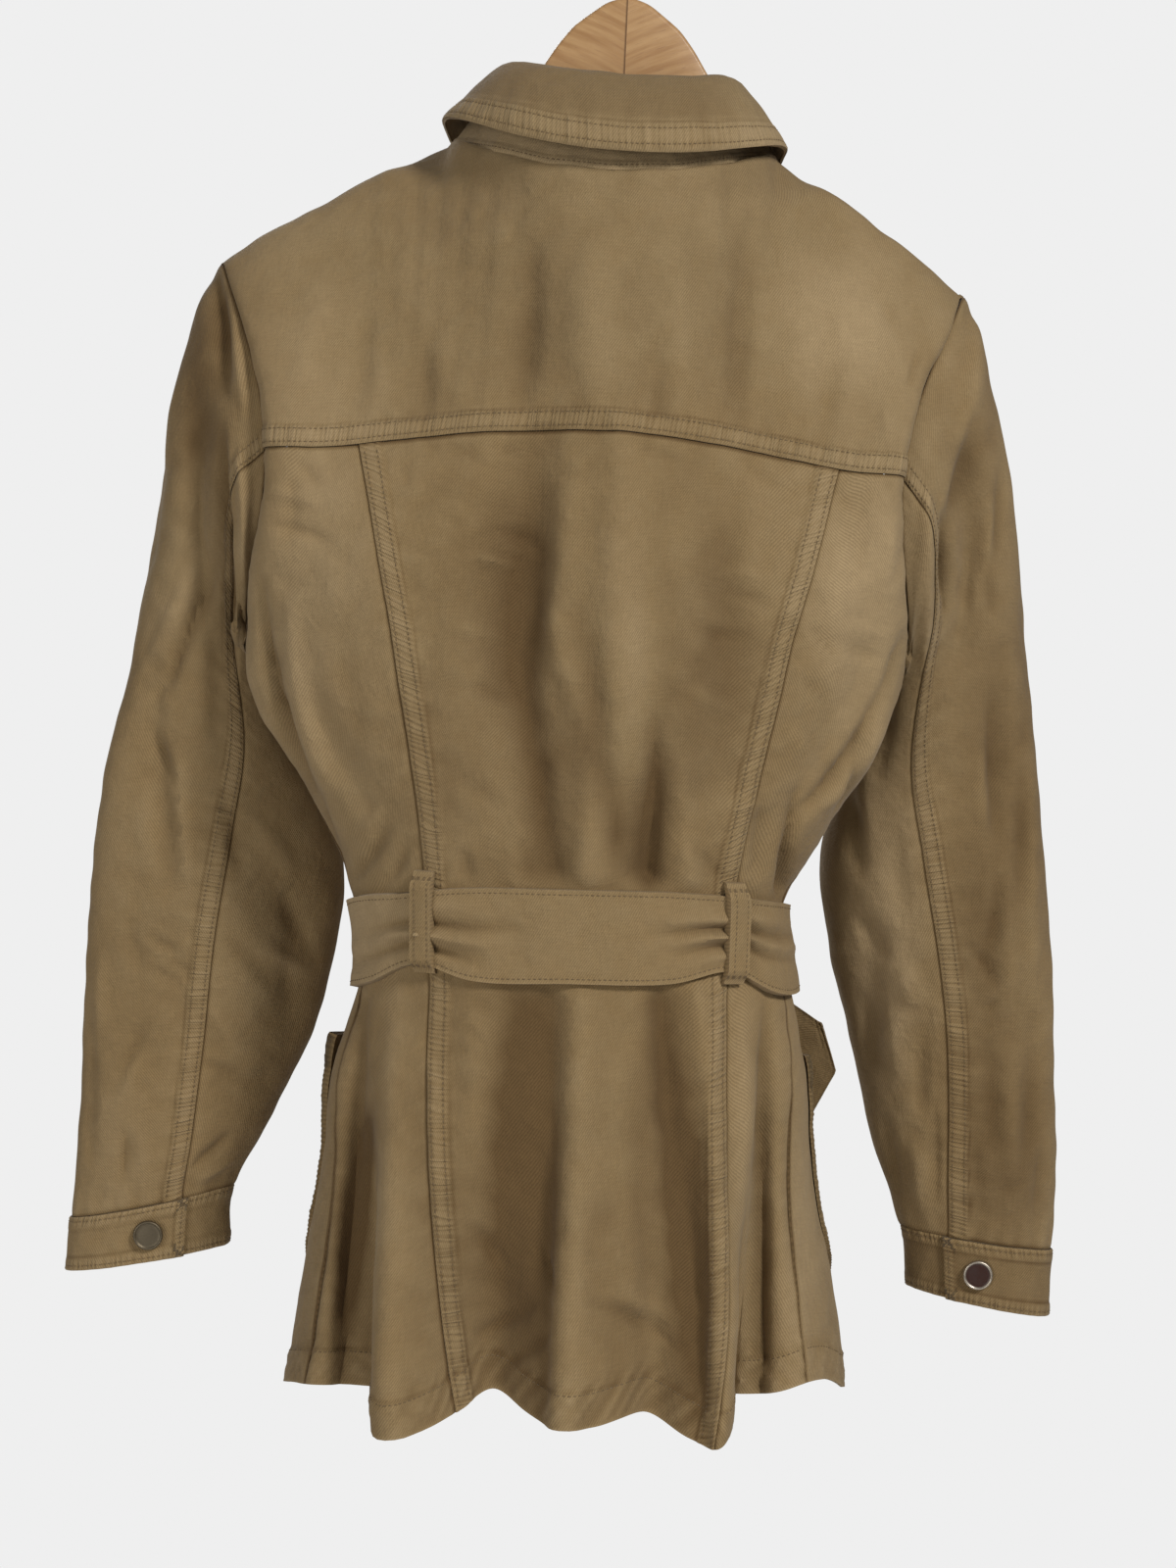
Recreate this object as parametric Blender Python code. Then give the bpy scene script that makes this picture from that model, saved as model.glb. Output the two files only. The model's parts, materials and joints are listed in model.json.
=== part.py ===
"""Short belted trench coat of cotton twill on a wooden hanger, each cut piece a cloth wall of its own.

Metres, +Z up. The origin is the top of the inside of the hanger's hook, where a rail bears.
+X is the wearer's left, +Y the back of the coat and -Y its front.

The body is one form, read by angle and level. The angle goes round the body: 0 at the centre
back, 90 at the wearer's left side, 180 at the centre front. The level is the height z up to the
armpits, and above them it climbs UPPER to the shoulder seam and the neckline.
"""

import math
from collections import namedtuple

import bmesh
import bpy
import numpy as np

# Cloth and the room between pieces
CLOTH = 0.0016
DOUBLE_CLOTH = 0.0022
SEAM = 0.0003
STEP = 1e-4

# Heights
ARMPIT_Z = -0.420
UPPER = 0.200
WAIST_Z = -0.625
SHOULDER_TIP = (0.2135, -0.2180)
NECK_POINT = (0.0900, -0.1425)
NECK_BACK = (0.0620, -0.1685)
NECK_FRONT = (-0.0570, -0.2000)
SHOULDER_Y = -0.012
SHOULDER_MID_X = 0.0127
NECK_MID_X = 0.0045
NECK_AT = 0.28
PRINCESS_LEFT = 0.415
PRINCESS_RIGHT = 0.465
BACK_ARMHOLE = (-0.0230, 0.0420)
FRONT_ARMHOLE = (-0.0260, -0.0440)
YOKE_Z = (-0.3120, -0.3260)
YOKE_START = 0.40
RIDGE_START = 0.92
RIDGE_BEND = 9.4

# Pieces laid on the body
PLACKET_WIDTH = 0.032
BUTTON_RADIUS = 0.00875
BUTTON_THICKNESS = 0.0032
BELT_WIDTH = 0.050
LOOP_WIDTH = 0.0105

# Hanger
ARM_THICKNESS = 0.012
WIRE_RADIUS = 0.0018
HOOK_RADIUS = 0.0208
WOOD_TOP_Z = -0.0563

Section = namedtuple("Section", "z width back front mid_x mid_y square")
SECTIONS = (
    Section(-0.880, 0.164, 0.124, 0.088, -0.001, -0.020, 2.50),
    Section(-0.800, 0.155, 0.112, 0.084, 0.001, -0.016, 2.45),
    Section(-0.720, 0.1435, 0.097, 0.078, 0.004, -0.010, 2.40),
    Section(-0.660, 0.135, 0.083, 0.073, 0.005, -0.004, 2.35),
    Section(-0.620, 0.1225, 0.074, 0.066, 0.004, 0.000, 2.30),
    Section(-0.590, 0.1195, 0.071, 0.063, 0.007, 0.000, 2.30),
    Section(-0.565, 0.1225, 0.072, 0.064, 0.012, 0.000, 2.30),
    Section(-0.530, 0.1390, 0.076, 0.068, 0.011, 0.000, 2.28),
    Section(-0.495, 0.1605, 0.078, 0.070, 0.011, 0.000, 2.25),
    Section(-0.460, 0.1790, 0.079, 0.070, 0.013, 0.000, 2.22),
    Section(-0.430, 0.1865, 0.079, 0.069, 0.013, 0.000, 2.20),
    Section(-0.400, 0.1850, 0.078, 0.068, 0.012, 0.000, 2.20),
)

# Seams that run down the body, as x on the back, and the side seams as angles
Seam = namedtuple("Seam", "z princess_left princess_right side_left side_right")
SEAMS = (
    Seam(-0.870, 0.0560, -0.0730, 61.0, 52.0),
    Seam(-0.790, 0.0680, -0.0800, 62.0, 54.0),
    Seam(-0.720, 0.0770, -0.0800, 66.0, 60.0),
    Seam(-0.650, 0.0825, -0.0780, 72.0, 66.0),
    Seam(-0.608, 0.0840, -0.0775, 78.0, 72.0),
    Seam(-0.553, 0.0890, -0.0805, 86.0, 85.0),
    Seam(-0.500, 0.0975, -0.0895, 90.0, 90.0),
    Seam(-0.446, 0.1080, -0.1000, 90.0, 90.0),
    Seam(-0.400, 0.1160, -0.1070, 90.0, 90.0),
)

# Height of the hem round the body
Hem = namedtuple("Hem", "angle z")
HEM = (
    Hem(-180.0, -0.862),
    Hem(-120.0, -0.846),
    Hem(-80.0, -0.834),
    Hem(-62.0, -0.822),
    Hem(-50.0, -0.822),
    Hem(-42.0, -0.828),
    Hem(-31.0, -0.834),
    Hem(-24.0, -0.848),
    Hem(-12.0, -0.834),
    Hem(1.0, -0.840),
    Hem(13.0, -0.829),
    Hem(18.0, -0.840),
    Hem(30.0, -0.852),
    Hem(40.0, -0.842),
    Hem(50.0, -0.836),
    Hem(64.0, -0.838),
    Hem(90.0, -0.850),
    Hem(180.0, -0.862),
)

# Folds: ridges above zero and troughs below it, each along its own line of angles
Fold = namedtuple("Fold", "top_z top_angle low_z low_angle rise spread")
SKIRT_FOLDS = (
    Fold(-0.615, 60.0, -0.86, 43.0, -0.034, 7.5),
    Fold(-0.615, 44.0, -0.86, 30.0, 0.013, 8.0),
    Fold(-0.620, 12.0, -0.86, 11.5, -0.023, 7.5),
    Fold(-0.640, 1.0, -0.86, 0.5, 0.012, 5.0),
    Fold(-0.640, -20.0, -0.86, -13.0, -0.013, 4.5),
    Fold(-0.615, -36.0, -0.86, -24.0, 0.014, 6.0),
    Fold(-0.615, -56.0, -0.86, -34.0, -0.030, 6.5),
    Fold(-0.640, 122.0, -0.87, 118.0, -0.016, 10.0),
    Fold(-0.630, 148.0, -0.87, 143.0, 0.010, 9.0),
    Fold(-0.640, -126.0, -0.87, -121.0, -0.014, 10.0),
    Fold(-0.630, -152.0, -0.87, -147.0, 0.009, 9.0),
)
TORSO_FOLDS = (
    Fold(-0.240, 9.0, -0.56, 8.0, -0.0085, 7.0),
    Fold(-0.300, -4.0, -0.56, -5.0, 0.0055, 6.0),
    Fold(-0.380, -16.0, -0.56, -19.0, 0.0045, 5.0),
    Fold(-0.390, 60.0, -0.56, 44.0, -0.0060, 8.0),
    Fold(-0.390, -60.0, -0.56, -46.0, -0.0060, 8.0),
    Fold(-0.330, 150.0, -0.56, 158.0, -0.0060, 8.0),
    Fold(-0.330, -150.0, -0.56, -158.0, -0.0060, 8.0),
)

# Sleeves: each ring by its outer point, its inner point and its half depth
Ring = namedtuple("Ring", "run outer_x outer_y outer_z inner_x inner_y inner_z depth")
LEFT_RINGS = (
    Ring(0.00, 0.2262, -0.012, -0.2180, 0.1985, 0.000, -0.4200, 0.042),
    Ring(0.03, 0.2320, -0.014, -0.2360, 0.2065, -0.010, -0.4285, 0.045),
    Ring(0.07, 0.2380, -0.016, -0.2680, 0.2050, -0.027, -0.4400, 0.046),
    Ring(0.12, 0.2450, -0.020, -0.3160, 0.1940, -0.045, -0.4580, 0.044),
    Ring(0.18, 0.2535, -0.027, -0.3800, 0.1770, -0.060, -0.4860, 0.042),
    Ring(0.24, 0.2640, -0.036, -0.4420, 0.1570, -0.070, -0.5220, 0.040),
    Ring(0.31, 0.2790, -0.046, -0.5060, 0.1455, -0.077, -0.5600, 0.037),
    Ring(0.38, 0.2900, -0.056, -0.5780, 0.1490, -0.082, -0.6040, 0.034),
    Ring(0.45, 0.2940, -0.065, -0.6500, 0.1600, -0.086, -0.6550, 0.031),
    Ring(0.52, 0.2965, -0.073, -0.7220, 0.1820, -0.086, -0.7080, 0.027),
    Ring(0.57, 0.2980, -0.079, -0.7735, 0.2035, -0.084, -0.7510, 0.020),
    Ring(0.61, 0.3010, -0.081, -0.8060, 0.2050, -0.086, -0.7870, 0.019),
)
RIGHT_RINGS = (
    Ring(0.00, -0.2008, -0.012, -0.2180, -0.1735, 0.000, -0.4200, 0.042),
    Ring(0.03, -0.2105, -0.014, -0.2380, -0.1775, -0.010, -0.4285, 0.045),
    Ring(0.07, -0.2195, -0.016, -0.2700, -0.1765, -0.027, -0.4400, 0.046),
    Ring(0.12, -0.2320, -0.020, -0.3180, -0.1690, -0.045, -0.4580, 0.044),
    Ring(0.18, -0.2420, -0.027, -0.3820, -0.1520, -0.060, -0.4860, 0.042),
    Ring(0.24, -0.2505, -0.036, -0.4440, -0.1395, -0.070, -0.5200, 0.040),
    Ring(0.31, -0.2605, -0.046, -0.5080, -0.1385, -0.077, -0.5560, 0.037),
    Ring(0.38, -0.2705, -0.056, -0.5780, -0.1475, -0.082, -0.6020, 0.034),
    Ring(0.45, -0.2795, -0.065, -0.6480, -0.1625, -0.086, -0.6500, 0.031),
    Ring(0.52, -0.2845, -0.073, -0.7180, -0.1790, -0.086, -0.7120, 0.027),
    Ring(0.57, -0.2855, -0.079, -0.7660, -0.1960, -0.084, -0.7570, 0.020),
    Ring(0.61, -0.2860, -0.081, -0.8065, -0.2015, -0.086, -0.7935, 0.019),
)
SLEEVE_END = 0.57
CUFF_END = 0.61
SleeveSeam = namedtuple("SleeveSeam", "run back front")
SLEEVE_SEAMS = (
    SleeveSeam(0.00, 93.0, 247.0),
    SleeveSeam(0.05, 100.0, 246.0),
    SleeveSeam(0.20, 104.0, 240.0),
    SleeveSeam(0.31, 96.0, 242.0),
    SleeveSeam(0.45, 95.0, 240.0),
    SleeveSeam(0.52, 102.0, 236.0),
    SleeveSeam(0.57, 112.0, 234.0),
)
SleeveFold = namedtuple("SleeveFold", "run_a ring_a run_b ring_b rise spread")
SLEEVE_FOLDS = (
    SleeveFold(0.01, 62.0, 0.20, 78.0, -0.013, 14.0),
    SleeveFold(0.20, 40.0, 0.36, 60.0, -0.007, 13.0),
    SleeveFold(0.32, 130.0, 0.48, 150.0, -0.007, 14.0),
    SleeveFold(0.14, 300.0, 0.34, 280.0, -0.009, 16.0),
)

# Belt edges round the body
BeltEdge = namedtuple("BeltEdge", "angle top low")
BELT_EDGES = (
    BeltEdge(-180.0, -0.5720, -0.6200),
    BeltEdge(-90.0, -0.5645, -0.6140),
    BeltEdge(-58.0, -0.5610, -0.6120),
    BeltEdge(-41.0, -0.5590, -0.6010),
    BeltEdge(-22.0, -0.5580, -0.6080),
    BeltEdge(0.0, -0.5590, -0.6100),
    BeltEdge(24.0, -0.5610, -0.6110),
    BeltEdge(41.0, -0.5650, -0.6040),
    BeltEdge(62.0, -0.5680, -0.6160),
    BeltEdge(90.0, -0.5730, -0.6230),
    BeltEdge(180.0, -0.5720, -0.6200),
)

FRONT_BUTTON_LEVELS = (-0.335, -0.412, -0.480, -0.545, -0.680, -0.760)
TailPoint = namedtuple("TailPoint", "x y z")
LEFT_TAIL = (
    TailPoint(0.014, -0.0916, -0.600),
    TailPoint(0.036, -0.0960, -0.640),
    TailPoint(0.050, -0.1010, -0.700),
    TailPoint(0.056, -0.1080, -0.765),
)
TAIL_CURL = 0.0012
RIGHT_TAIL = (
    TailPoint(-0.0190, -0.0825, -0.599),
    TailPoint(-0.050, -0.0870, -0.603),
    TailPoint(-0.090, -0.0910, -0.634),
    TailPoint(-0.124, -0.0860, -0.656),
    TailPoint(-0.1513, -0.0760, -0.6702),
)


# ---------------------------------------------------------------- curves through the tables


def through(rows, column, at):
    """Values of one named column along the first column of a table, on a smooth curve."""
    at = np.asarray(at, float)
    knots = np.array([row[0] for row in rows])
    values = np.array([getattr(row, column) for row in rows])
    slopes = np.gradient(values, knots)
    low = np.clip(np.searchsorted(knots, at) - 1, 0, len(knots) - 2)
    span = knots[low + 1] - knots[low]
    t = np.clip((at - knots[low]) / span, 0.0, 1.0)
    start = (1 + 2 * t) * (1 - t) ** 2 * values[low] + t * (1 - t) ** 2 * span * slopes[low]
    end = t * t * (3 - 2 * t) * values[low + 1] + t * t * (t - 1) * span * slopes[low + 1]
    return start + end


def ease(t):
    """A smooth step from 0 to 1."""
    t = np.clip(t, 0.0, 1.0)
    return t * t * (3 - 2 * t)


def signed_power(value, power):
    return np.sign(value) * np.abs(value) ** power


# ---------------------------------------------------------------- the body's form


def fold_rise(folds, angle, level, deepest):
    """How far the folds move the cloth outward."""
    total = np.zeros(np.broadcast(angle, level).shape)
    for fold in folds:
        down = np.clip((fold.top_z - level) / (fold.top_z - fold.low_z), 0.0, 1.0)
        centre = fold.top_angle + (fold.low_angle - fold.top_angle) * down
        away = (angle - centre + 180.0) % 360.0 - 180.0
        strength = ease(down) if deepest == "hem" else np.sin(math.pi * down) ** 1.5
        total = total + fold.rise * strength * np.exp(-((away / fold.spread) ** 2))
    return total


def lower_body(angle, z):
    """Points of the body below the armpits."""
    angle, z = np.broadcast_arrays(np.asarray(angle, float), np.asarray(z, float))
    turn = np.radians(angle)
    power = 2.0 / through(SECTIONS, "square", z)
    width = through(SECTIONS, "width", z)
    depth = np.where(np.cos(turn) > 0, through(SECTIONS, "back", z), through(SECTIONS, "front", z))
    across = signed_power(np.sin(turn), power)
    along = signed_power(np.cos(turn), power)
    rise = fold_rise(SKIRT_FOLDS, angle, z, "hem") + fold_rise(TORSO_FOLDS, angle, z, "middle")
    outward = np.stack([across / width, along / depth], -1)
    outward = outward / np.linalg.norm(outward, axis=-1, keepdims=True)
    x = through(SECTIONS, "mid_x", z) + width * across + rise * outward[..., 0]
    y = through(SECTIONS, "mid_y", z) + depth * along + rise * outward[..., 1]
    return np.stack([x, y, z], -1)


def top_edge(share, back):
    """Neckline and shoulder seam, by the share of the half width, -1 to 1."""
    size = np.abs(share)
    side = np.sign(share)
    over = np.clip((size - NECK_AT) / (1 - NECK_AT), 0.0, 1.0)
    reach = spread(share)
    neck_reach = spread(np.asarray(NECK_AT))
    over_reach = np.clip((reach - neck_reach) / (1 - neck_reach), 0.0, 1.0)
    round_neck = np.clip(size / NECK_AT, 0.0, 1.0)
    turn = np.arcsin(np.clip(reach / neck_reach, 0.0, 1.0))
    mid_x = NECK_MID_X + (SHOULDER_MID_X - NECK_MID_X) * over_reach
    x = np.where(
        size < NECK_AT,
        NECK_POINT[0] * np.sin(turn),
        NECK_POINT[0] + (SHOULDER_TIP[0] - NECK_POINT[0]) * over_reach,
    )
    middle = NECK_BACK if back else NECK_FRONT
    y = np.where(size < NECK_AT, SHOULDER_Y + (middle[0] - SHOULDER_Y) * np.cos(turn), SHOULDER_Y)
    neck_z = NECK_POINT[1] + (middle[1] - NECK_POINT[1]) * (1 - round_neck**2)
    shoulder_z = NECK_POINT[1] + (SHOULDER_TIP[1] - NECK_POINT[1]) * over_reach
    shoulder_z = shoulder_z + 0.004 * np.sin(math.pi * over)
    z = np.where(size < NECK_AT, neck_z, shoulder_z)
    return np.stack([mid_x + side * x, y, z], -1)


def spread(share):
    """How far out a share of the half turn lies, as a share of the half width."""
    return np.sin(np.radians(np.abs(share) * 90.0)) ** (2.0 / 2.2)


def upper_body(share, rise, back):
    """Points above the armpits: share is -1 to 1 between the armholes, rise 0 to 1 to the top."""
    share, rise = np.broadcast_arrays(np.asarray(share, float), np.asarray(rise, float))
    angle = share * 90.0 if back else 180.0 - share * 90.0
    low = lower_body(angle, np.full(share.shape, ARMPIT_Z))
    top = top_edge(share, back)
    climb = rise
    if back:
        bend = RIDGE_BEND * ease((np.abs(share) - NECK_AT) / 0.12)
        bent = rise - bend * np.maximum(rise - RIDGE_START, 0.0) ** 2
        climb = bent / (1.0 - bend * (1.0 - RIDGE_START) ** 2)
    fall = np.clip(1.0 - rise**1.45, 0.0, 1.0) ** (1 / 1.5)
    armhole = BACK_ARMHOLE if back else FRONT_ARMHOLE
    near = spread(share) ** 4
    x = low[..., 0] + (top[..., 0] - low[..., 0]) * rise
    x = x + np.sign(share) * near * armhole[0] * np.sin(math.pi * rise) ** 1.3
    y = top[..., 1] + (low[..., 1] - top[..., 1]) * fall
    y = y + near * armhole[1] * np.sin(math.pi * rise) ** 0.72
    z = low[..., 2] + (top[..., 2] - low[..., 2]) * climb
    level = ARMPIT_Z + rise * UPPER
    folds = fold_rise(TORSO_FOLDS, angle, level, "middle") - fold_rise(
        TORSO_FOLDS, angle, np.full(share.shape, ARMPIT_Z), "middle"
    )
    y = y + (folds if back else -folds) * (1 - rise) ** 0.5
    return np.stack([x, y, z], -1)


def body(angle, level, back):
    """A point of the coat's body."""
    angle, level = np.broadcast_arrays(np.asarray(angle, float), np.asarray(level, float))
    angle = (angle + 180.0) % 360.0 - 180.0
    share = angle / 90.0 if back else np.sign(angle) * (180.0 - np.abs(angle)) / 90.0
    rise = np.clip((level - ARMPIT_Z) / UPPER, 0.0, 1.0)
    above = upper_body(np.clip(share, -1.0, 1.0), rise, back)
    below = lower_body(angle, np.minimum(level, ARMPIT_Z))
    return np.where((level > ARMPIT_Z)[..., None], above, below)


def angle_on_back(x, z):
    """The angle at which the plain section has this x, on the back."""
    share = (x - through(SECTIONS, "mid_x", z)) / through(SECTIONS, "width", z)
    lifted = np.clip(np.abs(share), 0.0, 1.0) ** (through(SECTIONS, "square", z) / 2.0)
    return np.sign(share) * np.degrees(np.arcsin(lifted))


def princess_angle(level, left):
    """The princess seam's angle: on its x below the armpits, then eased to its place at the yoke."""
    side = 1 if left else -1
    column = "princess_left" if left else "princess_right"
    low = angle_on_back(through(SEAMS, column, np.minimum(level, ARMPIT_Z)), np.minimum(level, ARMPIT_Z))
    rise = np.clip((level - ARMPIT_Z) / (UPPER * YOKE_START), 0.0, 1.0)
    return low + (side * (PRINCESS_LEFT if left else PRINCESS_RIGHT) * 90.0 - low) * rise


def side_angle(level, left):
    if left:
        return through(SEAMS, "side_left", level)
    return -through(SEAMS, "side_right", level)


def hem_z(angle):
    return through(HEM, "z", (angle + 180.0) % 360.0 - 180.0)


def yoke_level(angle):
    """The yoke seam, arched up towards the centre back."""
    share = np.clip(np.abs(angle) / 90.0, 0.0, 1.0)
    bend = RIDGE_BEND * ease((share - NECK_AT) / 0.12)
    seam = YOKE_Z[0] + (YOKE_Z[1] - YOKE_Z[0]) * share**1.5
    climb = (seam - ARMPIT_Z) / (top_edge(share, True)[..., 2] - ARMPIT_Z)
    return ARMPIT_Z + UPPER * climb * (1.0 - bend * (1.0 - RIDGE_START) ** 2)


# ---------------------------------------------------------------- walls of cloth


def unit(vectors):
    return vectors / np.maximum(np.linalg.norm(vectors, axis=-1, keepdims=True), 1e-12)


def wall(name, outer, inner, material, parent):
    """One closed piece of cloth between two grids of points."""
    rows, columns = outer.shape[:2]
    count = rows * columns
    index = np.arange(count).reshape(rows, columns)
    faces = []
    for i in range(rows - 1):
        for j in range(columns - 1):
            a, b, c, d = index[i, j], index[i, j + 1], index[i + 1, j + 1], index[i + 1, j]
            for triangle in ((a, b, c), (a, c, d)):
                faces.append(triangle)
                faces.append(tuple(k + count for k in reversed(triangle)))
    rim = [index[0, j] for j in range(columns)]
    rim += [index[i, -1] for i in range(1, rows)]
    rim += [index[-1, j] for j in range(columns - 2, -1, -1)]
    rim += [index[i, 0] for i in range(rows - 2, 0, -1)]
    for a, b in zip(rim, rim[1:] + rim[:1]):
        faces.append((b, a, a + count, b + count))
    points = np.concatenate([outer.reshape(-1, 3), inner.reshape(-1, 3)])
    return solid(name, points, faces, material, parent)


def solid(name, points, faces, material, parent):
    """A mesh object with its faces pointing out."""
    mesh = bpy.data.meshes.new(name)
    mesh.from_pydata([tuple(map(float, p)) for p in points], [], [tuple(map(int, f)) for f in faces])
    shape = bmesh.new()
    shape.from_mesh(mesh)
    bmesh.ops.recalc_face_normals(shape, faces=shape.faces)
    if shape.calc_volume(signed=True) < 0:
        bmesh.ops.reverse_faces(shape, faces=shape.faces)
    shape.to_mesh(mesh)
    shape.free()
    mesh.materials.append(material)
    mesh.shade_smooth()
    mesh.set_sharp_from_angle(angle=math.radians(40))
    piece = bpy.data.objects.new(name, mesh)
    bpy.context.collection.objects.link(piece)
    piece.parent = parent
    return piece


def finish(name, colour, roughness, metallic=0.0):
    """A plain material."""
    material = bpy.data.materials.new(name)
    material.use_nodes = True
    shader = material.node_tree.nodes["Principled BSDF"]
    shader.inputs["Base Color"].default_value = (*colour, 1.0)
    shader.inputs["Roughness"].default_value = roughness
    shader.inputs["Metallic"].default_value = metallic
    return material


# ---------------------------------------------------------------- body pieces


SKIRT_ROWS = 8
BODY_LEVELS = (-0.604, -0.585, -0.566, -0.546, -0.518, -0.487, -0.454, ARMPIT_Z)
UPPER_RISES = (0.08, 0.19, 0.32)
YOKE_RISES = (0.56, 0.68, 0.79, 0.88, 0.94, 0.975, 1.0)
FRONT_RISES = (0.08, 0.19, 0.32, 0.45, 0.56, 0.68, 0.79, 0.88, 0.945, 1.0)


def body_rows(angle, top_levels):
    """Levels up one column of the body, from the hem."""
    skirt = np.linspace(hem_z(angle), WAIST_Z, SKIRT_ROWS + 1)
    return np.concatenate([skirt, BODY_LEVELS, top_levels])


def body_grid(columns_at, top_levels_at, count):
    """Grid of a body piece: columns_at(level) gives its angles, top_levels_at(angle) its last levels.

    The hem's height depends on the angle and the angle on the height, so each column is settled
    by a few rounds.
    """
    columns = []
    for j in range(count):
        levels = body_rows(columns_at(-0.84)[j], top_levels_at(0.0))
        for _ in range(3):
            angles = np.array([columns_at(level)[j] for level in levels])
            levels = body_rows(angles[0], top_levels_at(angles[-1]))
        columns.append((angles, levels))
    angle = np.stack([c[0] for c in columns], 1)
    level = np.stack([c[1] for c in columns], 1)
    return angle, level


def between(start, end, shares):
    return start + (end - start) * np.asarray(shares)


NECK_SHARES = np.linspace(0.0, NECK_AT, 4)
LEFT_SHARES = np.append(NECK_SHARES, (0.35, PRINCESS_LEFT)) / PRINCESS_LEFT
RIGHT_SHARES = np.append(NECK_SHARES, (0.37, PRINCESS_RIGHT)) / PRINCESS_RIGHT
SIDE_SHARES = np.linspace(0.0, 1.0, 6)
FRONT_SHARES = np.append(NECK_SHARES, (0.42, 0.57, 0.71, 0.86, 1.0))


def centre_columns(level):
    right = princess_angle(level, False) * RIGHT_SHARES[::-1]
    left = princess_angle(level, True) * LEFT_SHARES[1:]
    return np.concatenate([right, left])


def side_columns(level, left):
    return between(princess_angle(level, left), side_angle(level, left), SIDE_SHARES)


def front_columns(level, left):
    side = side_angle(level, left)
    centre = 180.0 if left else -180.0
    return centre + (side - centre) * FRONT_SHARES


def under_yoke(angle):
    levels = ARMPIT_Z + UPPER * np.array(UPPER_RISES)
    return np.append(levels, yoke_level(angle) - SEAM / 2)


def inset(angle, level, back):
    """Pull a piece's two long edges in by half a seam, along the row."""
    pulled = angle.copy()
    for edge, inner in ((0, 1), (-1, -2)):
        here = body(angle[:, edge], level[:, edge], back)
        there = body(angle[:, inner], level[:, inner], back)
        length = np.linalg.norm(there - here, axis=-1)
        share = (SEAM / 2) / length
        pulled[:, edge] = angle[:, edge] + (angle[:, inner] - angle[:, edge]) * share
    return pulled


def mitre(ring, left):
    """Way in from both skins where the body and a sleeve meet, so that neither wall cuts the other."""
    return (mitre_between(ring - 7.0, left) + mitre_between(ring + 7.0, left)) / 2


def mitre_between(ring, left):
    here = armhole(ring, left)
    along = unit(armhole(ring + 4.0, left) - armhole(ring - 4.0, left))
    rise = (1 + np.cos(np.radians(ring))) / 2
    share = np.full(ring.shape, 0.9 if left else -0.9)
    at_back = (np.sin(np.radians(ring)) > 0)[:, None]
    within = np.where(at_back, upper_body(share, rise, True), upper_body(share, rise, False))
    beyond = sleeve(ring, SLEEVE_RUNS[1], left)
    turn = 1.0 if left else -1.0
    body_side = unit(np.cross(along, within - here)) * turn
    sleeve_side = unit(np.cross(along, here - beyond)) * turn
    meeting = np.sum(body_side * sleeve_side, -1, keepdims=True)
    return (body_side + sleeve_side) / np.maximum(1.0 + meeting, 0.5)


def body_wall(name, angle, level, back, material, parent, outside=0.0, inside=-CLOTH):
    """A body piece from its grid of angles and levels."""
    outer, inner = body_skins(angle, level, back, outside, inside)
    return wall(name, outer, inner, material, parent)


def body_skins(angle, level, back, outside, inside):
    nudge = 0.01
    points = body(angle, level, back)
    left = body(angle - nudge, level, back)
    right = body(angle + nudge, level, back)
    highest = ARMPIT_Z + UPPER
    below = body(angle, level - STEP, back)
    above = body(angle, np.minimum(level + STEP, highest), back)
    normal = unit(np.cross(above - below, right - left))
    edge = (np.abs(angle) > 89.0) if back else (np.abs(angle) < 91.0)
    for left in (True, False):
        chosen = edge & (level > ARMPIT_Z - STEP) & ((angle > 0) == left)
        if chosen.any():
            rise = np.clip((level[chosen] - ARMPIT_Z) / UPPER, 0.0, 1.0)
            ring = ring_of(rise)
            normal[chosen] = mitre(ring if back else 360.0 - ring, left)
    return points + outside * normal, points + inside * normal


def make_body(materials, parent):
    """Yoke, centre back, side backs and fronts. Returns the grids that other pieces lie on."""
    cloth = materials["twill"]
    grids = {}
    angle, level = body_grid(centre_columns, under_yoke, len(RIGHT_SHARES) + len(LEFT_SHARES) - 1)
    grids["back_center"] = (angle, level)
    body_wall("back_center", inset(angle, level, True), level, True, cloth, parent)
    for left, name in ((True, "back_side_left"), (False, "back_side_right")):
        angle, level = body_grid(lambda v: side_columns(v, left), under_yoke, len(SIDE_SHARES))
        if not left:
            angle, level = angle[:, ::-1], level[:, ::-1]
        grids[name] = (angle, level)
        body_wall(name, inset(angle, level, True), level, True, cloth, parent)
    angle, level = yoke_grid()
    body_wall("back_yoke", angle, level, True, cloth, parent)
    grids["back_yoke"] = (angle, level)
    top = ARMPIT_Z + UPPER * np.array(FRONT_RISES)
    for left, name in ((True, "front_left"), (False, "front_right")):
        angle, level = body_grid(lambda v: front_columns(v, left), lambda a: top, len(FRONT_SHARES))
        if left:
            angle, level = angle[:, ::-1], level[:, ::-1]
        grids[name] = (angle, level)
        trimmed = inset(angle, level, False)
        body_wall(name, trimmed, trim_top(level), False, cloth, parent)
    return grids


def yoke_grid():
    left = np.append(PRINCESS_LEFT * LEFT_SHARES, between(PRINCESS_LEFT, 1.0, SIDE_SHARES[1:]))
    right = np.append(PRINCESS_RIGHT * RIGHT_SHARES, between(PRINCESS_RIGHT, 1.0, SIDE_SHARES[1:]))
    shares = np.concatenate([-right[::-1], left[1:]])
    angle = np.broadcast_to(shares * 90.0, (len(YOKE_RISES) + 1, len(shares))).copy()
    first = yoke_level(angle[0]) + SEAM / 2
    rest = ARMPIT_Z + UPPER * np.array(YOKE_RISES)
    level = np.vstack([first, np.repeat(rest[:, None], len(shares), 1)])
    return angle, trim_top(level)


def trim_top(level):
    """Lower the last row by half a seam."""
    trimmed = level.copy()
    trimmed[-1] -= SEAM
    return trimmed


# ---------------------------------------------------------------- sleeves and cuffs


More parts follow.
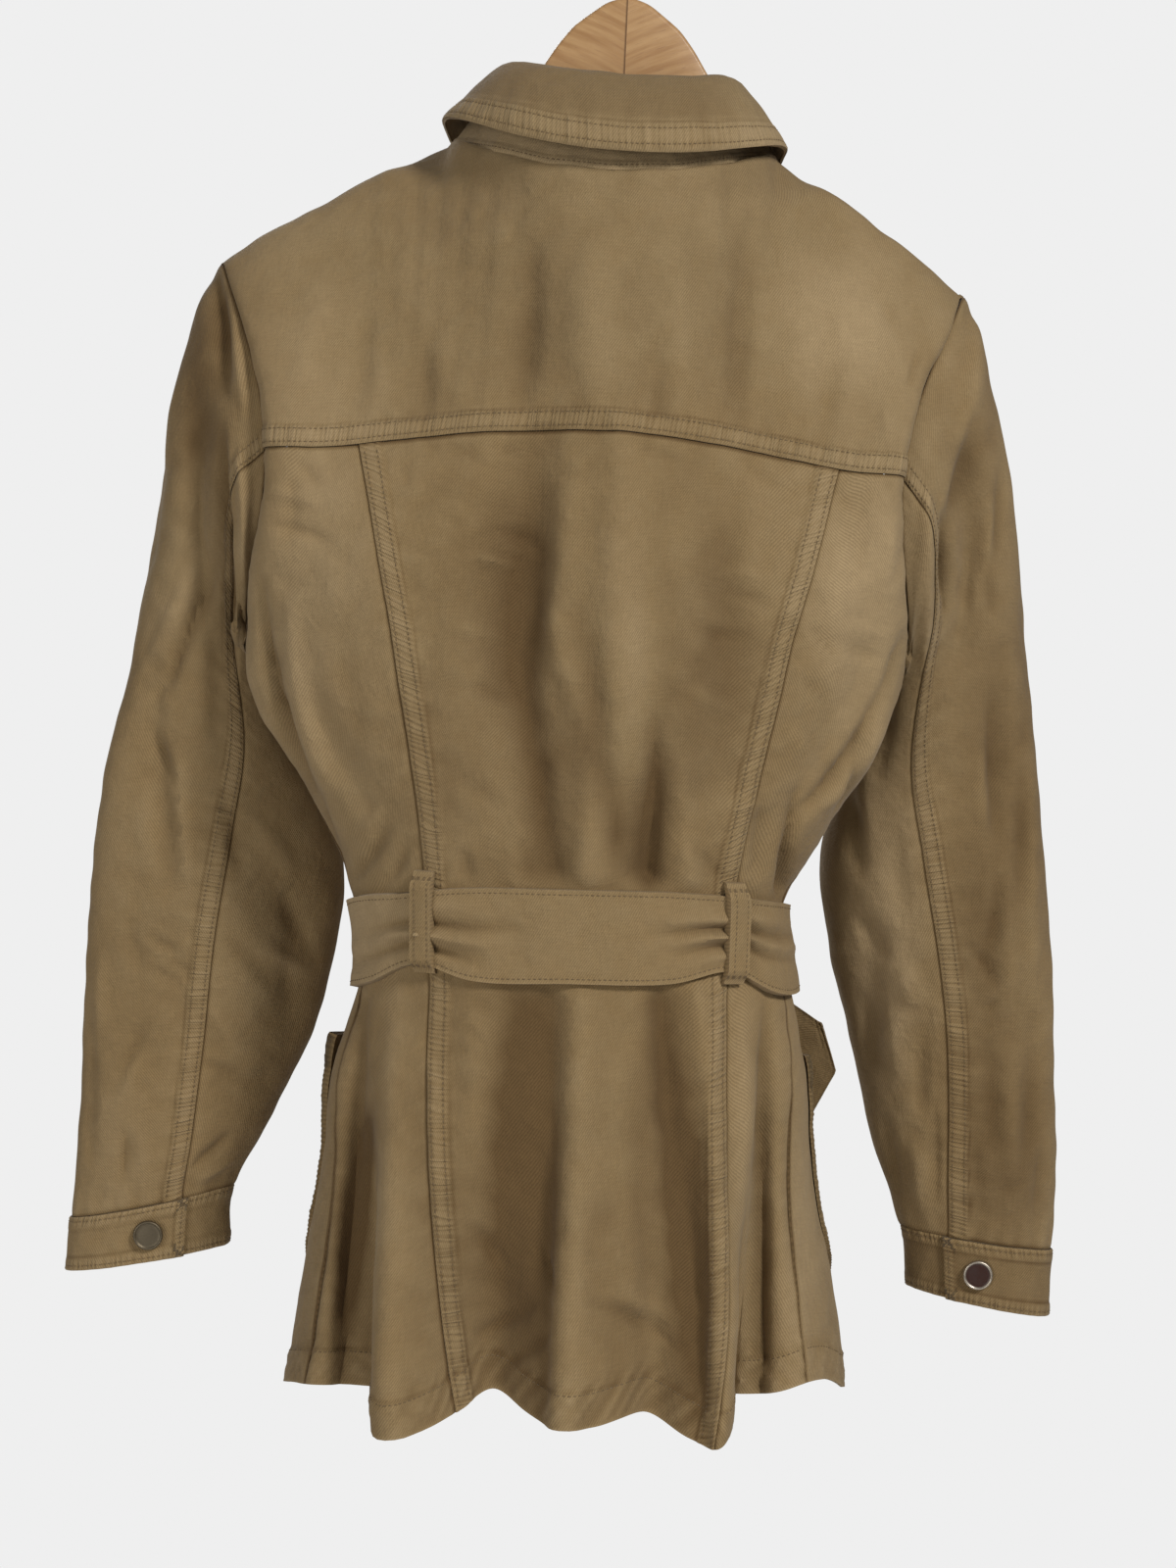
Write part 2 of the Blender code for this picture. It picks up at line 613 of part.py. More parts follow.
def armhole(ring, left):
    """The body's edge at the armhole, by angle round it from the shoulder tip over the back."""
    ring = np.asarray(ring, float) % 360.0
    side = 1.0 if left else -1.0
    rise = (1 + np.cos(np.radians(ring))) / 2
    back = upper_body(np.full(ring.shape, side), rise, True)
    front = upper_body(np.full(ring.shape, side), rise, False)
    return np.where((ring <= 180.0)[..., None], back, front)


def ring_point(ring, run, left):
    rows = LEFT_RINGS if left else RIGHT_RINGS
    outer = np.stack([through(rows, c, run) for c in ("outer_x", "outer_y", "outer_z")], -1)
    inner = np.stack([through(rows, c, run) for c in ("inner_x", "inner_y", "inner_z")], -1)
    turn = np.radians(ring)[..., None]
    middle = (outer + inner) / 2
    depth = through(rows, "depth", run)[..., None] * np.array([0.0, 1.0, 0.0])
    across = signed_power(np.cos(turn), 0.92)
    return middle + (outer - inner) / 2 * across + depth * signed_power(np.sin(turn), 0.92)


def sleeve(ring, run, left):
    """A point of the sleeve: ring is the angle round it, run the way down from the armhole."""
    ring, run = np.broadcast_arrays(np.asarray(ring, float), np.asarray(run, float))
    point = ring_point(ring, run, left)
    start = armhole(ring, left) - ring_point(ring, np.zeros(ring.shape), left)
    fade = np.clip(1.0 - run / 0.14, 0.0, 1.0) ** 2
    point = point + start * fade[..., None]
    rows = LEFT_RINGS if left else RIGHT_RINGS
    middle_x = (through(rows, "outer_x", run) + through(rows, "inner_x", run)) / 2
    middle_y = (through(rows, "outer_y", run) + through(rows, "inner_y", run)) / 2
    middle_z = (through(rows, "outer_z", run) + through(rows, "inner_z", run)) / 2
    outward = unit(point - np.stack([middle_x, middle_y, middle_z], -1))
    rise = np.zeros(ring.shape)
    for fold in SLEEVE_FOLDS:
        share = np.clip((run - fold.run_a) / (fold.run_b - fold.run_a), 0.0, 1.0)
        away = (ring - fold.ring_a - (fold.ring_b - fold.ring_a) * share + 180.0) % 360.0 - 180.0
        rise = rise + fold.rise * np.sin(math.pi * share) ** 1.3 * np.exp(-((away / fold.spread) ** 2))
    return point + outward * rise[..., None]


def tube_skins(surface, ring, run, left, outside, inside):
    points = surface(ring, run, left)
    nudge = 0.05
    around = surface(ring + nudge, run, left) - surface(ring - nudge, run, left)
    down = surface(ring, run + STEP, left) - surface(ring, np.maximum(run - STEP, 0.0), left)
    normal = unit(np.cross(down, around)) * (1.0 if left else -1.0)
    return points + outside * normal, points + inside * normal


SLEEVE_RUNS = (0.0, 0.016, 0.04, 0.075, 0.12, 0.17, 0.22, 0.27, 0.32, 0.38, 0.44, 0.505, SLEEVE_END)


def make_sleeves(materials, parent):
    """Each sleeve in two pieces, whose columns start at the body's own rows round the armhole."""
    cloth = materials["twill"]
    run = np.array(SLEEVE_RUNS)
    run[0] += 3 * SEAM
    yoke_rise = (float(yoke_level(np.asarray(90.0))) - ARMPIT_Z) / UPPER
    upper_back = np.array((yoke_rise, *YOKE_RISES))
    upper_front = np.array([rise for rise in FRONT_RISES if rise > 0.30])[:-1]
    start_upper = np.concatenate([-ring_of(upper_front), ring_of(upper_back)[::-1]])
    start_under = np.concatenate(
        [
            ring_of(np.array((yoke_rise, *UPPER_RISES[::-1], 0.0))),
            360.0 - ring_of(np.array([rise for rise in FRONT_RISES if rise < 0.34])),
        ]
    )
    back = through(SLEEVE_SEAMS, "back", run)[:, None]
    front = through(SLEEVE_SEAMS, "front", run)[:, None]
    settle = ease(run / 0.10)[:, None]
    for left, word in ((True, "left"), (False, "right")):
        for name, start, first, last in (
            ("sleeve_upper_" + word, start_upper, front - 360.0, back),
            ("sleeve_under_" + word, start_under, back, front),
        ):
            even = first + (last - first) * np.linspace(0.0, 1.0, len(start))
            ring = start + (even - start) * settle
            grid_run = np.broadcast_to(run[:, None], ring.shape)
            outer, inner = tube_skins(sleeve, trim_sides(ring), grid_run, left, 0.0, -CLOTH)
            inner[0] = outer[0] - CLOTH * mitre(ring[0], left)
            wall(name, outer, inner, cloth, parent)


def ring_of(rise):
    """The angle round the armhole at which its edge has this rise."""
    return np.degrees(np.arccos(2 * rise - 1))


def trim_sides(ring):
    """Pull the two long edges of a sleeve piece in by about half a seam."""
    trimmed = ring.copy()
    trimmed[:, 0] += 0.85
    trimmed[:, -1] -= 0.85
    return trimmed


CUFF_START = 84.0
CUFF_TURN = 393.0
CUFF_LAP = 0.0030
CUFF_COLUMNS = 22


def make_cuffs(materials, parent):
    """Cuffs that lap over themselves at the back seam, each with a button on the lap."""
    ring = CUFF_START + np.linspace(0.0, CUFF_TURN, CUFF_COLUMNS + 1)
    lap = CUFF_LAP * ease((np.linspace(0.0, CUFF_TURN, CUFF_COLUMNS + 1) - 230.0) / 110.0)
    run = np.linspace(SLEEVE_END + SEAM, CUFF_END, 3)
    rings, runs = np.meshgrid(ring, run)
    for left, word in ((True, "left"), (False, "right")):
        outer, inner = tube_skins(sleeve, rings, runs, left, 0.0, -DOUBLE_CLOTH)
        normal = unit(outer - inner)
        outer = outer + normal * lap[None, :, None]
        inner = inner + normal * lap[None, :, None]
        wall("cuff_" + word, outer, inner, materials["twill"], parent)
        spot, out = tube_skins(sleeve, np.array([92.0]), np.array([0.590]), left, 0.0, 1.0)
        direction = unit(out - spot)[0]
        seat = spot[0] + direction * (CUFF_LAP + SEAM + 0.0004)
        metal = materials["nickel"] if left else materials["brown_enamel"]
        button("cuff_button_" + word, seat, direction, metal, parent)


# ---------------------------------------------------------------- collar


STAND_END = 172.0
FALL_END = 163.0
FALL_COLUMNS = 24
STAND_TOP = (0.0660, 0.0470, -0.0500)
STAND_TOP_Z = (-0.1160, -0.1075, -0.1660)
FALL_EDGE = (0.0950, 0.0760, -0.0900)
FALL_EDGE_Z = (-0.1600, -0.1395, -0.2080)


def oval(turn, sizes, heights, mid_x):
    """A point of a neck ring: sizes are half width, back y and front y; heights back, side, front."""
    back = np.cos(turn) > 0
    y = np.where(back, sizes[1], -sizes[2]) * np.cos(turn)
    side = np.sin(turn) ** 2
    z = np.where(back, heights[0], heights[2]) * (1 - side) + heights[1] * side
    return np.stack([mid_x + sizes[0] * np.sin(turn), y, z], -1)


def neck_corners():
    """Turn and place of each corner of the body's neck edge, from centre front round to centre front."""
    quarter = np.arcsin(spread(NECK_SHARES) / spread(np.asarray(NECK_AT)))
    half = np.append(quarter, (math.pi - quarter[::-1])[1:])
    back = top_edge(NECK_SHARES, True)
    front = top_edge(NECK_SHARES, False)[::-1]
    left = np.concatenate([back, front[1:]])
    back = top_edge(-NECK_SHARES, True)
    front = top_edge(-NECK_SHARES, False)[::-1]
    right = np.concatenate([back, front[1:]])
    return np.append(-half[::-1], half[1:]), np.concatenate([right[::-1], left[1:]])


def neckline(turn):
    """The neckline of the body, by its turn from the centre back."""
    turns, places = neck_corners()
    return np.stack([np.interp(turn, turns, places[:, k]) for k in range(3)], -1)


def collar(turn, rise):
    """The collar's path, rise 0 to 1 up the stand and 1 to 2 down the fall."""
    turn, rise = np.broadcast_arrays(turn, rise)
    foot = neckline(turn) + np.array([0.0, 0.0, 3 * SEAM])
    top = oval(turn, STAND_TOP, STAND_TOP_Z, 0.0025)
    edge = oval(turn, FALL_EDGE, FALL_EDGE_Z, 0.0045)
    up = np.clip(rise, 0.0, 1.0)[..., None]
    down = np.clip(rise - 1.0, 0.0, 1.0)[..., None]
    outward = unit((edge - top) * np.array([1.0, 1.0, 0.0]))
    stand = foot + (top - foot) * up
    fall = top + (edge - top) * down + outward * 0.006 * np.sin(math.pi * down) ** 0.7
    return np.where(rise[..., None] <= 1.0, stand, fall)


def make_collar(materials, parent):
    """Stand and fall. The stand's columns are those of the neck edge that it is sewn to."""
    cloth = materials["twill"]
    stand = np.degrees(neck_corners()[0])
    stand[0] = -STAND_END
    stand[-1] = STAND_END
    fall = np.linspace(-FALL_END, FALL_END, FALL_COLUMNS + 1)
    for name, turns, rises, out, inn in (
        ("collar_stand", stand, (0.0, 0.45, 0.93), 0.0, -DOUBLE_CLOTH),
        ("collar_fall", fall, (1.0, 1.12, 1.4, 1.7, 2.0), 0.0046, 0.0024),
    ):
        turn = np.radians(turns)
        turns, grid = np.meshgrid(turn, np.array(rises))
        points = collar(turns, grid)
        side = collar(turns + 1e-3, grid) - collar(turns - 1e-3, grid)
        low = np.clip(grid - 2e-3, 1.0 if rises[0] >= 1.0 else 0.0, 2.0)
        high = np.clip(grid + 2e-3, 0.0, 1.0 if rises[0] < 1.0 else 2.0)
        climb = collar(turns, high) - collar(turns, low)
        facing = 1.0 if rises[0] < 1.0 else -1.0
        normal = unit(np.cross(climb, side)) * facing
        outer, inner = points + out * normal, points + inn * normal
        if name == "collar_stand":
            inner[0, :, 2] = outer[0, :, 2]
        wall(name, outer, inner, cloth, parent)


# ---------------------------------------------------------------- placket, pockets, belt


def lay_on(grid, back, columns, rows):
    """Points on a piece's own facets, by fractional column and row, and the way out from them."""
    angle, level = grid
    corners, inner = body_skins(angle, level, back, 0.0, -1.0)
    outward = corners - inner
    columns, rows = np.broadcast_arrays(columns, rows)
    j = np.clip(columns.astype(int), 0, angle.shape[1] - 2)
    i = np.clip(rows.astype(int), 0, angle.shape[0] - 2)
    u = (columns - j)[..., None]
    v = (rows - i)[..., None]

    def mixed(values):
        ends = values[i, j] * (1 - np.maximum(u, v)) + values[i + 1, j + 1] * np.minimum(u, v)
        return ends + values[i, j + 1] * np.maximum(u - v, 0) + values[i + 1, j] * np.maximum(v - u, 0)

    return mixed(corners), unit(mixed(outward))


def make_placket(grids, materials, parent):
    """The front band, sewn to the right front over the left one, with its buttons."""
    angle, level = grids["front_right"]
    levels = level[:, 0].copy()
    levels[0] += 0.001
    levels[-1] -= 0.002
    half = []
    for value in levels:
        point = body(np.array([180.0]), np.array([value]), False)[0]
        one = body(np.array([177.0]), np.array([value]), False)[0]
        half.append(PLACKET_WIDTH / 2 / np.linalg.norm(one - point) * 3.0)
    half = np.array(half)[:, None]
    angles = 180.0 + half * np.array([-1.0, 0.0, 1.0])
    grid_levels = np.broadcast_to(levels[:, None], angles.shape)
    body_wall(
        "front_placket", angles, grid_levels, False, materials["twill"], parent, 0.0010 + CLOTH, 0.0010
    )
    for number, value in enumerate(FRONT_BUTTON_LEVELS, 1):
        seat, out = body_skins(np.array([180.0]), np.array([value]), False, 0.0, 1.0)
        direction = unit(out - seat)[0]
        place = seat[0] + direction * (0.0010 + CLOTH + SEAM + 0.0003)
        button(f"front_button_{number}", place, direction, materials["nickel"], parent)


POCKET_COLUMNS = (2.0, 3.0, 4.0, 5.0, 6.0, 6.35)
POCKET_ROWS = (2.0, 3.0, 4.0, 5.0, 6.0, 7.0)
POCKET_CORNER = (0.45, 0.40)
POCKET_LIFT = 0.0009
POCKET_GAPE = 0.0080


def make_pockets(grids, materials, parent):
    """Patch pockets with cut lower corners and a mouth that stands away at the side.

    Columns and rows are counted on the front's own, from the centre front and from the hem.
    """
    for left, name, front in ((True, "pocket_left", "front_left"), (False, "pocket_right", "front_right")):
        columns, rows = np.meshgrid(POCKET_COLUMNS, POCKET_ROWS)
        side = (columns - columns[0, 0]) / (columns[0, -1] - columns[0, 0])
        up = (rows - rows[0, 0]) / (rows[-1, 0] - rows[0, 0])
        columns[0, 0] += POCKET_CORNER[0]
        columns[0, -1] -= POCKET_CORNER[0] / 2
        rows[0, 0] += POCKET_CORNER[1]
        rows[0, -1] += POCKET_CORNER[1]
        gape = POCKET_GAPE * np.clip((up - 0.4) / 0.6, 0.0, 1.0) ** 1.5 * side**1.5
        if left:
            columns = grids[front][0].shape[1] - 1 - columns
        points, outward = lay_on(grids[front], False, columns, rows)
        away = POCKET_LIFT + gape[..., None]
        outer = points + outward * (away + CLOTH)
        wall(name, outer, points + outward * away, materials["twill"], parent)


def belt_columns(level):
    """Every column of the body pieces at one level, so that the belt lies on their facets."""
    right_front = front_columns(level, False)
    left_front = front_columns(level, True)[::-1]
    right_side = side_columns(level, False)[::-1]
    left_side = side_columns(level, True)
    return np.concatenate(
        [right_front, right_side[1:], centre_columns(level)[1:], left_side[1:], left_front[1:]]
    )


def make_belt(materials, parent):
    cloth = materials["twill"]
    angle = belt_columns(-0.59)
    angle[0] += 4.0
    angle[-1] -= 4.0
    top = through(BELT_EDGES, "top", angle)
    low = through(BELT_EDGES, "low", angle)
    rows = np.array([0.0, 0.33, 0.66, 1.0])[:, None]
    level = low + (top - low) * rows
    angles = np.broadcast_to(angle, level.shape)
    at_front = ease((np.abs(angle) - 166.0) / 6.0)
    lift = 0.0022 + 0.0012 * np.sin(math.pi * rows) + 0.0022 * at_front
    outer, inner = body_skins(angles, level, True, 1.0, 0.0)
    outward = outer - inner
    base = inner
    wall(
        "belt_band",
        base + outward * (lift[..., None] + DOUBLE_CLOTH),
        base + outward * lift[..., None],
        cloth,
        parent,
    )
    knot(materials, parent)
    ribbon("belt_tail_left", LEFT_TAIL, cloth, parent, 0.0)
    ribbon("belt_tail_right", RIGHT_TAIL, cloth, parent, 0.022)
    make_loops(materials, parent)


def knot(materials, parent):
    """The belt's knot at the centre front, a soft round block."""
    sizes = np.array([0.026, 0.0095, 0.026])
    centre = np.array([0.0075, -0.0807, -0.5960])
    rings, turns = 7, 14
    points = [centre + sizes * np.array([0.0, 0.0, -1.0])]
    for i in range(1, rings):
        lift = math.pi * i / rings - math.pi / 2
        for j in range(turns):
            turn = 2 * math.pi * j / turns
            flat = signed_power(math.cos(lift), 0.7)
            shape = np.array(
                [
                    flat * signed_power(math.cos(turn), 0.7),
                    flat * signed_power(math.sin(turn), 0.7),
                    signed_power(math.sin(lift), 0.7),
                ]
            )
            points.append(centre + sizes * shape)
    points.append(centre + sizes * np.array([0.0, 0.0, 1.0]))
    faces = []
    last = len(points) - 1
    for j in range(turns):
        after = (j + 1) % turns
        faces.append((0, 1 + after, 1 + j))
        faces.append((last, 1 + (rings - 2) * turns + j, 1 + (rings - 2) * turns + after))
        for i in range(rings - 2):
            a = 1 + i * turns
            b = a + turns
            faces.append((a + j, a + after, b + after, b + j))
    solid("belt_knot", points, faces, materials["twill"], parent)


def ribbon(name, path, material, parent, chamfer):
    """A hanging end of the belt: a flat strip along a path, one corner cut off if chamfer is set."""
    points = np.array([tuple(p) for p in path])
    shares = np.linspace(0.0, 1.0, len(points))
    fine = np.linspace(0.0, 1.0, 9)
    line = np.stack([np.interp(fine, shares, points[:, k]) for k in range(3)], -1)
    along = unit(np.gradient(line, axis=0))
    facing = np.array([0.0, -1.0, 0.0])
    width = unit(np.cross(facing, along)) * BELT_WIDTH / 2
    half = np.array([-1.0, -0.58, -0.16, 0.42, 1.0])
    grid = line[:, None, :] + width[:, None, :] * half[None, :, None]
    upper = half if width[-1, 2] > 0 else -half
    cut = chamfer * np.clip((upper - 0.16) / 0.84, 0.0, 1.0)
    grid[-1] -= along[-1] * cut[:, None]
    grid[:, :, 1] += TAIL_CURL * (half**2)[None, :]
    wall(name, grid + facing * DOUBLE_CLOTH / 2, grid - facing * DOUBLE_CLOTH / 2, material, parent)


def make_loops(materials, parent):
    """Two belt loops over the princess seams."""
    for left, word, lean in ((True, "left", -0.003), (False, "right", -0.001)):
        middle = 0.0880 if left else -0.0785
        top = -0.5525 if left else -0.5515
        low = top - 0.056
        levels = np.linspace(low, top, 8)
        lift = np.array([0.0010, 0.0011, 0.0072, 0.0076, 0.0076, 0.0072, 0.0011, 0.0010])
        levels[1] = low + 0.0015
        levels[-2] = top - 0.0045
        levels[2] = low + 0.0030
        levels[-3] = top - 0.0060
        x = middle + lean * (top - levels) / 0.056
        half = np.linspace(-0.5, 0.5, 3) * LOOP_WIDTH
        angles = angle_on_back(x[:, None] + half, np.broadcast_to(levels[:, None], (8, 3)))
        grid = np.broadcast_to(levels[:, None], angles.shape)
        outer, inner = body_skins(angles, grid, True, 1.0, 0.0)
        outward = outer - inner
        away = lift[:, None, None]
        wall(
            "belt_loop_" + word,
            inner + outward * (away + CLOTH),
            inner + outward * away,
            materials["twill"],
            parent,
        )


def button(name, place, direction, material, parent):
    """A shallow domed disc standing on its seat."""
    profile = (
        (0.0, 0.0),
        (0.86, 0.0),
        (1.0, 0.25),
        (1.0, 0.70),
        (0.90, 1.0),
        (0.78, 0.80),
        (0.0, 0.86),
    )
    sides = 24
    up = unit(np.asarray(direction))
    across = unit(np.cross(up, np.array([0.0, 0.0, 1.0])))
    over = np.cross(up, across)
    points, faces = [place + up * profile[0][1] * BUTTON_THICKNESS], []
    for radius, height in profile[1:-1]:
        for k in range(sides):
            turn = 2 * math.pi * k / sides
            reach = (across * math.cos(turn) + over * math.sin(turn)) * radius * BUTTON_RADIUS
            points.append(place + reach + up * height * BUTTON_THICKNESS)
    points.append(place + up * profile[-1][1] * BUTTON_THICKNESS)
    last = len(points) - 1
    rings = len(profile) - 2
    for k in range(sides):
        after = (k + 1) % sides
        faces.append((0, 1 + after, 1 + k))
        faces.append((last, 1 + (rings - 1) * sides + k, 1 + (rings - 1) * sides + after))
        for i in range(rings - 1):
            a = 1 + i * sides
            b = a + sides
            faces.append((a + k, a + after, b + after, b + k))
    solid(name, points, faces, material, parent)


# ---------------------------------------------------------------- hanger


ArchPoint = namedtuple("ArchPoint", "x top low")
ARCH = (
    ArchPoint(0.0000, WOOD_TOP_Z, -0.1250),
    ArchPoint(0.0120, -0.0600, -0.1245),
    ArchPoint(0.0300, -0.0740, -0.1270),
    ArchPoint(0.0385, -0.0850, -0.1300),
    ArchPoint(0.0465, -0.0980, -0.1350),
    ArchPoint(0.0560, -0.1130, -0.1430),
    ArchPoint(0.0640, -0.1420, -0.1650),
    ArchPoint(0.0820, -0.1615, -0.1870),
)
ARM_X = (0.100, 0.116, 0.134, 0.152, 0.170, 0.186)
ARM_TALL = (0.027, 0.026, 0.025, 0.024, 0.023, 0.020)
ARM_CLEAR = 0.0012


def under_shoulder(x, left):
    """Height of the inside of the coat over the hanger's arm at this x, at its lowest point."""
    share, rise = np.meshgrid(np.linspace(0.2, 1.0, 161), np.linspace(0.8, 1.0, 81))
    side = 1.0 if left else -1.0
    lowest = []
    for back in (True, False):
        points = upper_body(share * side, rise, back)
        over_arm = np.abs(points[..., 1]) < ARM_THICKNESS / 2 + CLOTH
        near = np.abs(points[..., 0] - x * side) < 0.003
        if (over_arm & near).any():
            lowest.append(points[over_arm & near][:, 2].min())
    return min(lowest) - CLOTH


def make_hanger(materials, parent):
    """Two wooden arms mitred at the middle, and the wire hook."""
    for left, word in ((True, "left"), (False, "right")):
        side = 1.0 if left else -1.0
        rows = [(max(point.x, SEAM / 2), point.top, point.low) for point in ARCH]
        for x, tall in zip(ARM_X, ARM_TALL):
            top = under_shoulder(x, left) - ARM_CLEAR
            rows.append((x, top, top - tall))
        front = np.array([[(x * side, -ARM_THICKNESS / 2, z) for z in (top, low)] for x, top, low in rows])
        rear = front * np.array([1.0, -1.0, 1.0])
        wall("hanger_arm_" + word, rear, front, materials["wood"], parent)
    hook(materials, parent)


HOOK_SIDES = 8


def hook(materials, parent):
    """The hook: a straight shank, an easy bend, and most of a circle round the rail."""
    centre_z = WIRE_RADIUS - HOOK_RADIUS
    route = [(0.0, WOOD_TOP_Z + SEAM), (0.0, -0.0500)]
    for turn in np.radians(np.linspace(-78.0, 205.0, 24)):
        route.append((HOOK_RADIUS * math.cos(turn), centre_z + HOOK_RADIUS * math.sin(turn)))
    path = np.array([(x, 0.0, z) for x, z in route])
    along = unit(np.gradient(path, axis=0))
    sideways = np.array([0.0, 1.0, 0.0])
    inward = np.cross(along, sideways)
    turns = np.arange(HOOK_SIDES) * 2 * math.pi / HOOK_SIDES
    points, faces = [path[0]], []
    for centre, out in zip(path, inward):
        for turn in turns:
            points.append(centre + WIRE_RADIUS * (math.cos(turn) * out + math.sin(turn) * sideways))
    points.append(path[-1])
    last = len(points) - 1
    for k in range(HOOK_SIDES):
        after = (k + 1) % HOOK_SIDES
        end = 1 + (len(path) - 1) * HOOK_SIDES
        faces.append((0, 1 + after, 1 + k))
        faces.append((last, end + k, end + after))
        for i in range(len(path) - 1):
            a = 1 + i * HOOK_SIDES
            b = a + HOOK_SIDES
            faces.append((a + k, a + after, b + after, b + k))
    solid("hanger_hook", points, faces, materials["steel"], parent)


def main():
    for old in list(bpy.data.objects):
        bpy.data.objects.remove(old, do_unlink=True)
    materials = {
        "twill": finish("khaki_twill", (0.238, 0.171, 0.086), 0.88),
        "nickel": finish("dull_nickel", (0.30, 0.27, 0.22), 0.35, 1.0),
        "brown_enamel": finish("brown_enamel", (0.037, 0.008, 0.003), 0.25, 0.2),
        "wood": finish("beech", (0.48, 0.29, 0.13), 0.45),
        "steel": finish("bright_steel", (0.62, 0.62, 0.60), 0.25, 1.0),
    }
    coat = bpy.data.objects.new("trench_coat", None)
    bpy.context.collection.objects.link(coat)
    grids = make_body(materials, coat)
    make_sleeves(materials, coat)
    make_cuffs(materials, coat)
    make_collar(materials, coat)
    make_placket(grids, materials, coat)
    make_pockets(grids, materials, coat)
    make_belt(materials, coat)
    make_hanger(materials, coat)


main()
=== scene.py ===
"""The looks of a short belted trench coat of cotton twill on a wooden hanger.

Metres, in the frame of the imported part: +Z up, +X the wearer's left, +Y the back of the coat.
Every cloth piece is a thin wall on the coat's own form, which is read by an angle round the body
(0 centre back, 90 the wearer's left side, 180 centre front) and a level. The level is the height
up to the armpits, and above them it climbs UPPER to the shoulder seam and the neckline.
"""

import json
import logging
import math
from collections.abc import Callable, Sequence
from dataclasses import dataclass, field, replace
from enum import Enum
from typing import NamedTuple

import bpy
import numpy as np
from mathutils import Matrix

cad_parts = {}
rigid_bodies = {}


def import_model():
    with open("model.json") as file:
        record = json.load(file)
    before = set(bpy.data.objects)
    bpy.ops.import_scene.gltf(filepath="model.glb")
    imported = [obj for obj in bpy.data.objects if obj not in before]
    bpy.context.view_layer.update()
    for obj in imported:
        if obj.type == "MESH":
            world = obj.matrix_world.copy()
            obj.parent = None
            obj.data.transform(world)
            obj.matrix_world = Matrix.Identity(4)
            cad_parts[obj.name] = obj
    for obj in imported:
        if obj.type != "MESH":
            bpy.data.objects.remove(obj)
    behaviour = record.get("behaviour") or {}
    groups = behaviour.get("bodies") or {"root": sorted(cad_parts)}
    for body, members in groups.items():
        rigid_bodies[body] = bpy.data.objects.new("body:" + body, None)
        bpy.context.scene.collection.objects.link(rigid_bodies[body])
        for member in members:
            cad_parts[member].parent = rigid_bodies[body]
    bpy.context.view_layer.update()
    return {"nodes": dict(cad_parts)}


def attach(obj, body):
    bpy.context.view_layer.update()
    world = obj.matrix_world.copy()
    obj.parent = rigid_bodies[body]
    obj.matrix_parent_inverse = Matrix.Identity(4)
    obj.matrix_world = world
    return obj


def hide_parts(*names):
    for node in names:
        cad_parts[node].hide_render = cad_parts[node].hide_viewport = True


LOG = logging.getLogger("coat")
Array = np.ndarray
Colour = tuple[float, float, float]
Material, Object = bpy.types.Material, bpy.types.Object
Tree, Socket = bpy.types.NodeTree, bpy.types.NodeSocket

MM = 1000.0
CLOTH = 0.0016
DOUBLE_CLOTH = 0.0022
SEAM = 0.0003
ARMPIT_Z = -0.420
UPPER = 0.200
SLEEVE_END = 0.57
CUFF_END = 0.61
BELT_WIDTH = 0.050
ARMS = ("wood_arm_left", "wood_arm_right")


class Side(Enum):
    """The wearer's left or right, with its sign along X."""

    LEFT = 1
    RIGHT = -1

    @property
    def word(self) -> str:
        """The side's name in node names."""
        return self.name.lower()


class Face(Enum):
    """The side of the coat that a row of creases is on, with its sign along Y."""

    BACK = 1
    FRONT = -1


class Edge(Enum):
    """An edge of a cloth grid: its first or last column, its first or last row."""

    FIRST = "first column"
    LAST = "last column"
    LOW = "first row"
    TOP = "last row"


# --- tables of the form


def table(columns: str, *rows: Sequence[float]) -> tuple[NamedTuple, ...]:
    """A table with named columns.

    Args:
        columns: their names. A star marks a length given in millimetres, which becomes metres.
        rows: the values of each row.

    Returns:
        The rows.
    """
    names = columns.split()
    kind = NamedTuple("Row", [(name.rstrip("*"), float) for name in names])
    scales = [MM if name.endswith("*") else 1.0 for name in names]
    return tuple(kind(*(value / scale for value, scale in zip(row, scales))) for row in rows)


# The body's plain section at each height below the armpits
SECTIONS = table(
    "z* width* back* front* mid_x* mid_y* square",
    (-880, 164, 124, 88, -1, -20, 2.5), (-800, 153.5, 112, 84, 1, -16, 2.45), (-720, 139, 97, 78, 4, -10, 2.4),
    (-660, 133, 83, 73, 5, -4, 2.35), (-620, 122.5, 74, 66, 4, 0, 2.3), (-590, 119.5, 71, 63, 7, 0, 2.3),
    (-565, 122.5, 72, 64, 12, 0, 2.3), (-530, 139, 76, 68, 11, 0, 2.28), (-495, 160.5, 78, 70, 11, 0, 2.25),
    (-460, 179, 79, 70, 13, 0, 2.22), (-430, 186.5, 79, 69, 13, 0, 2.2), (-400, 185, 78, 68, 12, 0, 2.2),
)  # fmt: skip
# Where the long seams run at each height: princess seams by x, side seams by angle
SEAM_ROWS = table(
    "z* princess_left* princess_right* side_left side_right",
    (-870, 56, -73, 61, 52), (-790, 68, -80, 62, 54), (-720, 77, -80, 66, 60), (-650, 82.5, -78, 72, 66),
    (-608, 84, -77.5, 78, 72), (-553, 89, -80.5, 86, 85), (-500, 97.5, -89.5, 90, 90), (-446, 108, -100, 90, 90),
    (-400, 116, -107, 90, 90),
)  # fmt: skip
# The hem's height round the body
HEM = table(
    "angle z*",
    (-180, -862), (-120, -846), (-80, -834), (-62, -822), (-50, -822), (-42, -828), (-31, -834), (-24, -848),
    (-12, -834), (1, -840), (13, -829), (18, -840), (30, -852), (40, -842), (50, -836), (64, -838), (90, -850),
    (180, -862),
)  # fmt: skip
